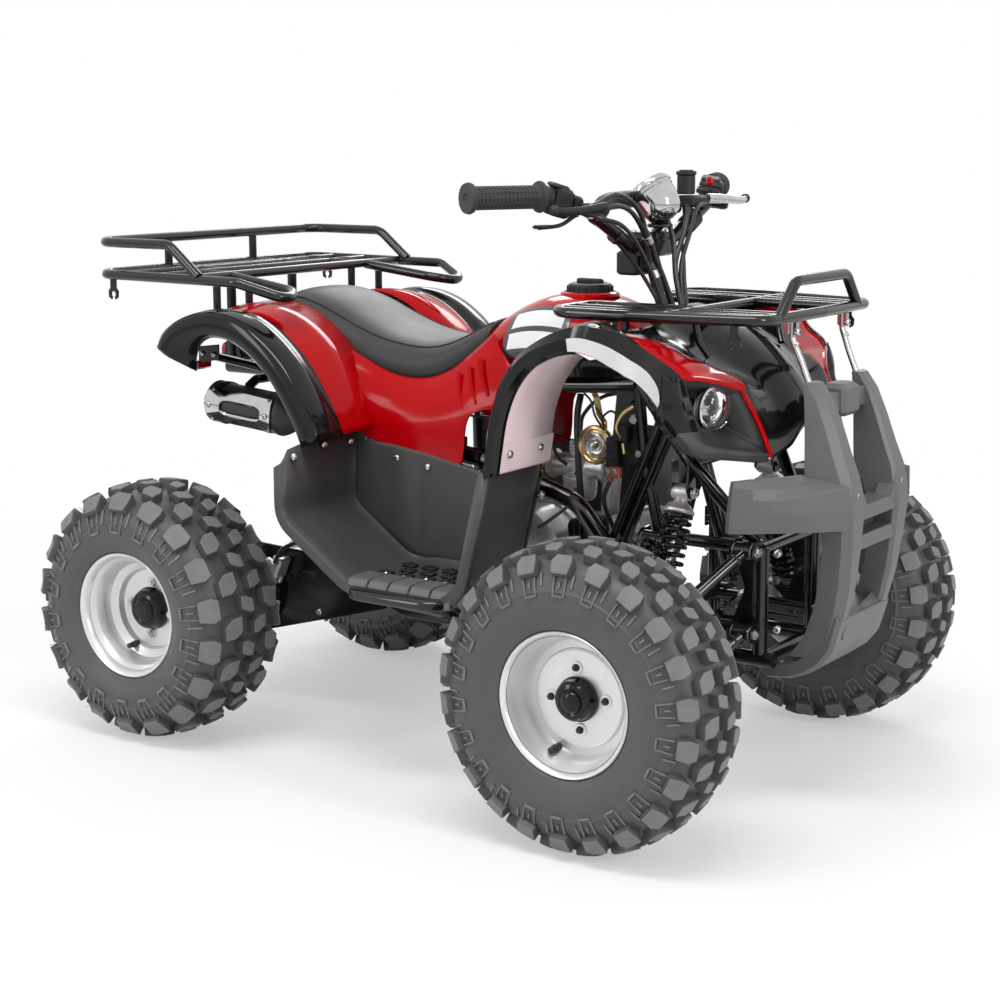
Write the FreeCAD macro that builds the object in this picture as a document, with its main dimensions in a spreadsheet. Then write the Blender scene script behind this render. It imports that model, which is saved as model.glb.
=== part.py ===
"""A small utility quad bike with open engine, two racks and a front bumper.

Millimetres. +X points forward, +Y to the rider's left and +Z up.
The origin lies on the ground under the middle of the machine.
"""
import math
import os

import FreeCAD
import Part
import Sketcher
from FreeCAD import Placement, Rotation, Vector

X_AXIS = Vector(1, 0, 0)
Y_AXIS = Vector(0, 1, 0)
Z_AXIS = Vector(0, 0, 1)
FULL_TURN = 360.0
ARC_SHARE = 0.49
JOIN_TOLERANCE = 0.001
LUG_TREAD_SHARE = 0.62
LUG_SHOULDER_SHARE = 0.87
LUG_FOOT_SHARE = 0.78
BEAD_SHARES = [(0.08, 0.92), (0.42, 1.0), (0.74, 0.95), (1.0, 0.70)]
CAP_SHARE = 0.62
DROP_ROOT_SHARE = 0.6
MOUNT_SHARE = 0.3
FINNED_SHARE = 0.62
HEAD_SHARE = 1.05
HORN_BOSS_SHARE = 0.4
HOOD_REAR_SHARES = [(0.3, 0.0), (1.0, 0.0), (1.0, 0.75), (0.45, 0.9), (0.12, 1.0)]
HOOD_MIDDLE_SHARES = [(0.3, 0.0), (1.0, 0.0), (1.0, 0.96), (0.5, 0.98), (0.12, 1.0)]
HOOD_NOSE_SHARES = [(0.3, 0.0), (1.0, 0.0), (1.0, 0.9), (0.5, 1.0), (0.12, 1.0)]
SEAT_SHARES = [(0.9, 0.0), (1.0, 0.1), (1.0, 0.62), (0.82, 0.92), (0.4, 1.0)]
TANK_SHARES = [(0.6, 0.0), (1.0, 0.0), (1.0, 0.55), (0.7, 0.92), (0.3, 1.0)]
TANK_NOSE_SHARE = 0.7
TANK_TAIL_SHARE = 0.85
SEAT_TAIL_SHARE = 0.8

# Driving dimensions, group by group. "ahead" is measured from the origin along +X, "behind" along -X,
# "out" from the middle plane along Y, "high" above the ground.
WHEELS = {
    "front_axle_ahead": 445.0, "rear_axle_behind": 507.0,
    "front_tyre_radius": 241.0, "front_tyre_width": 173.0, "front_tyre_out": 419.5,
    "rear_tyre_radius": 232.0, "rear_tyre_width": 212.0, "rear_tyre_out": 351.0,
    "rim_seat_radius": 101.6, "rim_flange_radius": 112.7, "rim_wall": 3.0,
    "front_rim_width": 141.0, "rear_rim_width": 174.0,
    "front_disc_depth": 50.0, "rear_disc_depth": 62.0, "rim_step_drop": 13.6,
    "lug_drop": 0.8, "lug_height": 17.0, "lug_length": 38.0, "front_lugs": 22.0, "rear_lugs": 18.0, "lug_start": 7.0,
    "tyre_wall_lug": 5.0,
    "hub_radius": 31.0, "hub_flange_radius": 60.0, "hub_flange": 8.0, "hub_cap_length": 34.0,
    "stub_radius": 11.0, "running_clearance": 0.05, "rest_clearance": 0.3,
    "brake_disc_radius": 62.0, "disc_gap": 14.0, "brake_disc_thickness": 4.0, "rear_disc_radius": 88.0,
}
STEERING = {
    "kingpin_out": 375.0, "kingpin_radius": 13.0, "ball_upper_high": 300.0, "ball_lower_high": 182.0,
    "rod_eye_high": 250.0, "rod_eye_slack": 0.6, "rod_drift": 3.4, "rod_end_radius": 13.5,
    "rod_end_play": 2.3, "caliper_reach": 18.0, "caliper_height": 50.0,
    "ball_stud_radius": 7.0, "ball_boss_radius": 15.0, "ball_boss_length": 22.0,
    "steering_arm": 50.0, "steering_eye_shift": 8.0, "arm_eye_radius": 12.0, "arm_plate": 8.0,
    "column_foot_ahead": 465.0, "column_foot_high": 365.0, "column_top_ahead": 303.0,
    "column_top_high": 883.0,
    "column_radius": 13.0, "bearing_radius": 21.0, "bearing_length": 30.0, "drop_eye_out": 15.0,
    "tie_rod_radius": 7.0, "rod_eye_radius": 12.0, "rod_eye_bore": 6.0, "rod_eye_height": 12.0,
    "bar_radius": 11.0, "bar_bend": 45.0, "bar_clamp_out": 60.0, "bar_clamp_high": 892.0,
    "bar_rise_out": 200.0, "bar_rise_high": 956.0, "bar_rise_ahead": 303.0,
    "grip_inner_out": 280.0, "grip_end_out": 392.0, "grip_inner_ahead": 269.0, "grip_end_ahead": 217.0,
    "grip_high": 978.0, "grip_radius": 16.0, "gauge_radius": 38.0, "gauge_length": 72.0,
    "gauge_ahead": 318.0, "gauge_high": 968.0, "lever_ball_ahead": 305.0, "lever_ball_out": 349.0,
    "lever_ball_high": 953.0, "lever_radius": 5.0, "switch_length": 46.0, "switch_radius": 21.0,
    "master_length": 60.0, "master_height": 24.0,
}
FRAME = {
    "tube_radius": 12.5, "cross_tube": 10.5, "tube_bend": 45.0, "small_tube": 9.0, "rail_out": 95.0,
    "nose_ahead": 570.0, "lower_rail_high": 243.3, "upper_pivot_high": 423.0, "lower_pivot_high": 289.0,
    "spring_pitch": 12.0, "rear_shock_top_behind": 262.0, "rear_shock_foot_behind": 300.0,
    "drive_sprocket_ahead": 65.0, "chain_height": 10.0, "guard_tail": 30.0, "guard_low": 122.0,
    "guard_front_low": 227.0,
    "rear_pivot_ahead": 385.0, "nose_tip_ahead": 596.0, "belly_high": 222.0, "belly_end_behind": 200.0,
    "tower_ahead": 470.0, "tower_out": 150.0, "tower_high": 560.0, "neck_ahead": 345.0, "neck_high": 668.0,
    "seat_rail_out": 88.0, "seat_rail_high": 640.0, "seat_rail_end_behind": 560.0, "seat_front_behind": 60.0,
    "arm_neck_out": 305.0, "arm_knee_out": 266.0, "arm_knee_front": 46.0, "arm_knee_rear": 44.0,
    "arm_tube": 11.0, "arm_bush_radius": 15.0, "arm_bush_length": 34.0,
    "swing_pivot_behind": 165.0, "swing_pivot_high": 300.0, "swing_out": 62.0, "swing_tube": 16.0,
    "carrier_radius": 46.0, "carrier_half_length": 74.0, "axle_radius": 15.0,
    "sprocket_radius": 84.0, "sprocket_out": 122.0, "sprocket_thickness": 6.0, "rear_axle_out": 0.0,
    "rear_disc_out": 132.0, "guard_out": 112.0, "guard_thickness": 4.0,
    "shock_body": 15.0, "spring_radius": 27.0, "shock_eye": 14.0,
    "shock_set": 10.0, "shock_top_out": 150.0, "shock_top_high": 512.0,
    "shock_foot_out": 258.0, "shock_foot_high": 246.0,
    "chain_width": 14.0, "drive_sprocket_radius": 34.0, "chain_clearance": 5.0,
}
ENGINE = {
    "crank_ahead": 30.0, "crank_high": 335.5, "case_length": 300.0, "case_height": 205.0, "case_width": 160.0,
    "cover_radius": 78.0, "cover_depth": 26.0, "cylinder_length": 150.0,
    "cylinder_rise": 24.0, "fin_size": 118.0, "fin_thickness": 3.0, "fin_pitch": 11.0, "fin_core": 84.0,
    "carb_ahead": 170.0, "carb_high": 505.0, "carb_size": 60.0, "pipe_radius": 15.0,
    "silencer_radius": 38.0, "silencer_front_behind": 296.0, "silencer_rear_behind": 458.0,
    "silencer_out": 235.0, "silencer_front_high": 584.0, "silencer_rear_high": 598.0,
    "port_ahead": 300.0, "pipe_knee_ahead": 250.0, "pipe_knee_high": 470.0, "pipe_out": 136.0,
    "pipe_mid_ahead": 60.0, "pipe_high": 526.0, "pipe_cross_behind": 130.0, "pipe_cross_high": 548.0,
    "pipe_rear_behind": 212.0, "pipe_rear_out": 146.0, "pipe_rear_high": 582.0, "pipe_turn_behind": 238.0,
    "pipe_turn_out": 214.0, "pipe_turn_high": 586.0, "horn_top_high": 649.3,
    "horn_ahead": 250.0, "horn_out": 84.0, "horn_high": 560.0, "horn_radius": 33.0, "horn_depth": 30.0,
}
BODYWORK = {
    "shell": 4.0, "fender_out": 375.0, "fender_in": 205.0, "fender_lip": 42.0,
    "fender_heel_ahead": 218.2, "fender_heel_high": 548.0, "fender_knee_high": 636.0,
    "fender_shoulder_ahead": 284.0, "fender_shoulder_high": 701.0, "fender_rise_ahead": 338.0,
    "fender_rise_high": 754.0, "fender_top_ahead": 383.0, "fender_top_high": 769.0,
    "fender_fall_ahead": 462.0, "fender_fall_high": 752.0, "fender_nose_reach": 50.0,
    "fender_nose_high": 716.0,
    "flare_tail_behind": 512.0, "flare_tail_high": 700.0, "flare_back_behind": 470.0,
    "flare_back_high": 745.0,
    "flare_top_behind": 390.0, "flare_top_high": 769.0, "flare_fall_behind": 265.0, "flare_fall_high": 731.0,
    "flare_knee_behind": 190.0, "flare_knee_high": 665.0, "flare_foot_behind": 140.0,
    "flare_foot_high": 592.0,
    "hood_rear_ahead": 381.0, "hood_rear_high": 795.0, "hood_nose_ahead": 568.0, "hood_nose_high": 610.0,
    "hood_depth": 60.0, "hood_tip_high": 540.0, "hood_ridge_ahead": 465.0, "hood_ridge_high": 758.0,
    "brow_out": 150.0, "hood_side_high": 610.0,
    "lamp_ahead": 512.0, "lamp_out": 190.0, "lamp_high": 657.0, "lamp_radius": 36.0, "lamp_depth": 44.0,
    "cap_ahead": 187.0, "cap_radius": 38.0, "cap_height": 26.0,
    "tank_front_ahead": 290.0, "tank_out": 130.0, "tank_high": 790.0,
    "tank_low_high": 678.2,
    "seat_front_ahead": 40.0, "seat_front_high": 758.0, "seat_dip_behind": 108.0, "seat_dip_high": 716.0,
    "seat_rear_behind": 400.0, "seat_rear_high": 780.0, "seat_low_high": 653.0, "seat_out": 128.0,
    "seat_tail_high": 712.0, "seat_gap": 0.3,
    "panel_thickness": 5.0, "panel_front_ahead": 62.0, "panel_rear_behind": 132.0,
    "panel_low_high": 541.0, "panel_front_low_high": 507.0, "panel_top_high": 690.0,
    "flare_out": 328.0, "flare_lip": 38.0,
    "foot_out": 378.0, "foot_in": 172.0, "foot_shell": 5.0, "foot_rear_behind": 186.0,
    "foot_rear_top": 562.0, "foot_heel_high": 436.0, "step_rear_behind": 51.0, "step_high": 343.0,
    "step_front_ahead": 163.0, "foot_front_ahead": 214.0, "foot_front_top": 556.0, "foot_wall_top": 505.0,
    "foot_wall_rear_top": 538.0, "frame_step_high": 500.0,
    "tread_height": 9.0, "tread_count": 5.0, "tread_gap": 5.0, "tread_depth": 60.0,
    "nerf_radius": 10.0, "nerf_out": 392.0, "nerf_knee_out": 215.0, "nerf_rise": 0.0,
    "nerf_front_ahead": 142.0,
    "nerf_rear_behind": 38.0,
    "lamp_tail_high": 665.0, "lamp_tail_width": 160.0, "lamp_tail_height": 40.0,
    "lamp_tail_depth": 34.0,
}
RACKS = {
    "rack_tube": 8.5, "rack_slat": 6.0, "rack_bend": 34.0,
    "rear_rack_end_behind": 679.0, "rear_rack_front_behind": 330.0, "rear_rack_out": 304.0,
    "rear_rack_high": 822.0, "rear_rail_high": 880.0, "rear_ear_behind": 270.0, "rear_ear_out": 255.0,
    "rear_ear_high": 788.0, "rear_rail_front_behind": 420.0, "rear_post_out": 120.0,
    "front_rack_rear_ahead": 254.0, "front_rack_front_ahead": 618.0, "front_rack_out": 235.0,
    "front_rack_in": 112.0, "front_rack_high": 796.0, "front_hoop_high": 850.0, "front_hoop_out": 134.0,
    "front_cross_ahead": 430.0,
}
BUMPER = {
    "bumper_wall": 8.0, "bumper_front_ahead": 731.0, "bumper_face_high": 522.0, "bumper_top_ahead": 649.0,
    "bumper_top_high": 693.0, "bumper_post_out": 110.0, "bumper_post_in": 64.0, "bumper_wing_out": 240.0,
    "bumper_wing_ahead": 575.0, "bumper_wing_top": 550.0, "bumper_wing_low": 468.0,
    "bumper_corner_ahead": 639.0, "bumper_corner_out": 200.0, "bumper_chin_ahead": 680.0,
    "bumper_mid_out": 90.0, "bumper_bar_ahead": 672.0, "bumper_bar_high": 600.0,
    "bumper_chin_high": 250.0, "bumper_foot_ahead": 575.0, "bumper_foot_high": 210.0, }

doc = FreeCAD.newDocument("QuadBike")
sheet = doc.addObject("Spreadsheet::Sheet", "Sizes")


def fill_sheet(groups):
    """Writes every driving dimension to the sheet: its name, its value and an alias."""
    row = 1
    for group in groups:
        for alias, value in group.items():
            sheet.set("A%d" % row, alias)
            sheet.set("B%d" % row, str(value))
            sheet.setAlias("B%d" % row, alias)
            row += 1
    doc.recompute()


class Size(float):
    """A number that keeps the sheet expression it was worked out from."""

    def __new__(cls, value, text):
        size = float.__new__(cls, value)
        size.text = text
        return size

    def __add__(self, other):
        return Size(float(self) + float(other), "(%s + %s)" % (self.text, text_of(other)))

    def __radd__(self, other):
        return Size(float(other) + float(self), "(%s + %s)" % (text_of(other), self.text))

    def __sub__(self, other):
        return Size(float(self) - float(other), "(%s - %s)" % (self.text, text_of(other)))

    def __rsub__(self, other):
        return Size(float(other) - float(self), "(%s - %s)" % (text_of(other), self.text))

    def __mul__(self, other):
        return Size(float(self) * float(other), "(%s * %s)" % (self.text, text_of(other)))

    __rmul__ = __mul__

    def __truediv__(self, other):
        return Size(float(self) / float(other), "(%s / %s)" % (self.text, text_of(other)))

    def __neg__(self):
        return Size(-float(self), "(0 - %s)" % self.text)


def text_of(number):
    """The expression of a size, or the digits of a plain number."""
    return number.text if isinstance(number, Size) else repr(float(number))


class Sizes:
    """Reads a driving dimension by its name."""

    def __getattr__(self, alias):
        return Size(float(sheet.get(alias)), "Sizes." + alias)


fill_sheet([WHEELS, STEERING, FRAME, ENGINE, BODYWORK, RACKS, BUMPER])
s = Sizes()
nodes = []


def node(name, part):
    """Labels a finished sub-part and lists it for export."""
    part.Label = name
    nodes.append(part)
    return part


def solid_part(name, shape):
    """A sub-part whose shape comes straight from curves and sections."""
    part = doc.addObject("Part::Feature", name)
    part.Shape = shape
    return part


def mirrored(name, source):
    """The same piece on the other side of the middle plane."""
    twin = doc.addObject("Part::Mirroring", name)
    twin.Source = source
    twin.Base = Vector(0, 0, 0)
    twin.Normal = Y_AXIS
    return twin


def cylinder(name, radius, length, start, axis):
    """A round bar of a bound radius and length, from start along axis."""
    bar = doc.addObject("Part::Cylinder", name)
    bar.setExpression("Radius", text_of(radius))
    bar.setExpression("Height", text_of(length))
    bar.Placement = Placement(start, Rotation(Z_AXIS, axis))
    return bar


def block(name, sides, corner, turn=Rotation()):
    """A box of three bound sides from its lowest corner."""
    box = doc.addObject("Part::Box", name)
    for side, size in zip(("Length", "Width", "Height"), sides):
        box.setExpression(side, text_of(size))
    box.Placement = Placement(corner, turn)
    return box


def bound_sketch(body, name, outline, offset=Placement()):
    """A closed outline of straight runs, every corner bound to the sheet by its two distances."""
    sketch = body.newObject("Sketcher::SketchObject", name)
    plane = [item for item in body.Origin.OriginFeatures if item.Role == "XY_Plane"][0]
    sketch.AttachmentSupport = [(plane, "")]
    sketch.MapMode = "FlatFace"
    sketch.AttachmentOffset = offset
    corners = [Vector(float(x), float(y), 0) for x, y in outline]
    count = len(corners)
    for index, corner in enumerate(corners):
        sketch.addGeometry(Part.LineSegment(corner, corners[(index + 1) % count]), False)
    for index in range(count):
        sketch.addConstraint(Sketcher.Constraint("Coincident", index, 2, (index + 1) % count, 1))
    for index, (x, y) in enumerate(outline):
        for kind, size in (("DistanceX", x), ("DistanceY", y)):
            if isinstance(size, Size):
                made = sketch.addConstraint(Sketcher.Constraint(kind, -1, 1, index, 1, float(size)))
                sketch.setExpression("Constraints[%d]" % made, size.text)
            else:
                sketch.addConstraint(Sketcher.Constraint(kind, -1, 1, index, 1, float(size)))
    return sketch


def turned_body(name, outline):
    """A body turned about its own Y axis; an outline corner is (radius, distance along the axis)."""
    body = doc.addObject("PartDesign::Body", name)
    sketch = bound_sketch(body, name + "_outline", outline)
    turn = body.newObject("PartDesign::Revolution", name + "_turn")
    turn.Profile = sketch
    turn.ReferenceAxis = (sketch, ["V_Axis"])
    turn.Angle = FULL_TURN
    turn.Refine = False
    return body, sketch


def arc_path(points, bend):
    """A wire of straight runs joined by tangent arcs of one bend radius, smaller where a run is short."""
    edges = []
    last = points[0]
    for index in range(1, len(points) - 1):
        corner = points[index]
        back = points[index - 1] - corner
        ahead = points[index + 1] - corner
        turn = math.pi - back.getAngle(ahead)
        reach = min(bend * math.tan(turn / 2), back.Length * ARC_SHARE, ahead.Length * ARC_SHARE)
        back.normalize()
        ahead.normalize()
        start = corner + back * reach
        end = corner + ahead * reach
        radius = reach / math.tan(turn / 2)
        middle_way = (back + ahead).normalize()
        middle = corner + middle_way * (radius / math.cos(turn / 2) - radius)
        if (start - last).Length > JOIN_TOLERANCE:
            edges.append(Part.LineSegment(last, start).toShape())
        edges.append(Part.Arc(start, middle, end).toShape())
        last = end
    edges.append(Part.LineSegment(last, points[-1]).toShape())
    return Part.Wire(edges)


def tube(points, radius, bend):
    """A round bar along a bent path."""
    path = arc_path(points, bend)
    along = path.Edges[0].tangentAt(path.Edges[0].FirstParameter)
    section = Part.Wire([Part.makeCircle(radius, points[0], along)])
    return path.makePipeShell([section], True, False)


def rod(start, end, radius):
    """A straight round bar between two points."""
    way = end - start
    return Part.makeCylinder(radius, way.Length, start, way)


def slab(outline, normal, thickness):
    """A flat plate of an outline, thickened along its normal."""
    face = Part.Face(Part.makePolygon(outline + [outline[0]]))
    return face.extrude(normal * thickness)


def loft(sections, ruled=False):
    """A solid through closed outlines."""
    return Part.makeLoft([Part.makePolygon(list(points) + [points[0]]) for points in sections], True, ruled)


def both_sides(shape):
    """A piece and its mirror image."""
    return [shape, shape.mirror(Vector(0, 0, 0), Y_AXIS)]


def union(shapes):
    """Overlapping shapes joined into one."""
    return shapes[0].multiFuse(shapes[1:]).removeSplitter()


def at(ahead, out, high):
    """A point of the machine."""
    return Vector(float(ahead), float(out), float(high))


def add_lugs(body, sketch, name, radius, width, carcass, count):
    """Two staggered rows of tread lugs that wrap over the shoulders of a tyre."""
    half = width / 2
    for side, shift in ((1.0, 0.0), (-1.0, 0.5)):
        outline = [
            (carcass - s.lug_height / 2, s.lug_start * side),
            (radius - s.lug_drop, s.lug_start * side),
            (radius - s.lug_drop - s.tyre_wall_lug, half * LUG_TREAD_SHARE * side),
            (radius * LUG_SHOULDER_SHARE, half * side),
            (radius * LUG_FOOT_SHARE, (half - s.tyre_wall_lug * 2) * side),
        ]
        pitch = FULL_TURN / float(count)
        offset = Placement(Vector(0, 0, 0), Rotation(Y_AXIS, pitch * shift))
        lug_sketch = bound_sketch(body, "%s_lug_%d" % (name, int(side)), outline, offset)
        pad = body.newObject("PartDesign::Pad", "%s_pad_%d" % (name, int(side)))
        pad.Profile = lug_sketch
        pad.Midplane = True
        pad.setExpression("Length", text_of(s.lug_length))
        pad.Refine = False
        ring = body.newObject("PartDesign::PolarPattern", "%s_ring_%d" % (name, int(side)))
        ring.Originals = [pad]
        ring.Axis = (sketch, ["V_Axis"])
        ring.Angle = FULL_TURN
        ring.Occurrences = int(float(count))
        ring.Refine = False
        body.Tip = ring


def tyre(name, radius, width, rim_width, lugs):
    """A low pressure tyre: a ring between the rim's flanges with chunky staggered lugs."""
    carcass = radius - s.lug_height
    half = width / 2 - s.tyre_wall_lug
    bead = rim_width / 2 - s.rim_wall
    side = [(s.rim_seat_radius, bead), (s.rim_flange_radius, bead)]
    for high, out in BEAD_SHARES:
        side.append((s.rim_flange_radius + (carcass - s.rim_flange_radius) * high, half * out))
    outline = side + [(high, -out) for high, out in reversed(side)]
    body, sketch = turned_body(name, outline)
    add_lugs(body, sketch, name, radius, width, carcass, lugs)
    return body


def rim(name, rim_width, disc_depth):
    """A pressed steel rim: flanges, bead seats, a stepped dish and a flat disc."""
    half = rim_width / 2
    face = half - disc_depth
    inner = s.rim_seat_radius - s.rim_wall
    step = s.rim_seat_radius - s.rim_step_drop
    outline = [
        (s.rim_flange_radius, half), (inner + s.rim_wall, half), (inner, half - s.rim_wall * 2),
        (step, face + s.rim_wall * 4), (step, face + s.rim_wall),
        (s.hub_radius, face + s.rim_wall), (s.hub_radius, face), (step + s.rim_wall, face),
        (inner, face - s.rim_wall * 3), (inner, -half), (s.rim_flange_radius, -half),
        (s.rim_flange_radius, s.rim_wall - half), (s.rim_seat_radius, s.rim_wall - half),
        (s.rim_seat_radius, half - s.rim_wall), (s.rim_flange_radius, half - s.rim_wall),
    ]
    body, sketch = turned_body(name, outline)
    return body


def put(part, ahead, out, high):
    """Places a sub-part whose own origin is a wheel's centre, bound to the sheet."""
    part.Placement = Placement(at(ahead, out, high), Rotation())
    for axis, size in (("x", ahead), ("y", out), ("z", high)):
        part.setExpression("Placement.Base." + axis, text_of(size))
    return part


def front_wheels():
    """Front tyres, rims, hubs with brake discs and caps."""
    left = put(tyre("tyre_front_left", s.front_tyre_radius, s.front_tyre_width, s.front_rim_width, s.front_lugs),
               s.front_axle_ahead, s.front_tyre_out, s.front_tyre_radius)
    node("tyre_front_left", left)
    node("tyre_front_right", mirrored("tyre_front_right", left))
    left = put(rim("rim_front_left", s.front_rim_width, s.front_disc_depth),
               s.front_axle_ahead, s.front_tyre_out, s.front_tyre_radius)
    node("rim_front_left", left)
    node("rim_front_right", mirrored("rim_front_right", left))
    half = s.front_rim_width / 2
    face = half - s.front_disc_depth
    start = s.kingpin_out + s.kingpin_radius + s.disc_gap - s.front_tyre_out
    disc_end = start + s.brake_disc_thickness
    bore = s.stub_radius + s.running_clearance
    blind = face + s.hub_flange
    outline = [
        (bore, start), (s.brake_disc_radius, start), (s.brake_disc_radius, disc_end),
        (s.hub_radius, disc_end), (s.hub_radius, face - s.hub_flange), (s.hub_flange_radius, face - s.hub_flange),
        (s.hub_flange_radius, face), (s.hub_radius, face), (s.hub_radius, face + s.hub_cap_length * CAP_SHARE),
        (s.hub_radius * CAP_SHARE, face + s.hub_cap_length), (0.0, face + s.hub_cap_length),
        (0.0, blind), (bore, blind),
    ]
    body, sketch = turned_body("hub_front_left", outline)
    left = put(body, s.front_axle_ahead, s.front_tyre_out, s.front_tyre_radius)
    node("hub_front_left", left)
    node("hub_front_right", mirrored("hub_front_right", left))


def rear_wheels():
    """The live rear axle with its sprocket, brake disc, hubs, rims and tyres, all turning as one."""
    left = put(tyre("tyre_rear_left", s.rear_tyre_radius, s.rear_tyre_width, s.rear_rim_width, s.rear_lugs),
               -s.rear_axle_behind, s.rear_tyre_out, s.rear_tyre_radius)
    node("tyre_rear_left", left)
    node("tyre_rear_right", mirrored("tyre_rear_right", left))
    left = put(rim("rim_rear_left", s.rear_rim_width, s.rear_disc_depth),
               -s.rear_axle_behind, s.rear_tyre_out, s.rear_tyre_radius)
    node("rim_rear_left", left)
    node("rim_rear_right", mirrored("rim_rear_right", left))
    face = s.rear_tyre_out + s.rear_rim_width / 2 - s.rear_disc_depth
    side = [(0.0, face + s.hub_cap_length), (s.hub_radius * CAP_SHARE, face + s.hub_cap_length),
            (s.hub_radius, face + s.hub_cap_length * CAP_SHARE), (s.hub_radius, face),
            (s.hub_flange_radius, face), (s.hub_flange_radius, face - s.hub_flange),
            (s.hub_radius, face - s.hub_flange), (s.hub_radius, face - s.hub_flange * 4),
            (s.axle_radius, face - s.hub_flange * 4)]
    sprocket = [(s.axle_radius, s.sprocket_out + s.sprocket_thickness * 2),
                (s.hub_radius, s.sprocket_out + s.sprocket_thickness * 2),
                (s.hub_radius, s.sprocket_out + s.sprocket_thickness / 2),
                (s.sprocket_radius, s.sprocket_out + s.sprocket_thickness / 2),
                (s.sprocket_radius, s.sprocket_out - s.sprocket_thickness / 2),
                (s.axle_radius, s.sprocket_out - s.sprocket_thickness / 2)]
    disc = [(s.axle_radius, -s.rear_disc_out + s.brake_disc_thickness / 2),
            (s.rear_disc_radius, -s.rear_disc_out + s.brake_disc_thickness / 2),
            (s.rear_disc_radius, -s.rear_disc_out - s.brake_disc_thickness / 2),
            (s.hub_radius, -s.rear_disc_out - s.brake_disc_thickness / 2),
            (s.hub_radius, -s.rear_disc_out - s.sprocket_thickness * 2),
            (s.axle_radius, -s.rear_disc_out - s.sprocket_thickness * 2)]
    outline = side + sprocket + disc + [(radius, -out) for radius, out in reversed(side)]
    body, sketch = turned_body("rear_axle", outline)
    put(body, -s.rear_axle_behind, s.rear_axle_out, s.rear_tyre_radius)
    node("rear_axle", body)


def knuckles():
    """Steering knuckles: kingpin, two ball studs, stub axle, steering arm and caliper."""
    axle_high = s.front_tyre_radius
    centre = at(s.front_axle_ahead, s.kingpin_out, axle_high)
    gap = s.ball_boss_length / 2 + s.running_clearance
    low = at(s.front_axle_ahead, s.kingpin_out, s.ball_lower_high + gap)
    top = at(s.front_axle_ahead, s.kingpin_out, s.ball_upper_high - gap)
    post = rod(low, top, s.kingpin_radius)
    studs = rod(at(s.front_axle_ahead, s.kingpin_out, s.ball_lower_high - s.ball_boss_length / 2),
                at(s.front_axle_ahead, s.kingpin_out, s.ball_upper_high + s.ball_boss_length / 2),
                s.ball_stud_radius)
    face = s.front_tyre_out + s.front_rim_width / 2 - s.front_disc_depth
    stub = rod(centre, at(s.front_axle_ahead, face, axle_high), s.stub_radius)
    eye = at(s.front_axle_ahead + s.steering_arm, s.kingpin_out + s.steering_eye_shift, s.rod_eye_high)
    arm = slab([eye + at(s.arm_eye_radius, -s.arm_plate, -s.arm_plate / 2),
                eye + at(s.arm_eye_radius, s.arm_plate, -s.arm_plate / 2),
                at(s.front_axle_ahead, s.kingpin_out + s.arm_plate, s.rod_eye_high - s.arm_plate / 2),
                at(s.front_axle_ahead, s.kingpin_out - s.arm_plate, s.rod_eye_high - s.arm_plate / 2)],
               Z_AXIS, s.arm_plate)
    pin = rod(eye, eye + at(0, 0, s.arm_plate / 2 + s.rod_eye_height + s.rod_drift * 2),
              s.rod_eye_bore - s.running_clearance)
    disc_in = s.kingpin_out + s.kingpin_radius + s.disc_gap
    slot = s.brake_disc_thickness + s.chain_clearance * 2
    caliper_out = disc_in - s.chain_clearance - s.arm_plate
    corner = at(s.front_axle_ahead - s.brake_disc_radius - s.caliper_reach, caliper_out,
                axle_high - s.caliper_height / 2)
    caliper = Part.makeBox(s.caliper_reach * 2, slot + s.arm_plate * 2, s.caliper_height, corner)
    slot_corner = at(s.front_axle_ahead - s.brake_disc_radius - s.chain_clearance, disc_in - s.chain_clearance,
                     axle_high - s.caliper_height)
    caliper = caliper.cut(Part.makeBox(s.caliper_reach * 2, slot, s.caliper_height * 2, slot_corner))
    bracket = Part.makeBox(s.brake_disc_radius, s.arm_plate, s.caliper_height / 2,
                           at(s.front_axle_ahead - s.brake_disc_radius, caliper_out, axle_high))
    left = solid_part("knuckle_left", union([post, studs, stub, arm, pin, caliper, bracket]))
    node("knuckle_left", left)
    node("knuckle_right", mirrored("knuckle_right", left))


def column_axis():
    """The steering column's foot and its unit direction, foot to top."""
    foot = at(s.column_foot_ahead, 0, s.column_foot_high)
    way = at(s.column_top_ahead, 0, s.column_top_high) - foot
    return foot, way.normalize()


def steering_column():
    """The column tube with its forward drop arm and two rod pins."""
    foot, way = column_axis()
    top = at(s.column_top_ahead, 0, s.column_top_high)
    parts = [rod(foot - way * float(s.rod_eye_height * 2), top, s.column_radius)]
    forward = Y_AXIS.cross(way)
    low = foot - way * float(s.rod_eye_height * 2)
    reach = forward * float(s.steering_arm)
    side = Y_AXIS * float(s.drop_eye_out)
    wide = side + Y_AXIS * float(s.arm_eye_radius)
    tip = reach + forward * float(s.arm_eye_radius)
    plate = [low - wide * DROP_ROOT_SHARE, low + tip - wide, low + tip + wide, low + wide * DROP_ROOT_SHARE]
    parts.append(slab(plate, way, s.arm_plate))
    for hand in (1.0, -1.0):
        eye = low + reach + side * hand
        parts.append(rod(eye + way * float(s.arm_plate), eye - way * float(s.rod_eye_height + s.arm_plate / 2),
                         s.rod_eye_bore - s.running_clearance))
    node("steering_column", solid_part("steering_column", union(parts)))


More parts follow.
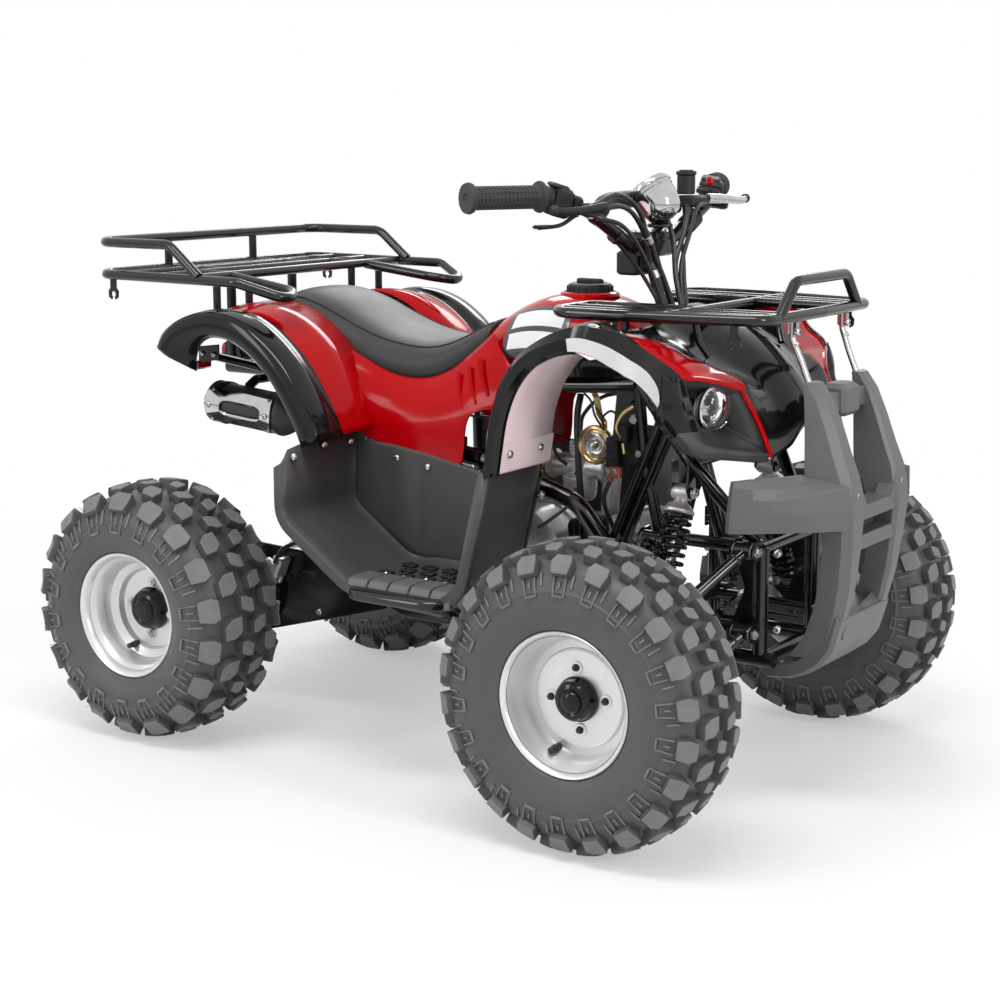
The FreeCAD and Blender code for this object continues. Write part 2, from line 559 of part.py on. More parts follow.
def tie_rods():
    """Tie rods with an eye at each end, from the drop arm to the steering arms."""
    foot, way = column_axis()
    forward = Y_AXIS.cross(way)
    low = foot - way * float(s.rod_eye_height * 3 - s.rest_clearance)
    inner = low + forward * float(s.steering_arm) + Y_AXIS * float(s.drop_eye_out)
    outer = at(s.front_axle_ahead + s.steering_arm, s.kingpin_out + s.steering_eye_shift,
               s.rod_eye_high + s.arm_plate / 2 + s.rod_drift)
    height = s.rod_eye_height - s.rest_clearance * 2
    eyes = [Part.makeCylinder(s.rod_eye_radius, height, inner, way),
            Part.makeCylinder(s.rod_end_radius, height, outer, Z_AXIS)]
    bores = [Part.makeCylinder(s.rod_eye_bore, height * 3, inner - way * float(height), way),
             Part.makeCylinder(s.rod_eye_bore + s.rod_end_play, height * 3, outer - at(0, 0, height), Z_AXIS)]
    half = float(height / 2)
    bar = rod(inner + way * half, outer + Z_AXIS * half, s.tie_rod_radius - s.rod_eye_slack)
    shape = union(eyes + [bar])
    for bore in bores:
        shape = shape.cut(bore)
    left = solid_part("tie_rod_left", shape)
    node("tie_rod_left", left)
    node("tie_rod_right", mirrored("tie_rod_right", left))


def handlebar():
    """The bent bar, its grips, the switch blocks with levers, and the clamp on the column."""
    foot, way = column_axis()
    top = at(s.column_top_ahead, 0, s.bar_clamp_high)
    half = [at(s.column_top_ahead, 0, s.bar_clamp_high), at(s.column_top_ahead, s.bar_clamp_out, s.bar_clamp_high),
            at(s.bar_rise_ahead, s.bar_rise_out, s.bar_rise_high),
            at(s.grip_inner_ahead, s.grip_inner_out, s.grip_high),
            at(s.grip_end_ahead, s.grip_end_out, s.grip_high)]
    path = [Vector(p.x, -p.y, p.z) for p in reversed(half[1:])] + half[1:]
    bar = tube(path, s.bar_radius, s.bar_bend)
    clamp = Part.makeBox(s.column_radius * 3, s.bar_clamp_out, s.column_radius * 3,
                         at(s.column_top_ahead - s.column_radius * 1.5, -s.bar_clamp_out / 2,
                            s.bar_clamp_high - s.column_radius * 1.5))
    shape = union([bar, clamp])
    shape = shape.cut(rod(foot, at(s.column_top_ahead, 0, s.column_top_high), s.column_radius))
    node("handlebar", solid_part("handlebar", shape))
    inner = at(s.grip_inner_ahead, s.grip_inner_out, s.grip_high)
    outer = at(s.grip_end_ahead, s.grip_end_out, s.grip_high)
    along = (outer - inner).normalize()
    grip = rod(inner, outer + along * float(s.bar_radius), s.grip_radius)
    grip = grip.cut(bar)
    node("grips", solid_part("grips", Part.makeCompound(both_sides(grip))))
    start = inner - along * float(s.switch_length + s.rest_clearance)
    case = rod(start, inner - along * float(s.rest_clearance), s.switch_radius)
    lever_foot = at(s.bar_rise_ahead, s.bar_rise_out, s.lever_ball_high) + at(s.switch_radius, 0, 0)
    ball = at(s.lever_ball_ahead, s.lever_ball_out, s.lever_ball_high)
    lever = rod(lever_foot, ball, s.lever_radius)
    master = Part.makeBox(s.master_height * 2, s.master_length, s.master_height,
                          at(s.bar_rise_ahead - s.master_height / 2, s.bar_rise_out - s.master_length / 2,
                             s.lever_ball_high - s.master_height / 4))
    controls = union([case, lever, master, Part.makeSphere(s.lever_radius * 1.6, ball)])
    controls = controls.cut(bar)
    node("switchgear", solid_part("switchgear", Part.makeCompound(both_sides(controls))))
    centre = at(s.gauge_ahead, 0, s.gauge_high)
    gauge = rod(centre - way * float(s.gauge_length / 2), centre + way * float(s.gauge_length / 2), s.gauge_radius)
    stalk = rod(top, centre, s.lever_radius)
    gauge = union([gauge, stalk]).cut(union([bar, clamp]))
    node("gauge", solid_part("gauge", gauge))


def belly_points():
    """The left belly rail's path: from the nose under the engine and up to the seat rail."""
    out = s.rail_out
    return [at(s.nose_tip_ahead, out, s.lower_rail_high), at(s.tower_ahead, out, s.lower_rail_high),
            at(0, out, s.belly_high), at(-s.belly_end_behind, out, s.belly_high),
            at(-s.belly_end_behind, out, s.seat_rail_high - s.tube_radius - s.rest_clearance)]


def frame_tubes():
    """The welded tube frame in three pieces: belly, nose and spine."""
    out = s.rail_out
    belly = tube(belly_points(), s.tube_radius, s.tube_bend)
    crosses = [rod(at(ahead, -out, high), at(ahead, out, high), s.cross_tube)
               for ahead, high in ((s.nose_tip_ahead - s.tube_radius * 2, s.lower_rail_high),
                                   (-s.belly_end_behind, s.belly_high + s.tube_radius * 2),
                                   (-s.belly_end_behind, s.frame_step_high),
                                   (s.crank_ahead - s.case_length * MOUNT_SHARE, s.belly_high),
                                   (s.crank_ahead + s.case_length * MOUNT_SHARE, s.belly_high))]
    pivots = [rod(at(-s.belly_end_behind, hand * out, s.swing_pivot_high),
                      at(-s.swing_pivot_behind, hand * out, s.swing_pivot_high), s.cross_tube)
              for hand in (1, -1)]
    node("frame_lower", solid_part("frame_lower", union(both_sides(belly) + crosses + pivots)))
    post = rod(at(s.nose_ahead, out, s.lower_rail_high + s.tube_radius),
               at(s.nose_ahead, out, s.upper_pivot_high), s.tube_radius)
    brace = tube([at(s.nose_ahead - s.small_tube, out - s.small_tube / 2, s.upper_pivot_high + s.small_tube),
                  at(s.tower_ahead, s.tower_out, s.tower_high), at(s.neck_ahead, out, s.neck_high)],
                 s.cross_tube + s.rest_clearance, s.tube_bend)
    top = rod(at(s.nose_ahead, out, s.upper_pivot_high), at(s.rear_pivot_ahead, out, s.upper_pivot_high),
              s.cross_tube)
    leg = rod(at(s.rear_pivot_ahead, out, s.lower_rail_high + s.tube_radius),
              at(s.rear_pivot_ahead, out, s.upper_pivot_high), s.tube_radius)
    low = rod(at(s.nose_ahead, out, s.lower_pivot_high), at(s.rear_pivot_ahead, out, s.lower_pivot_high),
              s.cross_tube)
    shock_ahead = s.front_axle_ahead + s.shock_set
    ear = rod(at(shock_ahead, s.tower_out, s.tower_high),
              at(shock_ahead, s.shock_top_out, s.shock_top_high + s.shock_eye + s.rest_clearance), s.small_tube)
    half = union([post, brace, top, leg, low, ear])
    cross = [rod(at(s.tower_ahead, -s.tower_out, s.tower_high), at(s.tower_ahead, s.tower_out, s.tower_high),
                 s.small_tube)]
    node("frame_front", solid_part("frame_front", union(both_sides(half) + cross)))


def frame_spine():
    """The spine from the steering neck to the seat rails, with the uprights that carry the rear rack."""
    out = s.seat_rail_out
    rail = tube([at(s.neck_ahead - s.tube_radius, out, s.neck_high), at(-s.seat_front_behind, out, s.seat_rail_high),
                 at(-s.seat_rail_end_behind, out, s.seat_rail_high)], s.tube_radius, s.tube_bend)
    crosses = [rod(at(ahead, -out, high), at(ahead, out, high), s.cross_tube)
               for ahead, high in ((s.neck_ahead - s.tube_radius * 2, s.neck_high),
                                   (s.tube_radius * 2 - s.seat_rail_end_behind, s.seat_rail_high),
                                   (-s.rear_shock_top_behind, s.seat_rail_high))]
    stay_ahead = s.small_tube - s.seat_rail_end_behind
    stay_top = s.rear_rack_high - s.rack_slat - s.rest_clearance
    stays = [rod(at(stay_ahead, hand * out, s.seat_rail_high), at(stay_ahead, hand * out, stay_top), s.small_tube)
             for hand in (1, -1)]
    foot, way = column_axis()
    share = (s.neck_high - s.column_foot_high) / (s.column_top_high - s.column_foot_high)
    seat = foot + at(s.column_top_ahead - s.column_foot_ahead, 0, s.column_top_high - s.column_foot_high) * float(share)
    half = way * float(s.bearing_length / 2)
    collar = rod(seat - half, seat + half, s.bearing_radius)
    tab_back = s.neck_ahead - s.tube_radius * 2
    tab = Part.makeBox(seat.x - s.column_radius - tab_back, s.bearing_radius * 1.5, s.small_tube,
                       at(tab_back, -s.bearing_radius * 0.75, s.neck_high - s.small_tube / 2))
    bore = rod(seat - half * 3, seat + half * 3, s.column_radius + s.rest_clearance)
    shape = union(both_sides(rail) + crosses + stays + [collar, tab])
    node("frame_spine", solid_part("frame_spine", shape.cut(bore)))


def suspension_arms():
    """Upper and lower arms of the front suspension, each two legs, two bushes and a ball joint boss."""
    ball_bore = s.ball_stud_radius + s.running_clearance
    arms = []
    for pivot_high, ball_high in ((s.upper_pivot_high, s.ball_upper_high),
                                  (s.lower_pivot_high, s.ball_lower_high)):
        ball = at(s.front_axle_ahead, s.kingpin_out, ball_high)
        boss = Part.makeCylinder(s.ball_boss_radius, s.ball_boss_length, ball - at(0, 0, s.ball_boss_length / 2))
        inner_out = s.rail_out + s.tube_radius + s.arm_bush_radius + s.rest_clearance
        parts = [boss]
        neck = at(s.front_axle_ahead, s.arm_neck_out, ball_high)
        parts.append(rod(ball, neck, s.arm_tube + s.rest_clearance))
        knee_share = (s.arm_knee_out - inner_out) / (s.arm_neck_out - inner_out)
        knee_high = pivot_high + (ball_high - pivot_high) * float(knee_share)
        for ahead, knee in ((s.nose_ahead - s.arm_bush_length / 2, s.front_axle_ahead + s.arm_knee_front),
                            (s.rear_pivot_ahead, s.front_axle_ahead - s.arm_knee_rear)):
            pivot = at(ahead, inner_out, pivot_high)
            parts.append(tube([pivot, at(knee, s.arm_knee_out, knee_high), neck], s.arm_tube, s.tube_bend))
            parts.append(rod(pivot - at(s.arm_bush_length / 2, 0, 0), pivot + at(s.arm_bush_length / 2, 0, 0),
                             s.arm_bush_radius))
        if float(pivot_high) == float(s.lower_pivot_high):
            foot = s.shock_foot_high - s.shock_eye - s.small_tube - s.rest_clearance
            parts.append(rod(at(s.front_axle_ahead - s.arm_knee_rear, s.shock_foot_out, foot),
                             at(s.front_axle_ahead + s.arm_knee_front, s.shock_foot_out, foot), s.small_tube))
        arm = union(parts)
        room = rod(ball - at(0, 0, s.ball_boss_length * 2), ball + at(0, 0, s.ball_boss_length * 2), ball_bore)
        above = Part.makeCylinder(s.kingpin_radius + s.arm_plate, s.ball_boss_length,
                                  ball + at(0, 0, s.ball_boss_length / 2))
        below = Part.makeCylinder(s.kingpin_radius + s.arm_plate, s.ball_boss_length,
                                  ball - at(0, 0, s.ball_boss_length * 1.5))
        arms.append(arm.cut(room).cut(above).cut(below))
    left = solid_part("arms_left", Part.makeCompound(arms))
    node("arms_left", left)
    node("arms_right", mirrored("arms_right", left))


def shock(top, foot):
    """A coil-over damper: body, spring envelope and an eye at each end."""
    way = (foot - top).normalize()
    across = X_AXIS
    half = float(s.shock_eye)
    eyes = [rod(end - across * half, end + across * half, s.shock_eye) for end in (top, foot)]
    body = rod(top, foot, s.shock_body)
    spring_top = top + way * float(s.shock_eye * 2)
    spring_foot = foot - way * float(s.shock_eye * 2.4)
    count = int(float((spring_foot - spring_top).Length / s.spring_pitch))
    coils = []
    for index in range(count):
        centre = spring_top + way * float(s.spring_pitch * (index + 0.5))
        coils.append(Part.makeCylinder(s.spring_radius, s.spring_pitch / 2, centre, way))
    return union([body] + eyes + coils)


def swing_bridge_high():
    """The height of the swingarm's legs where the rear shock stands on them."""
    share = (s.rear_shock_foot_behind - s.swing_pivot_behind) / (s.rear_axle_behind - s.swing_pivot_behind)
    return s.swing_pivot_high + (s.rear_tyre_radius - s.swing_pivot_high) * float(share)


def shocks():
    """The two front dampers and the single rear one."""
    front = shock(at((s.front_axle_ahead + s.shock_set), s.shock_top_out, s.shock_top_high),
                  at(s.front_axle_ahead + s.shock_set, s.shock_foot_out, s.shock_foot_high))
    node("front_shocks", solid_part("front_shocks", Part.makeCompound(both_sides(front))))
    top_high = s.seat_rail_high - s.cross_tube - s.shock_eye - s.rest_clearance
    foot_high = swing_bridge_high() + s.swing_tube + s.shock_eye + s.rest_clearance
    rear = shock(at(-s.rear_shock_top_behind, 0, top_high), at(-s.rear_shock_foot_behind, 0, foot_high))
    node("rear_shock", solid_part("rear_shock", rear))


def swingarm():
    """The swingarm with its axle carrier, the live axle running through."""
    axle = at(-s.rear_axle_behind, 0, s.rear_tyre_radius)
    carrier = rod(axle - Y_AXIS * float(s.carrier_half_length), axle + Y_AXIS * float(s.carrier_half_length),
                  s.carrier_radius)
    legs = [rod(at(-s.swing_pivot_behind, hand * s.swing_out, s.swing_pivot_high),
                at(-s.rear_axle_behind + s.carrier_radius / 2, hand * s.swing_out, s.rear_tyre_radius),
                s.swing_tube) for hand in (1, -1)]
    pivot_out = s.rail_out - s.cross_tube - s.rest_clearance
    pivot = rod(at(-s.swing_pivot_behind, -pivot_out, s.swing_pivot_high),
                at(-s.swing_pivot_behind, pivot_out, s.swing_pivot_high), s.swing_tube)
    bridge_ahead = -s.rear_shock_foot_behind
    bridge_high = swing_bridge_high()
    bridge = rod(at(bridge_ahead, -s.swing_out, bridge_high), at(bridge_ahead, s.swing_out, bridge_high),
                 s.swing_tube)
    shape = union([carrier, pivot, bridge] + legs)
    bore = rod(axle - Y_AXIS * float(s.carrier_half_length * 2), axle + Y_AXIS * float(s.carrier_half_length * 2),
               s.axle_radius + s.running_clearance)
    node("swingarm", solid_part("swingarm", shape.cut(bore)))


def drive_chain():
    """The chain's outline round both sprockets: two straight runs and two half circles."""
    big = at(-s.rear_axle_behind, s.sprocket_out, s.rear_tyre_radius)
    small = at(-s.swing_pivot_behind + s.drive_sprocket_ahead, s.sprocket_out, s.swing_pivot_high)
    outer = s.sprocket_radius + s.chain_clearance
    lesser = s.drive_sprocket_radius
    way = small - big
    tilt = math.asin(float(outer - lesser) / way.Length)
    heading = math.atan2(way.z, way.x)
    edges = []
    points = []
    for hand in (1.0, -1.0):
        angle = heading + hand * (math.pi / 2 - tilt)
        for centre, radius in ((big, outer), (small, lesser)):
            points.append(centre + Vector(math.cos(angle), 0, math.sin(angle)) * float(radius))
    far_big = big - Vector(math.cos(heading), 0, math.sin(heading)) * float(outer)
    far_small = small + Vector(math.cos(heading), 0, math.sin(heading)) * float(lesser)
    edges = [Part.LineSegment(points[0], points[1]).toShape(), Part.Arc(points[1], far_small, points[3]).toShape(),
             Part.LineSegment(points[3], points[2]).toShape(), Part.Arc(points[2], far_big, points[0]).toShape()]
    inner = Part.Face(Part.Wire(edges))
    loop = Part.Wire(edges).makeOffset2D(float(s.chain_height))
    band = Part.Face(loop).cut(inner)
    band.translate(Y_AXIS * float(-s.chain_width / 2))
    node("drive_chain", solid_part("drive_chain", band.extrude(Y_AXIS * float(s.chain_width))))


def guard_plate():
    """The black plate beside the brake disc that guards the swingarm from below."""
    back = -s.rear_axle_behind - s.guard_tail
    front = -s.swing_pivot_behind
    outline = [at(back, -s.guard_out, s.guard_low), at(front, -s.guard_out, s.guard_front_low),
               at(front, -s.guard_out, s.swing_pivot_high), at(back + s.guard_tail * 2, -s.guard_out,
                                                               s.swing_pivot_high + s.tube_radius),
               at(back, -s.guard_out, s.rear_tyre_radius)]
    plate = slab(outline, Y_AXIS, s.guard_thickness)
    bore = rod(at(-s.rear_axle_behind, -s.guard_out * 2, s.rear_tyre_radius),
               at(-s.rear_axle_behind, 0, s.rear_tyre_radius), s.hub_radius + s.chain_clearance)
    node("guard_plate", solid_part("guard_plate", plate.cut(bore)))


def engine():
    """Crankcase with round side covers, a finned cylinder and head, and the carburettor."""
    centre = at(s.crank_ahead, 0, s.crank_high)
    case = Part.makeBox(s.case_length, s.case_width, s.case_height,
                        centre - at(s.case_length / 2, s.case_width / 2, s.case_height / 2))
    case = case.makeFillet(float(s.cover_depth), [edge for edge in case.Edges if abs(edge.tangentAt(0).y) > 0.9])
    covers = [rod(centre, centre + Y_AXIS * float(hand * (s.case_width / 2 + s.cover_depth)), s.cover_radius)
              for hand in (1.0, -1.0)]
    shaft = at(-s.swing_pivot_behind + s.drive_sprocket_ahead, 0, s.swing_pivot_high)
    output = [rod(shaft, shaft + Y_AXIS * float(s.sprocket_out + s.sprocket_thickness), s.axle_radius),
              rod(shaft + Y_AXIS * float(s.sprocket_out - s.sprocket_thickness / 2),
                  shaft + Y_AXIS * float(s.sprocket_out + s.sprocket_thickness / 2),
                  s.drive_sprocket_radius - s.rest_clearance)]
    case_shape = union([case] + covers + output)
    node("engine_case", solid_part("engine_case", case_shape))
    way = at(s.cylinder_length, 0, s.cylinder_rise).normalize()
    foot = at(s.crank_ahead + s.case_length / 2 + s.rest_clearance, 0, s.crank_high + s.cylinder_rise)
    turn = Rotation(X_AXIS, way)

    def plate(start, size, thickness):
        box = Part.makeBox(thickness, size, size, Vector(0, -float(size) / 2, -float(size) / 2))
        box.Placement = Placement(foot + way * float(start), turn)
        return box

    parts = [plate(0.0, s.fin_core, s.cylinder_length)]
    count = int(float(s.cylinder_length * FINNED_SHARE / s.fin_pitch))
    for index in range(count):
        parts.append(plate(s.fin_pitch * (index + 0.8), s.fin_size, s.fin_thickness))
    parts.append(plate(s.cylinder_length * FINNED_SHARE, s.fin_size * HEAD_SHARE,
                       s.cylinder_length * (1.0 - FINNED_SHARE)))
    cylinder_shape = union(parts).cut(case_shape)
    node("engine_cylinder", solid_part("engine_cylinder", cylinder_shape))
    carb = at(s.carb_ahead, 0, s.carb_high)
    bowl = rod(carb - Z_AXIS * float(s.carb_size), carb, s.carb_size / 2)
    throat = rod(carb - X_AXIS * float(s.carb_size), carb + X_AXIS * float(s.carb_size), s.carb_size / 3)
    air = rod(carb - X_AXIS * float(s.carb_size * 2.2), carb - X_AXIS * float(s.carb_size), s.carb_size * 0.6)
    down = rod(carb + X_AXIS * float(s.carb_size * 0.9),
               at(s.carb_ahead + s.carb_size, 0, s.crank_high + s.fin_size / 2), s.pipe_radius)
    carb_shape = union([bowl, throat, air, down]).cut(cylinder_shape)
    node("carburettor", solid_part("carburettor", carb_shape))


def exhaust():
    """The header pipe along the right side and the silencer with its heat guard."""
    front = at(-s.silencer_front_behind, -s.silencer_out, s.silencer_front_high)
    rear = at(-s.silencer_rear_behind, -s.silencer_out, s.silencer_rear_high)
    way = (rear - front).normalize()
    body = rod(front, rear, s.silencer_radius)
    nose = Part.makeCone(s.pipe_radius, s.silencer_radius, s.silencer_radius, front - way * float(s.silencer_radius),
                         way)
    tip = rod(rear, rear + way * float(s.silencer_radius * 0.6), s.pipe_radius * 0.8)
    hanger = rod(rear - way * float(s.silencer_radius * 2),
                 at(-s.silencer_rear_behind + s.silencer_radius * 2, -s.seat_rail_out - s.tube_radius,
                    s.seat_rail_high), s.small_tube)
    hanger = hanger.cut(rod(at(-s.seat_rail_end_behind, -s.seat_rail_out, s.seat_rail_high),
                            at(s.crank_ahead, -s.seat_rail_out, s.seat_rail_high),
                            s.tube_radius + s.rest_clearance))
    silencer_shape = union([body, nose, tip, hanger])
    node("silencer", solid_part("silencer", silencer_shape))
    port = at(s.port_ahead, -s.fin_size * HEAD_SHARE / 2 - s.rest_clearance, s.crank_high + s.cylinder_rise * 2)
    path = [port, port - Y_AXIS * float(s.pipe_radius * 3), at(s.pipe_knee_ahead, -s.pipe_out, s.pipe_knee_high),
            at(s.pipe_mid_ahead, -s.pipe_out, s.pipe_high), at(-s.pipe_cross_behind, -s.pipe_out, s.pipe_cross_high),
            at(-s.pipe_rear_behind, -s.pipe_rear_out, s.pipe_rear_high),
            at(-s.pipe_turn_behind, -s.pipe_turn_out, s.pipe_turn_high),
            front - way * float(s.silencer_radius + s.rest_clearance)]
    pipe = tube(path, s.pipe_radius, s.tube_bend).cut(silencer_shape)
    node("exhaust_pipe", solid_part("exhaust_pipe", pipe))


def horn():
    """The horn: a shallow round drum facing sideways on a short bracket."""
    face = at(s.horn_ahead, -s.horn_out, s.horn_high)
    drum = rod(face, face + Y_AXIS * float(s.horn_depth), s.horn_radius)
    boss = rod(face - Y_AXIS * float(s.shell * 2), face, s.horn_radius * HORN_BOSS_SHARE)
    rise = rod(face + Y_AXIS * float(s.horn_depth / 2),
               at(s.horn_ahead, -s.seat_rail_out, s.horn_top_high), s.small_tube * HORN_BOSS_SHARE)
    node("horn", solid_part("horn", union([drum, boss, rise])))


def arch(points, thickness, inner, outer):
    """A shell strip of even thickness that follows a side profile from its inner to its outer edge."""
    face = []
    for index, point in enumerate(points):
        before = points[max(index - 1, 0)]
        after = points[min(index + 1, len(points) - 1)]
        way = (after - before).normalize()
        normal = Vector(-way.z, 0, way.x)
        face.append(point - normal * float(thickness))
    outline = points + list(reversed(face))
    outline = [Vector(p.x, float(inner), p.z) for p in outline]
    return slab(outline, Y_AXIS, outer - inner)


def front_fenders():
    """Front fenders: an arched shell with a deep outer lip."""
    points = [at(ahead, 0, high) for ahead, high in (
        (s.fender_heel_ahead, s.fender_heel_high), (s.fender_heel_ahead + s.fender_lip * 0.5, s.fender_knee_high),
        (s.fender_shoulder_ahead, s.fender_shoulder_high), (s.fender_rise_ahead, s.fender_rise_high),
        (s.fender_top_ahead, s.fender_top_high), (s.fender_fall_ahead, s.fender_fall_high),
        (s.fender_fall_ahead + s.fender_nose_reach, s.fender_nose_high))]
    sheet_shape = arch(points, s.shell, s.fender_in, s.fender_out)
    lip = arch(points, s.fender_lip, s.fender_out - s.shell, s.fender_out)
    left = solid_part("front_fender_left", union([sheet_shape, lip]))
    node("front_fender_left", left)
    node("front_fender_right", mirrored("front_fender_right", left))


def rear_fenders():
    """Rear fenders: an arched shell with an outer lip, open below for the tyre."""
    points = [at(-behind, 0, high) for behind, high in (
        (s.flare_tail_behind, s.flare_tail_high), (s.flare_back_behind, s.flare_back_high),
        (s.flare_top_behind, s.flare_top_high), (s.flare_fall_behind, s.flare_fall_high),
        (s.flare_knee_behind, s.flare_knee_high), (s.flare_foot_behind, s.flare_foot_high))]
    sheet_shape = arch(points, s.shell, s.seat_out + s.rest_clearance, s.flare_out)
    lip = arch(points, s.flare_lip, s.flare_out - s.shell, s.flare_out)
    left = solid_part("rear_fender_left", union([sheet_shape, lip]))
    node("rear_fender_left", left)
    node("rear_fender_right", mirrored("rear_fender_right", left))


def ring_section(ahead, shares, half_width, low, high):
    """A closed outline across the machine; each share pair is (share of half width, share of height)."""
    right = [at(ahead, half_width * out, low + (high - low) * up) for out, up in shares]
    return right + [Vector(p.x, -p.y, p.z) for p in reversed(right)]


def bodywork():
    """Hood, headlamps, tank cover with filler cap, side panels, seat and tail lamp."""
    hood = loft([
        ring_section(s.hood_rear_ahead, HOOD_REAR_SHARES, s.fender_in - s.rest_clearance,
                     s.hood_rear_high - s.hood_depth, s.hood_rear_high),
        ring_section(s.hood_ridge_ahead, HOOD_MIDDLE_SHARES, s.fender_in - s.rest_clearance, s.hood_side_high,
                     s.hood_ridge_high),
        ring_section(s.hood_nose_ahead, HOOD_NOSE_SHARES, s.brow_out, s.hood_tip_high, s.hood_nose_high),
    ], True)
    lamp_front = at(s.lamp_ahead + s.lamp_depth, s.lamp_out, s.lamp_high)
    lamp = rod(lamp_front - X_AXIS * float(s.lamp_depth * 2), lamp_front, s.lamp_radius)
    bezel = rod(lamp_front - X_AXIS * float(s.lamp_depth * 2), lamp_front - X_AXIS * float(s.lamp_depth / 2),
                s.lamp_radius + s.shell * 2)
    lamps = union([lamp, bezel])
    hollow = rod(lamp_front - X_AXIS * float(s.lamp_depth * 2 + s.rest_clearance),
                 lamp_front + X_AXIS * float(s.lamp_depth * 4), s.lamp_radius + s.shell * 2 + s.rest_clearance)
    for hand in (hollow, hollow.mirror(Vector(0, 0, 0), Y_AXIS)):
        hood = hood.cut(hand)
    node("hood", solid_part("hood", hood))
    node("headlamps", solid_part("headlamps", Part.makeCompound(both_sides(lamps))))
    tank = loft([
        ring_section(s.tank_front_ahead, TANK_SHARES, s.tank_out * TANK_NOSE_SHARE, s.tank_low_high,
                     s.tank_high - s.cap_height),
        ring_section(s.cap_ahead, TANK_SHARES, s.tank_out, s.tank_low_high, s.tank_high),
        ring_section(s.seat_front_ahead + s.seat_gap, TANK_SHARES, s.tank_out * TANK_TAIL_SHARE, s.tank_low_high,
                     s.seat_front_high),
    ], True)
    node("tank_cover", solid_part("tank_cover", tank))
    cap = cylinder("fuel_cap_disc", s.cap_radius, s.cap_height, at(s.cap_ahead, 0, s.tank_high), Z_AXIS)
    node("fuel_cap", cap)
    top_out = s.seat_out + s.rest_clearance
    low_out = s.foot_in - s.rest_clearance - s.panel_thickness

    def panel_section(ahead, top_high, low_high):
        inner = [at(ahead, top_out, top_high), at(ahead, low_out, low_high)]
        return inner + [p + Y_AXIS * float(s.panel_thickness) for p in reversed(inner)]

    panel = loft([panel_section(-s.panel_rear_behind, s.panel_top_high, s.panel_low_high),
                  panel_section(s.panel_front_ahead, s.panel_top_high + s.panel_thickness,
                                s.panel_front_low_high)], True)
    node("side_panels", solid_part("side_panels", Part.makeCompound(both_sides(panel))))
    seat = loft([
        ring_section(-s.seat_rear_behind, SEAT_SHARES, s.seat_out * SEAT_TAIL_SHARE, s.seat_tail_high,
                     s.seat_rear_high - s.cap_height),
        ring_section(-s.seat_rear_behind + s.cap_height, SEAT_SHARES, s.seat_out, s.seat_tail_high - s.cap_height,
                     s.seat_rear_high),
        ring_section(-s.seat_dip_behind * 2, SEAT_SHARES, s.seat_out, s.seat_low_high,
                     s.seat_dip_high + s.cap_height / 2),
        ring_section(-s.seat_dip_behind, SEAT_SHARES, s.seat_out, s.seat_low_high, s.seat_dip_high),
        ring_section(s.seat_front_ahead, SEAT_SHARES, s.seat_out * SEAT_TAIL_SHARE, s.seat_low_high
                     + s.cap_height * 2, s.seat_front_high),
    ], True)
    node("seat", solid_part("seat", seat))
    lamp = block("tail_lamp_lens", (s.lamp_tail_depth, s.lamp_tail_width, s.lamp_tail_height),
                 at(-s.seat_rail_end_behind - s.rest_clearance - s.lamp_tail_depth, -s.lamp_tail_width / 2,
                    s.lamp_tail_high - s.lamp_tail_height / 2))
    node("tail_lamp", lamp)


def footwells():
    """Footwells: a bent shell with an inner wall, raised treads, and the guard bars outside them."""
    profile = [at(-s.foot_rear_behind, 0, s.foot_rear_top), at(-s.foot_rear_behind, 0, s.foot_heel_high),
               at(-s.step_rear_behind, 0, s.step_high), at(s.step_front_ahead, 0, s.step_high),
               at(s.foot_front_ahead, 0, s.foot_front_top)]
    shell = arch(profile, s.foot_shell, s.foot_in, s.foot_out)
    wall_outline = [Vector(p.x, float(s.foot_in), p.z) for p in profile]
    wall_outline.append(at(s.step_front_ahead * 0.6, s.foot_in, s.foot_wall_top))
    wall_outline.append(at(-s.step_rear_behind * 2, s.foot_in, s.foot_wall_rear_top))
    wall = slab(wall_outline, Y_AXIS, s.foot_shell)
    pitch = (s.step_rear_behind + s.step_front_ahead) / s.tread_count
    treads = [Part.makeBox(pitch - s.tread_gap, s.tread_depth, s.tread_height,
                           at(-s.step_rear_behind + pitch * index + s.tread_gap / 2,
                              s.foot_out - s.tread_depth, s.step_high))
              for index in range(int(float(s.tread_count)))]
    left = solid_part("footwell_left", union([shell, wall] + treads))
    node("footwell_left", left)
    node("footwell_right", mirrored("footwell_right", left))
    low = s.belly_high
    under = s.step_high - s.foot_shell - s.nerf_radius - s.rest_clearance
    path = [at(-s.nerf_rear_behind, s.rail_out, low), at(-s.nerf_rear_behind, s.nerf_knee_out, under),
            at(-s.nerf_rear_behind, s.nerf_out, under + s.nerf_rise), at(s.nerf_front_ahead, s.nerf_out, under),
            at(s.nerf_front_ahead, s.nerf_knee_out, under), at(s.nerf_front_ahead, s.rail_out, low)]
    bar = tube(path, s.nerf_radius, s.tube_bend)
    rail = tube(belly_points(), s.tube_radius + s.rest_clearance, s.tube_bend)
    node("footrest_bars", solid_part("footrest_bars", Part.makeCompound(both_sides(bar.cut(rail)))))


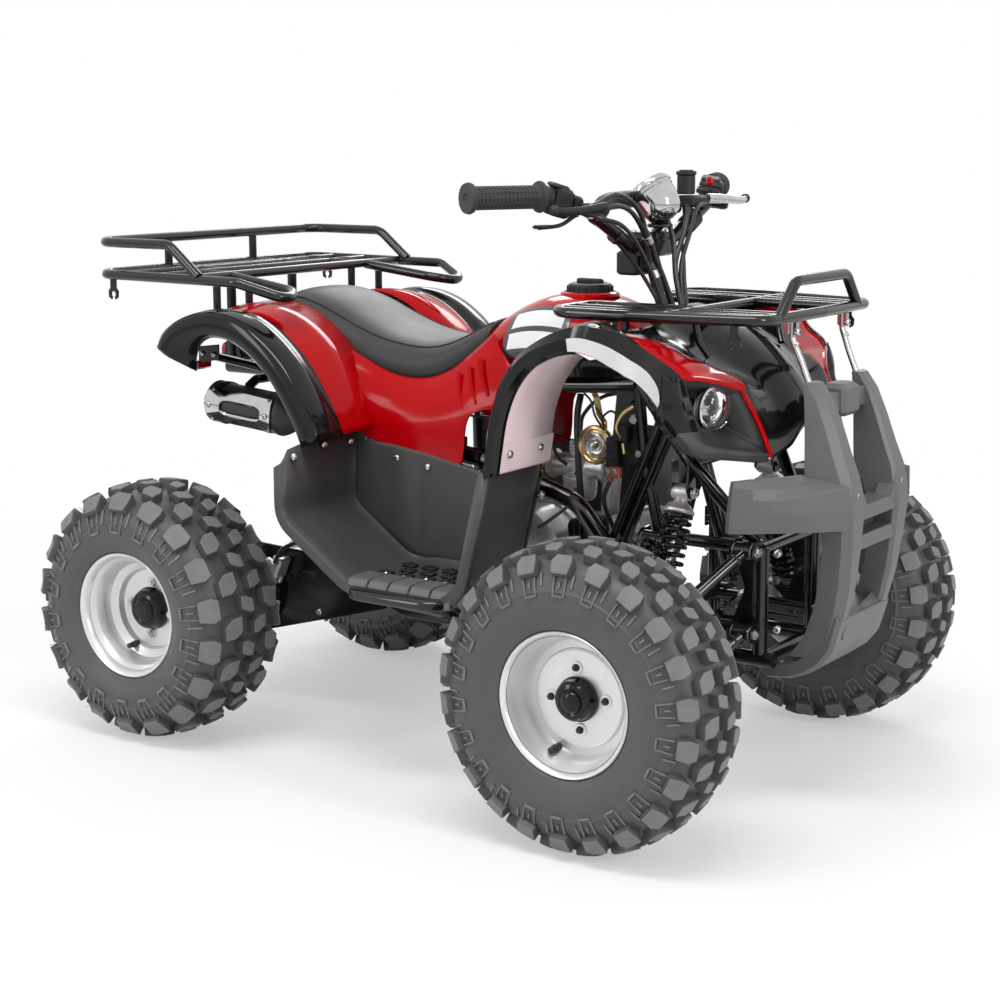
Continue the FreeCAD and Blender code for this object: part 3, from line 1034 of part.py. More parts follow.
def racks(guard):
    """The rear and front luggage racks of round bar; the front one stands on the bumper's uprights."""
    high = s.rear_rack_high
    back = -s.rear_rack_end_behind
    rail = [at(back, 0, high), at(back, s.rear_rack_out, high), at(-s.rear_rack_front_behind, s.rear_rack_out, high),
            at(-s.rear_ear_behind, s.rear_ear_out, s.rear_ear_high),
            at(-s.rear_rack_front_behind, s.rear_ear_out * 2 - s.rear_rack_out, high),
            at(-s.rear_rail_front_behind - s.rack_bend, s.rear_ear_out * 2 - s.rear_rack_out, high)]
    upper = [at(back, 0, s.rear_rail_high), at(back, s.rear_rack_out - s.rack_tube, s.rear_rail_high),
             at(-s.rear_rail_front_behind, s.rear_rack_out - s.rack_tube, s.rear_rail_high),
             at(-s.rear_rail_front_behind + s.rack_bend * 2, s.rear_rack_out, high)]
    half = [tube(rail, s.rack_tube, s.rack_bend), tube(upper, s.rack_tube, s.rack_bend),
            rod(at(back, s.rear_post_out, high), at(back, s.rear_post_out, s.rear_rail_high), s.rack_slat)]
    crosses = [rod(at(ahead, -s.rear_rack_out, high), at(ahead, s.rear_rack_out, high), s.rack_slat)
               for ahead in (back * 0.92, s.small_tube - s.seat_rail_end_behind, back * 0.72,
                             -s.rear_rail_front_behind, -s.rear_rack_front_behind - s.rack_bend)]
    node("rear_rack", solid_part("rear_rack", union(both_sides(union(half)) + crosses)))
    high = s.front_rack_high
    front = s.front_rack_front_ahead
    rail = [at(front, 0, high), at(front, s.front_rack_out, high),
            at(s.front_rack_rear_ahead, s.front_rack_out, high), at(s.front_rack_rear_ahead, s.front_rack_in, high),
            at(s.front_cross_ahead, s.front_rack_in, high)]
    middle = (s.front_rack_in + s.front_rack_out) / 2
    half = [tube(rail, s.rack_tube, s.rack_bend),
            rod(at(s.front_rack_rear_ahead, middle, high), at(front, middle, high), s.rack_slat),
            rod(at(s.front_cross_ahead + s.rack_tube, s.front_rack_in + s.rack_slat, high),
                at(front, s.front_rack_in + s.rack_slat, high), s.rack_slat)]
    cross = rod(at(s.front_cross_ahead, -s.front_rack_out, high), at(s.front_cross_ahead, s.front_rack_out, high),
                s.rack_slat + s.rest_clearance)
    hoop = tube([at(front, s.front_hoop_out, high), at(front - s.rack_tube, s.front_hoop_out, s.front_hoop_high),
                 at(front - s.rack_tube, -s.front_hoop_out, s.front_hoop_high), at(front, -s.front_hoop_out, high)],
                s.rack_tube - s.rest_clearance * 2, s.rack_bend)
    struts = [rod(at(front, hand * s.bumper_mid_out, high),
                  at(s.bumper_top_ahead - s.bumper_wall, hand * s.bumper_mid_out, s.bumper_top_high - s.bumper_wall),
                  s.rack_slat).cut(guard) for hand in (1, -1)]
    node("front_rack", solid_part("front_rack", union(both_sides(union(half)) + [cross, hoop] + struts)))


def bumper():
    """The moulded front bumper: two uprights, swept wings, a cross piece and a chin."""
    depth = s.bumper_wall * 3
    side = [at(s.bumper_top_ahead, s.bumper_post_in, s.bumper_top_high),
            at(s.bumper_front_ahead, s.bumper_post_in, s.bumper_face_high),
            at(s.bumper_chin_ahead, s.bumper_post_in, s.bumper_chin_high),
            at(s.bumper_foot_ahead, s.bumper_post_in, s.bumper_foot_high),
            at(s.bumper_foot_ahead, s.bumper_post_in, s.bumper_foot_high + s.bumper_wall),
            at(s.bumper_chin_ahead - depth, s.bumper_post_in, s.bumper_chin_high + s.bumper_wall * 2),
            at(s.bumper_front_ahead - depth, s.bumper_post_in, s.bumper_face_high),
            at(s.bumper_top_ahead - depth, s.bumper_post_in, s.bumper_top_high - s.bumper_wall)]
    post = slab(side, Y_AXIS, s.bumper_post_out - s.bumper_post_in)
    low = s.bumper_wing_low
    front = s.bumper_front_ahead - s.bumper_wall * 2
    plan = [at(front, s.bumper_post_in, low), at(front, s.bumper_post_out, low),
            at(s.bumper_corner_ahead, s.bumper_corner_out, low), at(s.bumper_wing_ahead, s.bumper_wing_out, low),
            at(s.bumper_wing_ahead - s.bumper_wall, s.bumper_wing_out - s.bumper_wall, low),
            at(s.bumper_corner_ahead - s.bumper_wall, s.bumper_corner_out - s.bumper_wall, low),
            at(front - s.bumper_wall * 2, s.bumper_post_in, low)]
    wing = slab(plan, Z_AXIS, s.bumper_wing_top - low)
    half = union([post, wing])
    bar = Part.makeBox(s.bumper_wall * 2, s.bumper_post_in * 2, depth,
                       at(s.bumper_bar_ahead, -s.bumper_post_in, s.bumper_bar_high))
    lip = Part.makeBox(s.bumper_wall * 2, s.bumper_post_in * 2, s.bumper_wall * 5,
                       at(front - s.bumper_wall * 2, -s.bumper_post_in, low))
    chin = slab([at(s.bumper_chin_ahead, -s.bumper_post_in, s.bumper_chin_high),
                 at(s.bumper_foot_ahead, -s.bumper_post_in, s.bumper_foot_high),
                 at(s.bumper_foot_ahead, -s.bumper_post_in, s.bumper_foot_high + s.bumper_wall),
                 at(s.bumper_chin_ahead - depth, -s.bumper_post_in, s.bumper_chin_high + s.bumper_wall * 2)],
                Y_AXIS, s.bumper_post_in * 2)
    shape = union(both_sides(half) + [bar, lip, chin])
    node("front_bumper", solid_part("front_bumper", shape))
    return shape


def write_out():
    """Checks every object and every sub-part, then writes each sub-part to its own file."""
    doc.recompute()
    for item in doc.Objects:
        if "Invalid" in item.State or "Error" in item.State:
            raise RuntimeError("%s did not build: %s" % (item.Label, item.State))
    os.makedirs("parts", exist_ok=True)
    for part in nodes:
        shape = part.Shape
        if shape.isNull() or not shape.isValid():
            raise RuntimeError("%s has no valid shape" % part.Label)
        shape.exportStep("parts/%s.step" % part.Label)
    print("%d sub-parts" % len(nodes))


def main():
    """Builds every sub-part, checks it and writes it out."""
    front_wheels()
    rear_wheels()
    knuckles()
    steering_column()
    tie_rods()
    handlebar()
    frame_tubes()
    frame_spine()
    suspension_arms()
    shocks()
    swingarm()
    drive_chain()
    guard_plate()
    engine()
    exhaust()
    horn()
    front_fenders()
    rear_fenders()
    bodywork()
    footwells()
    racks(bumper())
    write_out()


main()
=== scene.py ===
"""The looks of a small utility quad bike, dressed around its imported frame.

Lengths are written in millimetres, as on a drawing, and become metres where a mesh is made.
+X points forward, +Y to the rider's left and +Z up.
"""
from __future__ import annotations

import logging
import math
import random
from dataclasses import dataclass
from enum import Enum
from typing import Callable, Iterable, Sequence

import bpy
import numpy as np
from mathutils import Matrix, Vector

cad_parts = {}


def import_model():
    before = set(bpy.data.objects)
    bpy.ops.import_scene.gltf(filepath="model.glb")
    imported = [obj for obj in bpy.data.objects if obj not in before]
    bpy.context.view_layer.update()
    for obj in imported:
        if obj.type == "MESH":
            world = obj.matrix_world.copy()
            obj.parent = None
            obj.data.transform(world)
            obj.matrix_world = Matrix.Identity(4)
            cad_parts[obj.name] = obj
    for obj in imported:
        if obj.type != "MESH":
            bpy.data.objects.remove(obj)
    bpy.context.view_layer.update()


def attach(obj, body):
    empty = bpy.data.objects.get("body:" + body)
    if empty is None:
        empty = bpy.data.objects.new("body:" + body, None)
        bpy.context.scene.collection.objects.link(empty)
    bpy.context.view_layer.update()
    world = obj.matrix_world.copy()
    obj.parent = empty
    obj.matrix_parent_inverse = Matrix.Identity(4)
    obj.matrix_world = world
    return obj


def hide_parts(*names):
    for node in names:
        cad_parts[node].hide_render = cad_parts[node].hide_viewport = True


METRES = 0.001
TURN = 2 * math.pi
log = logging.getLogger("quad_bike")

# The two sides of the machine, and the points that several sub-assemblies share.
SIDES = (("left", 1), ("right", -1))
MIRROR = np.array((1, -1, 1), float)
REAR_AXLE = np.array((-507, 0, 232), float)
OUTPUT_SHAFT = np.array((-100, 0, 300), float)
STEERING_FOOT = np.array((465, 0, 365), float)
STEERING_TOP = np.array((303, 0, 883), float)
REAR_RIM_HALF, REAR_DISH = 87.0, 71.5
FRONT_RIM_HALF, FRONT_DISH = 70.5, 48.0

Point = Sequence[float]
Row = list[np.ndarray]


def add_node(tree: bpy.types.NodeTree, kind: str, inputs: dict[str | int, object] | None = None,
             **settings: object) -> bpy.types.Node:
    """Adds a shader node.

    Args:
        tree: the node tree that it goes into.
        kind: its type, without the prefix that all types share.
        inputs: for each input a fixed value or the socket that feeds it.
        settings: its other settings.

    Returns:
        The node.
    """
    made = tree.nodes.new("ShaderNode" + kind)
    for name, value in settings.items():
        setattr(made, name, value)
    feed(tree, made, inputs or {})
    return made


def feed(tree: bpy.types.NodeTree, node: bpy.types.Node, inputs: dict[str | int, object]) -> None:
    """Sets the inputs of a node.

    Args:
        tree: the node tree that it is in.
        node: the node.
        inputs: for each input a fixed value or the socket that feeds it.
    """
    for name, value in inputs.items():
        if isinstance(value, bpy.types.NodeSocket):
            tree.links.new(value, node.inputs[name])
        else:
            node.inputs[name].default_value = value


class Grain(Enum):
    """How the surface of a finish is broken up."""

    FINE = "fine"
    CELLS = "cells"
    BRUSHED = "brushed"


@dataclass(frozen=True)
class Finish:
    """A paint, plastic, metal or rubber: its colour, gloss and surface grain.

    Colours are linear. Grain sizes and mottle sizes are in millimetres.
    """

    name: str
    slot: str
    colour: tuple[float, float, float]
    shade: tuple[float, float, float]
    metal: float = 0.0
    rough: float = 0.5
    rough_spread: float = 0.08
    coat: float = 0.0
    sheen: float = 0.0
    clear: float = 0.0
    shine: float = 0.5
    mottle: float = 60.0
    grain: Grain = Grain.FINE
    grain_size: float = 1.2
    grain_depth: float = 0.05

    def material(self) -> bpy.types.Material:
        """The Blender material of this finish, made once and then shared.

        Returns:
            The material.
        """
        found = bpy.data.materials.get(self.name)
        if found is not None:
            return found
        made = bpy.data.materials.new(self.name)
        made.use_nodes = True
        tree = made.node_tree
        place = add_node(tree, "TexCoord").outputs["Object"]
        cloud = self._noise(tree, place, 1 / (self.mottle * METRES), 4)
        tint = add_node(tree, "Mix", data_type="RGBA")
        feed(tree, tint, {"A": (*self.colour, 1), "B": (*self.shade, 1), "Factor": cloud})
        gloss = add_node(tree, "MapRange", {"To Min": max(self.rough - self.rough_spread, 0.02),
                                            "To Max": min(self.rough + self.rough_spread, 1), "Value": cloud})
        bump = add_node(tree, "Bump", {"Strength": 0.6, "Distance": self.grain_depth * METRES,
                                       "Height": self._height(tree, place)})
        feed(tree, tree.nodes["Principled BSDF"], {
            "Metallic": self.metal, "Coat Weight": self.coat, "Coat Roughness": 0.03,
            "Sheen Weight": self.sheen, "Transmission Weight": self.clear, "Specular IOR Level": self.shine,
            "Base Color": tint.outputs["Result"], "Roughness": gloss.outputs["Result"],
            "Normal": bump.outputs["Normal"]})
        return made

    def _noise(self, tree: bpy.types.NodeTree, place: bpy.types.NodeSocket, scale: float,
               detail: float) -> bpy.types.NodeSocket:
        """A cloud of noise over the object's own coordinates."""
        return add_node(tree, "TexNoise", {"Scale": scale, "Detail": detail, "Vector": place}).outputs["Fac"]

    def _height(self, tree: bpy.types.NodeTree, place: bpy.types.NodeSocket) -> bpy.types.NodeSocket:
        """The bump pattern of the grain.

        Args:
            tree: the material's node tree.
            place: the object's own coordinates.

        Returns:
            The socket that gives the height.
        """
        scale = 1 / (self.grain_size * METRES)
        if self.grain is Grain.CELLS:
            return add_node(tree, "TexVoronoi", {"Scale": scale, "Vector": place}).outputs["Distance"]
        if self.grain is Grain.BRUSHED:
            stretch = add_node(tree, "Mapping", {"Scale": (0.05, 1, 1), "Vector": place})
            return self._noise(tree, stretch.outputs["Vector"], scale, 2)
        return self._noise(tree, place, scale, 3)


class Finishes:
    """Every finish of the machine."""

    RED = Finish("gloss_red_plastic", "red_plastic", (0.45, 0, 0.003), (0.35, 0, 0.002), rough=0.11,
                 rough_spread=0.03, coat=0.06, shine=0.12, mottle=240, grain_size=0.5, grain_depth=0.004)
    GLOSS_BLACK = Finish("gloss_black_plastic", "gloss_black", (0.004, 0.004, 0.004), (0.007, 0.007, 0.007),
                         rough=0.12, rough_spread=0.03, coat=0.15, shine=0.22, mottle=160, grain_size=0.5,
                         grain_depth=0.004)
    PINK = Finish("pale_underside", "red_plastic", (0.98, 0.86, 0.87), (0.96, 0.66, 0.70), rough=0.34,
                  rough_spread=0.06, mottle=210, grain_size=1.5, grain_depth=0.02)
    # Pale grey on the gloss black lip's lower front facet: a painted reflection of the bright floor, not a
    # colour of the part.
    PAINTED_LIP_REFLECTION = Finish("painted_lip_reflection", "gloss_black", (0.66, 0.66, 0.67), (0.50, 0.50, 0.51), rough=0.16,
                  rough_spread=0.04, coat=0.3, mottle=70, grain_size=1.5, grain_depth=0.02)
    MATTE_BLACK = Finish("matte_black_plastic", "black_plastic", (0.008, 0.008, 0.009), (0.014, 0.014, 0.015),
                         rough=0.50, rough_spread=0.07, shine=0.35, mottle=50, grain=Grain.CELLS,
                         grain_size=0.9, grain_depth=0.05)
    FOOT = Finish("charcoal_plastic", "black_plastic", (0.043, 0.043, 0.044), (0.062, 0.062, 0.063),
                  rough=0.42, rough_spread=0.07, shine=0.35, mottle=90, grain=Grain.CELLS, grain_size=1,
                  grain_depth=0.05)
    BUMPER = Finish("grey_moulded_plastic", "bumper_plastic", (0.088, 0.088, 0.089), (0.118, 0.118, 0.119),
                    rough=0.42, rough_spread=0.06, mottle=80, grain=Grain.CELLS, grain_size=0.8,
                    grain_depth=0.06)
    VINYL = Finish("seat_vinyl", "vinyl", (0.022, 0.022, 0.023), (0.030, 0.030, 0.031), rough=0.46,
                   rough_spread=0.06, sheen=0.06, shine=0.4, mottle=40, grain=Grain.CELLS, grain_size=1.6,
                   grain_depth=0.12)
    THREAD = Finish("seat_thread", "vinyl", (0.018, 0.018, 0.018), (0.026, 0.026, 0.026), rough=0.8,
                    grain=Grain.BRUSHED, grain_size=0.8, grain_depth=0.1)
    TUBE = Finish("black_powder_coat", "frame_black", (0.005, 0.005, 0.005), (0.009, 0.009, 0.009),
                  rough=0.20, rough_spread=0.05, coat=0.3, shine=0.35, mottle=30, grain_size=1.6,
                  grain_depth=0.04)
    RUBBER = Finish("moulded_rubber", "tyre_rubber", (0.052, 0.051, 0.051), (0.078, 0.077, 0.077), rough=0.46,
                    rough_spread=0.09, sheen=0.05, mottle=45, grain_size=1.4, grain_depth=0.10)
    # A lighter copy of the tyre rubber for the lug tops: painted light on the faces that catch the lamps.
    LIT_LUG_TOPS = Finish("lug_rubber_painted_light", "tyre_rubber", (0.120, 0.118, 0.116), (0.185, 0.182, 0.178), rough=0.60,
                  rough_spread=0.08, sheen=0.08, mottle=18, grain_size=1, grain_depth=0.14)
    SILVER = Finish("silver_rim_paint", "rim_silver", (0.76, 0.76, 0.76), (0.64, 0.64, 0.65), metal=0.6,
                    rough=0.30, rough_spread=0.07, mottle=70, grain_size=0.7, grain_depth=0.02)
    STEEL = Finish("plated_steel", "steel", (0.62, 0.61, 0.59), (0.45, 0.44, 0.42), metal=1, rough=0.26,
                   rough_spread=0.09, mottle=14, grain_size=0.8, grain_depth=0.03)
    CHROME = Finish("chrome_plate", "steel", (0.66, 0.65, 0.64), (0.44, 0.43, 0.42), metal=1, rough=0.07,
                    rough_spread=0.03, mottle=22, grain_size=1, grain_depth=0.004)
    ALLOY = Finish("cast_alloy", "engine_alloy", (0.74, 0.73, 0.72), (0.48, 0.47, 0.46), metal=0.85,
                   rough=0.44, rough_spread=0.10, mottle=16, grain_size=1.4, grain_depth=0.12)
    ENGINE_BLACK = Finish("engine_black", "engine_alloy", (0.012, 0.012, 0.012), (0.022, 0.022, 0.022),
                          rough=0.48, rough_spread=0.08, mottle=22, grain_size=1.4, grain_depth=0.10)
    BRASS = Finish("yellow_zinc", "brass_yellow", (0.66, 0.46, 0.17), (0.50, 0.36, 0.20), metal=1, rough=0.24,
                   rough_spread=0.08, mottle=20, grain_size=0.8, grain_depth=0.02)
    COPPER = Finish("copper_terminal", "brass_yellow", (0.55, 0.17, 0.10), (0.40, 0.12, 0.08), metal=0.8,
                    rough=0.38, rough_spread=0.1, mottle=9, grain_size=0.8, grain_depth=0.03)
    GRIP = Finish("ribbed_rubber", "grip_rubber", (0.014, 0.014, 0.014), (0.022, 0.022, 0.022), rough=0.68,
                  rough_spread=0.07, sheen=0.08, mottle=20, grain=Grain.CELLS, grain_size=0.8,
                  grain_depth=0.08)
    HOSE = Finish("cable_sheath", "grip_rubber", (0.010, 0.010, 0.010), (0.016, 0.016, 0.016), rough=0.38,
                  rough_spread=0.07, mottle=30, grain=Grain.BRUSHED, grain_size=0.9, grain_depth=0.04)
    LENS = Finish("clear_lens", "lamp_lens", (0.99, 0.99, 1), (0.97, 0.97, 0.98), rough=0.03,
                  rough_spread=0.01, clear=1, shine=0.3, mottle=90, grain_size=4, grain_depth=0.02)
    # Near white and barely metallic: a diffuse colour that paints in the bright reflections of the silvered
    # reflector.
    MIRROR = Finish("lamp_reflector", "lamp_lens", (0.98, 0.98, 0.98), (0.86, 0.87, 0.88), metal=0.15,
                    rough=0.24, rough_spread=0.08, mottle=8, grain=Grain.CELLS, grain_size=9, grain_depth=2.2)
    DARK_CHROME = Finish("heat_dark_chrome", "suspension_black", (0.10, 0.09, 0.09), (0.05, 0.045, 0.045),
                         metal=1, rough=0.22, rough_spread=0.08, mottle=40, grain_size=0.9, grain_depth=0.02)
    BLUE_LEAD = Finish("blue_lead", "grip_rubber", (0.01, 0.05, 0.12), (0.01, 0.03, 0.08), rough=0.4,
                       mottle=20, grain_size=0.8, grain_depth=0.02)
    RED_LENS = Finish("red_lens", "tail_red", (0.50, 0.008, 0.006), (0.36, 0.004, 0.004), rough=0.10,
                      rough_spread=0.03, coat=0.8, mottle=24, grain=Grain.CELLS, grain_size=4,
                      grain_depth=0.3)
    WHITE = Finish("white_film", "red_plastic", (0.78, 0.78, 0.78), (0.72, 0.72, 0.72), rough=0.24,
                   rough_spread=0.04, coat=0.7, mottle=90, grain_size=0.6, grain_depth=0.006)
    DARK_FILM = Finish("dark_film", "gloss_black", (0.020, 0.020, 0.021), (0.030, 0.030, 0.031), rough=0.26,
                       rough_spread=0.05, coat=0.6, mottle=50, grain_size=0.6, grain_depth=0.01)


def vec(*numbers: float) -> np.ndarray:
    """A point or direction in millimetres."""
    return np.array(numbers, float)


def unit(way: np.ndarray) -> np.ndarray:
    """A direction one long."""
    return way / max(float(np.linalg.norm(way)), 1e-9)


def bent(points: Sequence[Point], radius: float, steps: int = 7) -> Row:
    """A bent bar's centre line: straight runs joined by even arcs.

    Args:
        points: the corners of the bar's path.
        radius: the bend radius at every corner, smaller where a run is short.
        steps: how many short pieces each arc has.

    Returns:
        The points of the centre line.
    """
    corners = [np.array(p, float) for p in points]
    line = [corners[0]]
    for before, here, after in zip(corners, corners[1:], corners[2:]):
        back, ahead = unit(before - here), unit(after - here)
        turn = math.pi - math.acos(float(np.clip(back @ ahead, -1, 1)))
        if turn < 0.02:
            line.append(here)
            continue
        room = 0.49 * min(np.linalg.norm(before - here), np.linalg.norm(after - here))
        reach = min(radius * math.tan(turn / 2), room)
        size = reach / math.tan(turn / 2)
        middle = here + unit(back + ahead) * size / math.cos(turn / 2)
        first, last = here + back * reach - middle, here + ahead * reach - middle
        for step in range(steps + 1):
            share = step / steps
            spoke = first * math.sin((1 - share) * turn) + last * math.sin(share * turn)
            line.append(middle + spoke / math.sin(turn))
    line.append(corners[-1])
    return line


def flowing(points: Sequence[Point], steps: int = 6, sharp: Iterable[int] = ()) -> Row:
    """A smooth line through every point, broken at the sharp ones.

    Args:
        points: what the line passes through.
        steps: how many pieces each run is cut into.
        sharp: the indexes of points where the line keeps a crease.

    Returns:
        The points of the line.
    """
    given = [np.array(p, float) for p in points]
    breaks = set(sharp)
    line: Row = []
    for index in range(len(given) - 1):
        start, end = given[index], given[index + 1]
        before = given[index - 1] if index > 0 and index not in breaks else start * 2 - end
        after = given[index + 2] if index + 2 < len(given) and index + 1 not in breaks else end * 2 - start
        for step in range(steps):
            t = step / steps
            line.append(0.5 * (2 * start + (end - before) * t + (2 * before - 5 * start + 4 * end - after)
                               * t ** 2 + (3 * start - before - 3 * end + after) * t ** 3))
    line.append(given[-1])
    return line


def spokes(count: int, start: float = 0.0) -> Row:
    """Directions spread evenly about the Y axis.

    Args:
        count: how many there are.
        start: the angle of the first one, in radians.

    Returns:
        The directions, each one long.
    """
    turns = [start + TURN * k / count for k in range(count)]
    return [vec(math.cos(turn), 0, math.sin(turn)) for turn in turns]


def crossed(rows: Iterable[Sequence[np.ndarray]]) -> list[Row]:
    """The columns of some rows."""
    return [list(line) for line in zip(*rows)]


def woven(rows: Iterable[Sequence[Point]], across: int, down: int, sharp: Iterable[int] = ()) -> list[Row]:
    """A fine, smooth grid through coarse rows of points.

    Args:
        rows: rows with the same number of points.
        across: how many pieces each step along a row is cut into.
        down: how many pieces the way from row to row is cut into.
        sharp: the columns that keep a crease.

    Returns:
        The rows of the grid.
    """
    smooth = [flowing(row, across, sharp) for row in rows]
    return crossed(flowing(column, down) for column in crossed(smooth))


def whole(half: Iterable[Point]) -> Row:
    """A row from right to left, made of its left half, which starts in the middle."""
    left = [vec(*p) for p in half]
    return [p * MIRROR for p in reversed(left[1:])] + left


class Shape:
    """Points and faces of a piece as it is put together; each face has a mark, the number of its finish."""

    def __init__(self) -> None:
        """An empty shape."""
        self.points: list[np.ndarray] = []
        self.faces: list[tuple[int, ...]] = []
        self.marks: list[int] = []

    def add(self, points: Iterable[Point], faces: Iterable[Sequence[int]], mark: int = 0) -> Shape:
        """Adds points and the faces between them.

        Args:
            points: the new points.
            faces: the faces, as indexes of those points.
            mark: the number of their finish.

        Returns:
            This shape.
        """
        start = len(self.points)
        self.points.extend(np.array(p, float) for p in points)
        for face in faces:
            self.faces.append(tuple(start + corner for corner in face))
            self.marks.append(mark)
        return self

    def join(self, other: Shape) -> Shape:
        """Adds another shape's points and faces, with their marks.

        Args:
            other: the shape that is added.

        Returns:
            This shape.
        """
        start = len(self.points)
        self.points.extend(other.points)
        self.faces.extend(tuple(start + corner for corner in face) for face in other.faces)
        self.marks.extend(other.marks)
        return self

    def mirror(self) -> Shape:
        """The same shape on the other side of the middle plane.

        Returns:
            The mirror image, as a new shape.
        """
        twin = Shape()
        twin.points = [p * MIRROR for p in self.points]
        twin.faces = [tuple(reversed(face)) for face in self.faces]
        twin.marks = list(self.marks)
        return twin

    def on(self, side: int) -> Shape:
        """This shape for the left, side 1, and its mirror image for the right, side -1."""
        return self if side > 0 else self.mirror()

    def both(self) -> Shape:
        """This shape with its mirror image."""
        return self.join(self.mirror())

    def moved(self, offset: Point) -> Shape:
        """Moves every point so far."""
        self.points = [p + np.array(offset, float) for p in self.points]
        return self

    def rows(self, rows: Sequence[Row], mark: int = 0, ring: bool = False, caps: bool = False,
             marks: Callable[[int, int], int] | None = None) -> Shape:
        """A skin over rows of points.

        Args:
            rows: rows with the same number of points.
            mark: the finish of all its faces, where marks gives none.
            ring: whether each row closes on itself.
            caps: whether the first and last rows are filled.
            marks: the finish of the face at a row and a column.

        Returns:
            This shape.
        """
        count = len(rows[0])
        start = len(self.points)
        for row in rows:
            self.points.extend(np.array(p, float) for p in row)
        span = count if ring else count - 1
        for down in range(len(rows) - 1):
            for across in range(span):
                beside = (across + 1) % count
                upper, lower = start + down * count, start + (down + 1) * count
                self.faces.append((upper + across, upper + beside, lower + beside, lower + across))
                self.marks.append(marks(down, across) if marks else mark)
        if caps:
            last = start + (len(rows) - 1) * count
            self.faces.append(tuple(reversed(range(start, start + count))))
            self.faces.append(tuple(range(last, last + count)))
            self.marks.extend([mark, mark])
        return self

    def skin(self, grid: list[Row], marks: Callable[[int, int], int] | None = None) -> Shape:
        """A skin over rows of points, its first and last row closed by a fan about their middles.

        Args:
            grid: the rows.
            marks: the finish of the face at a row and a column.

        Returns:
            This shape.
        """
        self.rows(grid, marks=marks)
        for row, flip in ((grid[0], False), (grid[-1], True)):
            count = len(row)
            fan = [(k, k + 1, count) if flip else (k + 1, k, count) for k in range(count - 1)]
            self.add([*row, sum(row) / count], fan)
        return self

    def tube(self, line: Sequence[Point], radius: float | Sequence[float], mark: int = 0, sides: int = 14,
             flat: float = 1.0) -> Shape:
        """A round bar along a line of points.

        Args:
            line: the points of its middle line.
            radius: one radius, or one for each point.
            mark: the number of its finish.
            sides: how many sides it has.
            flat: how high it is in proportion to its width.

        Returns:
            This shape.
        """
        path = [np.array(p, float) for p in line]
        radii = list(radius) if isinstance(radius, (list, tuple)) else [radius] * len(path)
        way = unit(path[1] - path[0])
        side = unit(np.cross(way, vec(0, 0, 1) if abs(way[2]) < 0.9 else vec(1, 0, 0)))
        rows = []
        for index, centre in enumerate(path):
            ahead = unit(path[min(index + 1, len(path) - 1)] - path[max(index - 1, 0)])
            side = unit(side - ahead * float(side @ ahead))
            rise = np.cross(ahead, side)
            rows.append([centre + (side * math.cos(TURN * k / sides) + rise * math.sin(TURN * k / sides)
                                   * flat) * radii[index] for k in range(sides)])
        return self.rows(rows, mark, ring=True, caps=True)

    def bar(self, start: Point, end: Point, radius: float, mark: int = 0, sides: int = 16,
            edge: float = 0.0) -> Shape:
        """A straight round bar, with an eased edge at both ends.

        Args:
            start: the middle of one end.
            end: the middle of the other end.
            radius: its radius.
            mark: the number of its finish.
            sides: how many sides it has.
            edge: how far its ends are eased.

        Returns:
            This shape.
        """
        first, last = np.array(start, float), np.array(end, float)
        if edge <= 0:
            return self.tube([first, last], radius, mark, sides)
        way = unit(last - first) * edge
        return self.tube([first, first + way, last - way, last],
                         [radius - edge, radius, radius, radius - edge], mark, sides)

    def turned(self, outline: Sequence[tuple[float, float]], centre: Point = (0, 0, 0),
               axis: Point = (0, 1, 0), mark: int = 0, steps: int = 48) -> Shape:
        """A shape turned about an axis.

        Args:
            outline: the points (radius, distance along the axis).
            centre: where the axis starts.
            axis: the way of the axis.
            mark: the number of its finish.
            steps: how many sides it has.

        Returns:
            This shape.
        """
        way = unit(np.array(axis, float))
        side = unit(np.cross(way, vec(0, 0, 1) if abs(way[2]) < 0.9 else vec(1, 0, 0)))
        rise = np.cross(side, way)
        rows = [[np.array(centre, float) + way * along + (side * math.cos(TURN * k / steps)
                 + rise * math.sin(TURN * k / steps)) * max(radius, 0.01) for k in range(steps)]
                for radius, along in outline]
        return self.rows(rows, mark, ring=True)

    def block(self, centre: Point, sides: Point, mark: int = 0, ease: float = 1.0,
              turn: Matrix | None = None, taper: float = 1.0) -> Shape:
        """A box with eased edges.

        Args:
            centre: its middle.
            sides: its length, width and height.
            mark: the number of its finish.
            ease: how far its edges are eased.
            turn: how it is turned about its middle.
            taper: how wide its top is in proportion to its foot.

        Returns:
            This shape.
        """
        half = np.array(sides, float) / 2
        ease = min(ease, float(half.min()) * 0.9)
        grid = np.array(turn.to_3x3()) if turn is not None else np.eye(3)
        rows = []
        for high, shrink in ((-half[2], ease), (-half[2] + ease, 0), (half[2] - ease, 0), (half[2], ease)):
            slim = taper if high > 0 else 1
            x, y = (half[0] - shrink) * slim, (half[1] - shrink) * slim
            cut = min(ease, x * 0.8, y * 0.8)
            ring = [(x, -y + cut), (x, y - cut), (x - cut, y), (cut - x, y), (-x, y - cut), (-x, cut - y),
                    (cut - x, -y), (x - cut, -y)]
            rows.append([np.array(centre, float) + grid @ vec(px, py, high) for px, py in ring])
        return self.rows(rows, mark, ring=True, caps=True)

    def plate(self, outline: Sequence[Point], depth: Point, mark: int = 0) -> Shape:
        """A flat plate of an outline, as thick as depth."""
        ring = [np.array(p, float) for p in outline]
        return self.rows([ring, [p + np.array(depth, float) for p in ring]], mark, ring=True, caps=True)

    def screw(self, head: Point, way: Point, size: float = 6.0, mark: int = 0) -> Shape:
        """A domed button-head screw with a socket.

        Args:
            head: the middle of the head's foot.
            way: the way that the head points.
            size: the head's radius.
            mark: the number of its finish.

        Returns:
            This shape.
        """
        dome = [(0, size * 0.22), (size * 0.42, size * 0.22), (size * 0.46, size * 0.62),
                (size * 0.7, size * 0.55), (size * 0.94, size * 0.3), (size, 0), (size, -size * 0.3)]
        return self.turned(list(reversed(dome)), head, way, mark, steps=12)

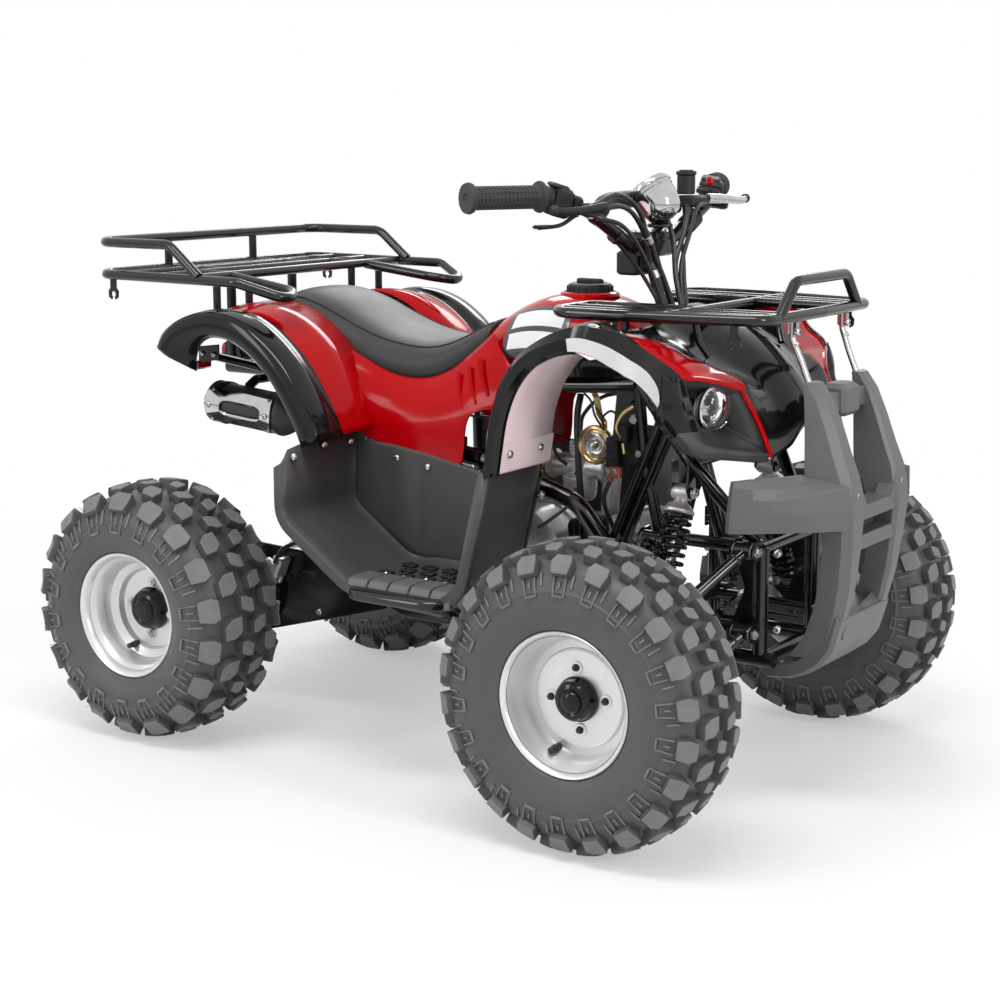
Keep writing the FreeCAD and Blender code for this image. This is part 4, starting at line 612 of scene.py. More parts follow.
    def nut(self, foot: Point, way: Point, size: float = 8.0, mark: int = 0) -> Shape:
        """A hexagonal nut on a washer with the bolt's end showing.

        Args:
            foot: the middle of its washer.
            way: the way that the bolt points.
            size: the nut's radius.
            mark: the number of its finish.

        Returns:
            This shape.
        """
        base = np.array(foot, float)
        up = unit(np.array(way, float))
        self.bar(base, base + up * size * 0.2, size * 1.15, mark, 18)
        self.tube([base + up * size * 0.2, base + up * size * 0.9], size, mark, 6)
        return self.bar(base + up * size * 0.9, base + up * size * 1.25, size * 0.5, mark, 10)


def make_piece(name: str, shape: Shape, finishes: Sequence[Finish], replaced: Sequence[str] = (),
               body: str = "chassis", crease: float = 34, ease: float = 0,
               thick: float = 0) -> bpy.types.Object:
    """Turns a shape into a piece that rides on a body.

    Args:
        name: the piece's name.
        shape: its points and faces.
        finishes: the finish of each mark.
        replaced: the solids that it stands for.
        body: the body that it moves with.
        crease: the angle in degrees from which an edge stays sharp.
        ease: how far sharp edges are rounded, 0 for not at all.
        thick: the thickness that a skin gets, 0 for a shape that is closed.

    Returns:
        The piece.
    """
    mesh = bpy.data.meshes.new(name)
    mesh.from_pydata([tuple(p * METRES) for p in shape.points], [], shape.faces)
    for finish in finishes:
        mesh.materials.append(finish.material())
    mesh.polygons.foreach_set("material_index", shape.marks)
    mesh.validate(clean_customdata=False)
    mesh.shade_smooth()
    mesh.set_sharp_from_angle(angle=math.radians(crease))
    made = bpy.data.objects.new(name, mesh)
    bpy.context.scene.collection.objects.link(made)
    if thick:
        shell = made.modifiers.new("thickness", "SOLIDIFY")
        shell.thickness = thick * METRES
        shell.offset = -1
    if ease:
        edge = made.modifiers.new("edges", "BEVEL")
        edge.width = ease * METRES
        edge.segments = 2
        edge.limit_method = "ANGLE"
        edge.angle_limit = math.radians(crease)
        edge.use_clamp_overlap = True
    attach(made, body)
    if replaced:
        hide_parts(*replaced)
    log.info("%s rides on %s", name, body)
    return made


@dataclass
class Tyre:
    """A low-pressure off-road tyre with staggered lugs."""

    name: str
    body: str
    centre: tuple[float, float, float]
    radius: float
    half_width: float
    bead_half: float
    lugs: int
    lug_width: float
    seed: int
    flange_radius: float = 112.7
    lug_height: float = 17.0
    whiskers: int = 110

    def profile(self) -> Row:
        """The carcass from the inner bead over the tread to the outer bead, as (radius, along the axle).

        Returns:
            The points of the profile.
        """
        crown = self.radius - self.lug_height
        low, wide, bead = self.flange_radius, self.half_width - 4, self.bead_half
        rise = crown - low
        side = [(low - 9, bead - 5), (low - 1, bead - 2), (low + 3.5, bead + 3.5), (low + 9, bead + 6),
                (low + rise * 0.16, wide * 0.93), (low + rise * 0.34, wide * 0.99),
                (low + rise * 0.52, wide * 0.985), (low + rise * 0.56, wide * 0.995),
                (low + rise * 0.58, wide * 0.97), (low + rise * 0.70, wide * 0.92),
                (low + rise * 0.84, wide * 0.80), (low + rise * 0.94, wide * 0.62),
                (crown - 1.5, wide * 0.36)]
        right = [vec(r, -y, 0) for r, y in side]
        left = [vec(r, y, 0) for r, y in reversed(side)]
        return flowing(right + [(crown, 0, 0)] + left, 3, sharp=(3, 6, 8, 18, 20, 23))

    def shape(self) -> Shape:
        """The whole tyre.

        Returns:
            The tyre about the Y axis.
        """
        outline = self.profile()
        made = Shape().turned([(p[0], p[1]) for p in outline], mark=0, steps=108)
        self._measure(outline)
        pitch = TURN / self.lugs
        tread = self.half_width * 0.62
        for side in (1, -1):
            for index in range(self.lugs):
                turn = pitch * (index + (0.5 if side > 0 else 0))
                self._shoulder_lug(made, turn, side, tread)
                self._block_lug(made, turn + pitch * 0.50, side, tread * 0.44, tread * 0.96,
                                self.lug_width * 0.92, 0.26)
                self._block_lug(made, turn + pitch * 0.02, side, -tread * 0.02, tread * 0.42,
                                self.lug_width * 0.74, -0.40)
        self._whiskers(made)
        return made

    def _measure(self, outline: Row) -> None:
        """Notes the way along the carcass, from the crown outwards on one side.

        Args:
            outline: the carcass's profile.
        """
        middle = min(range(len(outline)), key=lambda k: abs(outline[k][1]) - outline[k][0] * 0.001)
        self.table = [(0, outline[middle])]
        way = 0
        for before, here in zip(outline[middle:], outline[middle + 1:]):
            way += float(np.linalg.norm(here - before))
            self.table.append((way, here))

    def _surface(self, turn: float, way: float, high: float, side: int) -> np.ndarray:
        """A point above the carcass.

        Args:
            turn: the angle about the axle.
            way: the way from the crown along the carcass.
            high: the height above the carcass.
            side: 1 for the left, -1 for the right.

        Returns:
            The point.
        """
        ways = [row[0] for row in self.table]
        far = min(abs(way), ways[-1] - 1)
        k = max(min(int(np.searchsorted(ways, far)), len(ways) - 1), 1)
        share = (far - ways[k - 1]) / max(ways[k] - ways[k - 1], 1e-6)
        spot = self.table[k - 1][1] * (1 - share) + self.table[k][1] * share
        along = unit(self.table[k][1] - self.table[k - 1][1])
        radius, out = spot[0] + along[1] * high, min(spot[1] - along[0] * high, self.half_width)
        hand = side if way >= 0 else -side
        return vec(radius * math.sin(turn), out * hand, radius * math.cos(turn))

    def _lug(self, made: Shape, outline: Sequence[tuple[float, float]], turn: float, side: int,
             heights: Sequence[float], shrink: float) -> None:
        """A lug raised from an outline.

        Args:
            made: the tyre so far, to which it is added.
            outline: its corners as (across, way).
            turn: its angle about the axle.
            side: 1 for the left, -1 for the right.
            heights: how high it is at each corner.
            shrink: how large its top is in proportion to its foot.
        """
        middle = vec(*np.mean(np.array(outline), axis=0), 0)
        rings = []
        for level, size in ((-1, 1.10), (0.72, 1), (0.94, 0.95), (1, shrink)):
            ring = []
            for (across, way), high in zip(outline, heights):
                spot = middle + (vec(across, way, 0) - middle) * size
                lift = -2 if level < 0 else high * level
                ring.append(self._surface(turn + spot[0] / self.radius, spot[1], lift, side))
            rings.append(ring)
        if side < 0:
            rings = [list(reversed(ring)) for ring in rings]
        made.rows(rings[:3], 1, ring=True)
        # The top band and top face of each lug take the lighter rubber, painted light on the tops.
        made.rows(rings[2:], 2, ring=True)
        centre = sum(rings[-1]) / len(outline)
        count = len(outline)
        made.add([*rings[-1], centre], [(k, (k + 1) % count, count) for k in range(count)], 2)

    def _shoulder_lug(self, made: Shape, turn: float, side: int, tread: float) -> None:
        """A chunky block over the shoulder, and the hairpin of thin ribs that runs on down the side wall.

        Args:
            made: the tyre so far, to which it is added.
            turn: its angle about the axle.
            side: 1 for the left, -1 for the right.
            tread: the half width of the tread.
        """
        half = self.lug_width * 0.60
        start, knee, end = tread * 1.05, tread * 1.52, tread * 2.12
        block = [(-half * 0.72, start), (half * 0.72, start), (half, start + 9), (half * 0.86, knee),
                 (-half * 0.86, knee), (-half, start + 9)]
        high = self.lug_height
        self._lug(made, block, turn, side, (high * 0.96, high * 0.96, high * 0.98, high * 0.74, high * 0.74,
                                            high * 0.98), 0.90)
        rib, wide = 3.4, half * 0.56
        for low, top, first, last in ((-wide - rib, -wide, knee + 1, end), (wide, wide + rib, knee + 1, end),
                                      (-wide, wide, end - rib * 1.4, end)):
            outline = [(low, first), (top, first), (top, last), (low, last)]
            self._lug(made, outline, turn, side, (3.6, 3.6, 2.8, 2.8), 0.8)
        inner = [(-rib * 0.6, knee + 8), (rib * 0.6, knee + 8), (rib * 0.6, end - 14), (-rib * 0.6, end - 14)]
        self._lug(made, inner, turn, side, (2.4,) * 4, 0.8)
        step = [(half * 1.2, knee - 4), (half * 1.42, knee - 4), (half * 1.5, end - 16),
                (half * 1.3, end - 16)]
        self._lug(made, step, turn, side, (3, 3, 2, 2), 0.86)

    def _block_lug(self, made: Shape, turn: float, side: int, start: float, end: float, width: float,
                   lean: float) -> None:
        """A slanted six-cornered lug of the tread.

        Args:
            made: the tyre so far, to which it is added.
            turn: its angle about the axle.
            side: 1 for the left, -1 for the right.
            start: where it starts, from the crown.
            end: where it ends.
            width: its width round the tyre.
            lean: how far it slants for its length.
        """
        half = width / 2
        slant = (end - start) * lean
        middle = (start + end) / 2
        outline = [(-half * 0.82 - slant / 2, start), (half * 0.62 - slant / 2, start), (half, middle - 3),
                   (half * 0.82 + slant / 2, end), (-half * 0.62 + slant / 2, end), (-half, middle + 3)]
        self._lug(made, outline, turn, side, (self.lug_height,) * 6, 0.88)

    def _whiskers(self, made: Shape) -> None:
        """The thin rubber hairs that moulding leaves.

        Args:
            made: the tyre so far, to which it is added.
        """
        chance = random.Random(self.seed)
        for _ in range(self.whiskers):
            turn, side = chance.random() * TURN, chance.choice((1, -1))
            way = chance.uniform(10, self.half_width * 1.1)
            deep = self.lug_height * 0.2
            foot = self._surface(turn, way, deep, side)
            tip = self._surface(turn + chance.uniform(-0.01, 0.01), way,
                                self.lug_height * 0.8 + chance.uniform(1, 3), side)
            limit = self.radius - 0.6
            reach = math.hypot(tip[0], tip[2])
            if reach > limit:
                tip = tip * vec(limit / reach, 1, limit / reach)
            made.tube([foot, tip], [0.6, 0.35], 1, 4)

    def build(self) -> None:
        """Makes the tyre and stands it for its solid."""
        made = self.shape().moved(self.centre)
        make_piece(f"{self.name}_rubber", made, [Finishes.RUBBER, Finishes.RUBBER, Finishes.LIT_LUG_TOPS],
                   [self.name], body=self.body, crease=42)


@dataclass
class Rim:
    """A silver steel rim with its nuts, valve and black hub cap."""

    name: str
    body: str
    centre: tuple[float, float, float]
    side: int
    half_width: float
    rear: bool
    flange: float = 112.7
    nut_circle: float = 48.0

    def outline(self) -> list[tuple[float, float]]:
        """The rim from its outer flange over the dish to the hub hole, then back along the barrel.

        Returns:
            The points (radius, distance along the axle).
        """
        edge, half = self.flange, self.half_width
        if self.rear:
            dish = [(edge - 4.5, half - 1.6), (edge - 9, half - 7), (edge - 11, half - 16),
                    (edge - 16, half - 21), (edge - 19.5, half - 26), (edge - 21, half - 42),
                    (edge - 26, half - 52), (edge - 36, half - 58), (74, half - 60), (72, half - 66),
                    (70, half - 70), (64, half - REAR_DISH), (34, half - REAR_DISH)]
        else:
            dish = [(edge - 4, half - 1.6), (edge - 7.5, half - 6), (edge - 9.5, half - 14),
                    (edge - 12, half - 20), (edge - 15, half - 38), (edge - 19, half - 51),
                    (edge - 26, half - 58.5), (82, half - 59.5), (78, half - 56), (76.5, half - 51),
                    (74, half - 48.8), (60, half - FRONT_DISH), (44, half - FRONT_DISH),
                    (34, half - FRONT_DISH)]
        back = dish[-1][1] - 5
        rear = [(34, back), (70, back), (edge - 14, back - 4), (edge - 14, 6 - half),
                (edge - 3, 1 - half), (edge, 1.6 - half), (edge - 1, 4 - half), (edge - 7, 6 - half),
                (edge - 10, 12 - half), (edge - 10, half - 12), (edge - 7, half - 6),
                (edge - 1, half - 4), (edge, half - 2), (edge - 1.5, half - 0.4)]
        return [(edge - 1.5, half - 0.4), *dish, *rear]

    def build(self) -> None:
        """Makes the rim, its fixings and its cap."""
        made = Shape().turned(self.outline(), mark=0, steps=96)
        face = self.half_width - (REAR_DISH if self.rear else FRONT_DISH)
        count = 4
        for index in range(count):
            turn = TURN * index / count + (0.10 if self.rear else -0.08)
            foot = vec(self.nut_circle * math.sin(turn), face, self.nut_circle * math.cos(turn))
            made.bar(foot, foot + vec(0, 2.2, 0), 10.5, 0, 20, 0.8)
            made.nut(foot + vec(0, 2, 0), (0, 1, 0), 7.6 if self.rear else 5.2, 1 if self.rear else 2)
        turn = math.radians(205)
        spot = 76 if self.rear else 92
        depth = face + 6 if self.rear else self.half_width - 56
        valve = vec(spot * math.sin(turn), depth, spot * math.cos(turn))
        made.bar(valve, valve + vec(0, 16, 0), 6.2, 2, 16, 1.6)
        made.bar(valve + vec(0, 15, 0), valve + vec(0, 27, 0), 4.8, 2, 16, 1.2)
        cap = 37 if self.rear else 33
        dome = [(cap + 2, face + 0.3), (cap + 2, face + 5), (cap, face + 7), (cap - 1, face + 9),
                (cap - 2, face + 18), (cap - 6, face + 23), (cap - 12, face + 25), (cap - 15, face + 24),
                (cap - 16.5, face + 27), (cap - 21, face + 30.5), (6, face + 31.6), (0, face + 31.8)]
        made.turned(list(reversed(dome)), mark=3, steps=40)
        if self.side < 0:
            made = made.mirror()
        made.moved(self.centre)
        finishes = [Finishes.SILVER, Finishes.STEEL, Finishes.ENGINE_BLACK, Finishes.GLOSS_BLACK]
        make_piece(f"{self.name}_wheel", made, finishes, [self.name], body=self.body, crease=30)


@dataclass
class Wheels:
    """The four wheels, and what turns with them."""

    front_axle: float = 445.0
    front_radius: float = 241.0
    rear_radius: float = 232.0
    front_out: float = 419.5
    rear_out: float = 351.0
    sprocket_out: float = 122.0
    disc_out: float = 132.0
    axle: float = 15.0

    def build(self) -> None:
        """Builds every wheel."""
        for word, side in SIDES:
            front = (self.front_axle, self.front_out * side, self.front_radius)
            rear = (REAR_AXLE[0], self.rear_out * side, REAR_AXLE[2])
            Tyre(f"tyre_front_{word}", f"wheel_front_{word}", front, self.front_radius - 0.6, 86, 67, 22, 33,
                 3 + side).build()
            Tyre(f"tyre_rear_{word}", "rear_axle", rear, self.rear_radius - 0.8, 105.5, 84, 18, 42,
                 9 + side).build()
            Rim(f"rim_front_{word}", f"wheel_front_{word}", front, side, FRONT_RIM_HALF, False).build()
            Rim(f"rim_rear_{word}", "rear_axle", rear, side, REAR_RIM_HALF, True).build()
            self._front_hub(word, side, front)
        self._rear_axle()

    def _front_hub(self, word: str, side: int, centre: tuple[float, float, float]) -> None:
        """The front hub with its vented brake disc behind the rim.

        Args:
            word: left or right, as in the piece's name.
            side: 1 for the left, -1 for the right.
            centre: the middle of the wheel.
        """
        start = -26.5
        hub = Shape().turned([(11.1, start), (30, start), (31, start + 3), (31, 12.5), (60, 13), (60, 20),
                              (31, 20.4), (11.1, 20.4)], mark=0, steps=40)
        hub.join(brake_disc(62, 31, start, start + 4, 18))
        if side < 0:
            hub = hub.mirror()
        hub.moved(centre)
        make_piece(f"front_hub_{word}", hub, [Finishes.ALLOY, Finishes.STEEL], [f"hub_front_{word}"],
                   body=f"wheel_front_{word}", crease=30)

    def _rear_axle(self) -> None:
        """The live axle with its toothed sprocket, drilled brake disc and hubs."""
        face = self.rear_out + REAR_RIM_HALF - REAR_DISH
        made = Shape().bar((0, -face, 0), (0, face, 0), self.axle, 0, 24, 1.5)
        for side in (1, -1):
            hub = [(self.axle, face - 46), (26, face - 46), (31, face - 40), (31, face - 14), (60, face - 13),
                   (60, face - 5), (self.axle, face - 5)]
            made.join(Shape().turned(hub, mark=1, steps=40).on(side))
        made.join(self._sprocket())
        made.join(brake_disc(88, 31, -2, 2, 30).moved((0, -self.disc_out, 0)))
        carrier = [(self.axle, -14), (31, -14), (31, -2), (44, -2), (44, 2), (self.axle, 2)]
        made.turned(carrier, (0, -self.disc_out, 0), mark=1, steps=36)
        for spoke in spokes(6):
            made.nut(spoke * 38 + vec(0, -self.disc_out - 2, 0), (0, -1, 0), 4.4, 2)
            made.nut(spoke * 38 + vec(0, self.sprocket_out + 3, 0), (0, 1, 0), 4.4, 2)
        make_piece("rear_axle_dressed", made.moved(REAR_AXLE),
                   [Finishes.TUBE, Finishes.ALLOY, Finishes.STEEL], ["rear_axle"], body="rear_axle",
                   crease=30)

    def _sprocket(self, teeth: int = 37, tip: float = 84, root: float = 78) -> Shape:
        """The chain wheel on the axle: its toothed ring, arms and hub.

        Args:
            teeth: how many teeth it has.
            tip: the radius over the teeth.
            root: the radius between them.

        Returns:
            The wheel, in its place along the axle.
        """
        outer: Row = []
        flank = root + 0.4
        for index in range(teeth):
            for shift, radius in ((0, root), (0.25, flank), (0.42, tip), (0.58, tip), (0.75, flank)):
                turn = TURN * (index + shift) / teeth
                outer.append(vec(radius * math.cos(turn), 0, radius * math.sin(turn)))
        inner = [unit(p) * 60 for p in outer]
        near, far = vec(0, self.sprocket_out - 3, 0), vec(0, self.sprocket_out + 3, 0)
        sections = ((inner, near), (outer, near), (outer, far), (inner, far), (inner, near))
        made = Shape().rows([[p + shift for p in ring] for ring, shift in sections], 2, ring=True)
        for way in spokes(6, math.pi / 6):
            side = np.cross(way, (0, 1, 0))
            corners = ((28, -12), (62, -8), (62, 8), (28, 12))
            made.plate([way * out + side * across + near for out, across in corners], (0, 6, 0), 2)
        hub = [(self.axle, -4), (40, -4), (40, 4), (31, 5), (31, 12), (self.axle, 12)]
        return made.turned(hub, (0, self.sprocket_out, 0), mark=1, steps=36)


def brake_disc(outer: float, inner: float, near: float, far: float, holes: int) -> Shape:
    """A steel brake disc, mark 1, with a ring of drilled holes.

    Args:
        outer: its outer radius.
        inner: its inner radius.
        near: where its inner face lies along the axle.
        far: where its outer face lies.
        holes: how many holes it has.

    Returns:
        The disc, about the Y axis.
    """
    middle, hole, sides = (outer + inner) / 2 + 4, 4.2, 8
    wide, deep = TURN * middle / holes / 2, min((outer - inner) / 2 - 6, 14)
    frame, ring = [], []
    for k in range(sides):
        across, up = math.cos(TURN * (k + 0.5) / sides), math.sin(TURN * (k + 0.5) / sides)
        scale = 1 / max(abs(across), abs(up))
        frame.append((across * scale * wide / middle, up * scale * deep))
        ring.append((across * hole / middle, up * hole))

    def placed(line: list[tuple[float, float]], turn: float, face: float) -> Row:
        """An outline of (lean, height) points at its turn round the disc."""
        return [vec((middle + up) * math.cos(turn + lean), face, (middle + up) * math.sin(turn + lean))
                for lean, up in line]

    made = Shape()
    for index in range(holes):
        turn = TURN * index / holes
        made.rows([placed(ring, turn, near), placed(frame, turn, near)], 1, ring=True)
        made.rows([placed(frame, turn, far), placed(ring, turn, far)], 1, ring=True)
        made.rows([placed(ring, turn, near), placed(ring, turn, far)], 1, ring=True)
    for low, high in ((inner, middle - deep), (middle + deep, outer)):
        made.turned([(low, near), (high, near), (high, far), (low, far), (low, near)], mark=1,
                    steps=holes * 4)
    return made


@dataclass
class Fenders:
    """The four flares, their coloured inner panels, edges and screws."""

    rear_out: float = 330.0
    shell: float = 3.5

    FRONT_RIDGE = ((224, 369, 548), (229, 369, 590), (238, 369, 645), (257, 368, 697), (287, 366, 738),
                   (320, 364, 762), (353, 361, 778), (384, 354, 787), (406, 338, 784), (426, 312, 776),
                   (442, 290, 761), (470, 272, 738), (494, 268, 723), (509, 257, 708))
    FRONT_CREASE = ((228, 376, 548), (233, 376, 589), (243, 376, 643), (262, 376, 693), (291, 375, 732),
                    (323, 374, 753), (354, 371, 765), (384, 364, 772), (406, 352, 768), (426, 334, 757),
                    (446, 312, 739), (474, 305, 722), (492, 304, 702), (499, 304, 680))
    FRONT_LIP = ((235, 374, 548), (241, 374, 588), (251, 374, 640), (270, 374, 687), (298, 374, 722),
                 (328, 373, 741), (357, 371, 751), (386, 364, 754), (408, 350, 746), (428, 332, 731),
                 (446, 318, 717), (462, 308, 706), (482, 304, 688), (497, 303, 671))
    FRONT_TOP = ((26, -1), (50, 0), (62, 5), (76, 3), (110, -1), (150, 1))
    FRONT_WIDE = (1, 1, 1, 1, 1, 1, 1, 0.8, 0.42, 0.14, 0.08, 0.06, 0.06, 0.05)
    LINER_EDGE = ((236, 548), (240, 572), (247, 626), (262, 672), (284, 706), (312, 732), (346, 748),
                  (384, 752), (412, 742))
    REAR_EDGE = ((-519, 702), (-505, 726), (-477, 747), (-438, 762), (-396, 769), (-350, 765), (-306, 750),
                 (-265, 724), (-228, 690), (-196, 648), (-168, 604), (-150, 566))
    REAR_POCKET = (42, 40, 32, 14, 3, 0, 0, 0, 0, 0, 0, 0)

    def build(self) -> None:
        """Builds both pairs."""
        for word, side in SIDES:
            self._front(word, side)
            self._rear(word, side)

    def _strip(self, edge: Sequence[tuple[float, float]], columns: Sequence[tuple[float, float, float]],
               steps: int = 4) -> list[Row]:
        """Rows that follow a side profile.

        Args:
            edge: the side profile as (ahead, high).
            columns: for each column how far out it is, how far it drops below the edge and how far it is
                lifted.
            steps: how many pieces each run of the edge is cut into.

        Returns:
            The rows of the skin.
        """
        rows = []
        count = len(edge)
        for index, (ahead, high) in enumerate(edge):
            before, after = edge[max(index - 1, 0)], edge[min(index + 1, count - 1)]
            way = unit(vec(after[0] - before[0], 0, after[1] - before[1]))
            normal = vec(way[2], 0, -way[0])
            row = [vec(ahead, out, high) + normal * drop + vec(0, 0, lift) for out, drop, lift in columns]
            row[0] += normal * self.REAR_POCKET[index] - vec(0, self.REAR_POCKET[index] * 0.45, 0)
            rows.append(row)
        return crossed(flowing(column, steps) for column in crossed(rows))

    def _front(self, word: str, side: int) -> None:
        """A front flare: a creased lip that turns in towards the cowl, a gloss top and a pale underside.

        Args:
            word: left or right, as in the piece's name.
            side: 1 for the left, -1 for the right.
        """
        columns: list[Row] = []
        lip = [vec(*p) for p in self.FRONT_LIP]
        inner = [p + unit(vec(400, 0, 560) - p * vec(1, 0, 1)) * 4 + vec(0, -10, 0) for p in lip]
        columns += [[p + vec(0, -8, 0) for p in inner], inner, lip]
        columns += [[vec(*p) for p in self.FRONT_CREASE], [vec(*p) for p in self.FRONT_RIDGE]]
        for reach, lift in self.FRONT_TOP:
            columns.append([vec(x, y - reach * wide, z + lift * wide - (1 - wide) * 3)
                            for (x, y, z), wide in zip(self.FRONT_RIDGE, self.FRONT_WIDE)])
        # The front half of the facet between lip and crease gets the pale grey, a painted reflection on the
        # gloss black lip.
        shape = Shape().rows([flowing(column, 5) for column in columns],
                             marks=lambda down, across: 1 if down == 2 and across >= 33 else 0)
        make_piece(f"front_flare_{word}", shape.on(side), [Finishes.GLOSS_BLACK, Finishes.PAINTED_LIP_REFLECTION],
                   [f"front_fender_{word}"], crease=11, thick=self.shell, ease=1.4)
        under = [flowing([vec(x, out, z) for x, z in self.LINER_EDGE], 4) for out in (364, 320, 270, 206)]
        liner = Shape().rows(under)
        liner.plate([(236, 364, 552), (236, 206, 552), (243, 206, 597), (243, 364, 597)], (4, 0, -1), 0)
        make_piece(f"front_flare_liner_{word}", liner.on(side), [Finishes.PINK], crease=50, thick=-1.2)
        seam = Shape()
        for across in (332, 244):
            seam.screw((246, across, 578), (1, 0, -0.25), 7)
        make_piece(f"front_flare_screws_{word}", seam.on(side), [Finishes.STEEL])

    def _rear(self, word: str, side: int) -> None:
        """A rear flare: black outer band with a rolled lip, then the red inner panel.

        Args:
            word: left or right, as in the piece's name.
            side: 1 for the left, -1 for the right.
        """
        out = self.rear_out
        columns = [(out - 9, 44, 0), (out - 2, 38, 0), (out, 28, 0), (out, 10, 0), (out - 4, 3, 0),
                   (out - 12, 0, 0), (out - 40, -3, 0), (out - 58, -1, 0), (out - 66, 5, 0), (out - 78, 3, 0),
                   (out - 130, -6, 0), (out - 201, -8, 0)]
        rows = self._strip(self.REAR_EDGE, columns)
        red_from = 12
        shape = Shape().rows(rows, marks=lambda down, across: 1 if across >= 9 and down >= red_from else 0)
        make_piece(f"rear_flare_{word}", shape.on(side), [Finishes.GLOSS_BLACK, Finishes.RED],
                   [f"rear_fender_{word}"], crease=50, thick=self.shell)


@dataclass
class Hood:
    """The front cowl: black ridge, red brows, lamp recesses with lamps, and the grey lower lip."""

    lamp: tuple[float, float, float] = (528.0, -186.0, 657.0)
    shoulder: int = 4
    brow: int = 28

    COWL = (
        (381, [(0, 795), (40, 793), (74, 783), (112, 772), (170, 768), (234, 770), (300, 768)]),
        (410, [(0, 787), (40, 785), (73, 774), (108, 760), (164, 756), (220, 762), (314, 774)]),
        (442, [(0, 776), (39, 774), (71, 762), (104, 746), (152, 743), (202, 752), (287, 759)]),
        (470, [(0, 764), (37, 761), (68, 748), (100, 732), (140, 726), (182, 733), (270, 736)]),
        (494, [(0, 752), (36, 748), (65, 735), (97, 719), (132, 714), (166, 720), (265, 721)]),
        (509, [(0, 743), (35, 739), (63, 726), (93, 710), (126, 706), (158, 712), (255, 707)]),
        (530, [(0, 728), (34, 723), (60, 710), (87, 697), (118, 697), (150, 703), (203, 699)]),
        (556, [(0, 706), (32, 700), (56, 686), (78, 676), (108, 680), (138, 686), (151, 682)]),
        (574, [(0, 684), (30, 678), (53, 664), (74, 650), (102, 646), (130, 648), (143, 646)]),
        (590, [(0, 656), (29, 650), (50, 636), (70, 620), (96, 612), (124, 610), (137, 608)]),
        (602, [(0, 618), (27, 613), (47, 602), (66, 590), (92, 583), (120, 578), (132, 576)]),
    )
    RIM = ((509, -257, 708), (521, -222, 704), (538, -187, 694), (556, -152, 682), (572, -144, 650),
           (585, -138, 620), (597, -134, 584), (572, -165, 590), (557, -200, 597), (541, -238, 609),
           (529, -250, 643), (519, -254, 675))
    BROW = ((507, -258, 710), (530, -204, 702), (556, -152, 685), (573, -144, 651), (586, -138, 621),
            (602, -133, 578))
    LIP_OUTSIDE = ((495, -290, 712), (500, -303, 684), (502, -302, 659), (512, -295, 641), (526, -275, 614),
                   (544, -242, 594), (566, -190, 586), (596, -134, 577))
    LIP_INSIDE = ((510, -257, 707), (519, -255, 678), (523, -253, 660), (528, -251, 645), (539, -241, 612),
                  (551, -218, 601), (571, -168, 591), (599, -131, 584))

    def build(self) -> None:
        """Builds the cowl and both lamps."""
        self._cowl()
        for word, side in SIDES:
            self._recess(word, side)
            self._lamp(word, side)

    def _cowl(self) -> None:
        """The black top with its raised middle ridge and the red shoulders over the lamps."""
        rows = [whole((ahead, out, high) for out, high in line) for ahead, line in self.COWL]
        grid = woven(rows, 4, 4, sharp=(1, 2, 10, 11))
        width = len(grid[0])

        def colour(down: int, across: int) -> int:
            """Red on the shoulders over the lamps, black elsewhere."""
            return int(min(across, width - 2 - across) < self.shoulder and down < self.brow)

        make_piece("front_cowl", Shape().rows(grid, marks=colour), [Finishes.GLOSS_BLACK, Finishes.RED],
                   ["hood"], crease=48, thick=3)

    def _recess(self, word: str, side: int) -> None:
        """The matte black bowl round a lamp, its red brow line and grey lower lip.

        Args:
            word: left or right, as in the piece's name.
            side: 1 for the left, -1 for the right.
        """
        outer = [np.array(p, float) for p in self.RIM]
        middle = vec(*self.lamp) + vec(-4, 0, 0)
        inner = [middle + (p - middle) * 0.60 + vec(-12, 0, 0) for p in outer]
        deep = [middle + (p - middle) * 0.34 + vec(-30, 0, 0) for p in outer]
        loop = [flowing([*row, row[0]], 4, sharp=(3, 6))[:-1] for row in (outer, inner, deep)]
        bowl = Shape().rows(loop, 0, ring=True)
        brow = Shape().tube(flowing(self.BROW, 5, sharp=(2,)), [2.4] + [4.2] * 24 + [2.4], 1, 8)
        bands = [[vec(*p) for p in self.LIP_INSIDE]]
        bands.append([vec(*p) * 0.6 + vec(*q) * 0.4 + vec(2, -3, 1)
                      for p, q in zip(self.LIP_INSIDE, self.LIP_OUTSIDE)])
        bands.append([vec(*q) + vec(1, 0, 2) for q in self.LIP_OUTSIDE])
        bands.append([vec(*q) + vec(-3, 2, -5) for q in self.LIP_OUTSIDE])
        bands.append([vec(*q) + vec(-20, 12, -9) for q in self.LIP_OUTSIDE])
        cheek = [flowing(band, 4) for band in bands]
        lip = Shape().rows(cheek, marks=lambda down, across: 3 if across < 14 else 2)
        shape = bowl.join(brow).join(lip)
        make_piece(f"lamp_recess_{word}", shape.on(-side),
                   [Finishes.MATTE_BLACK, Finishes.RED, Finishes.FOOT, Finishes.GLOSS_BLACK], crease=44,
                   thick=1.6)

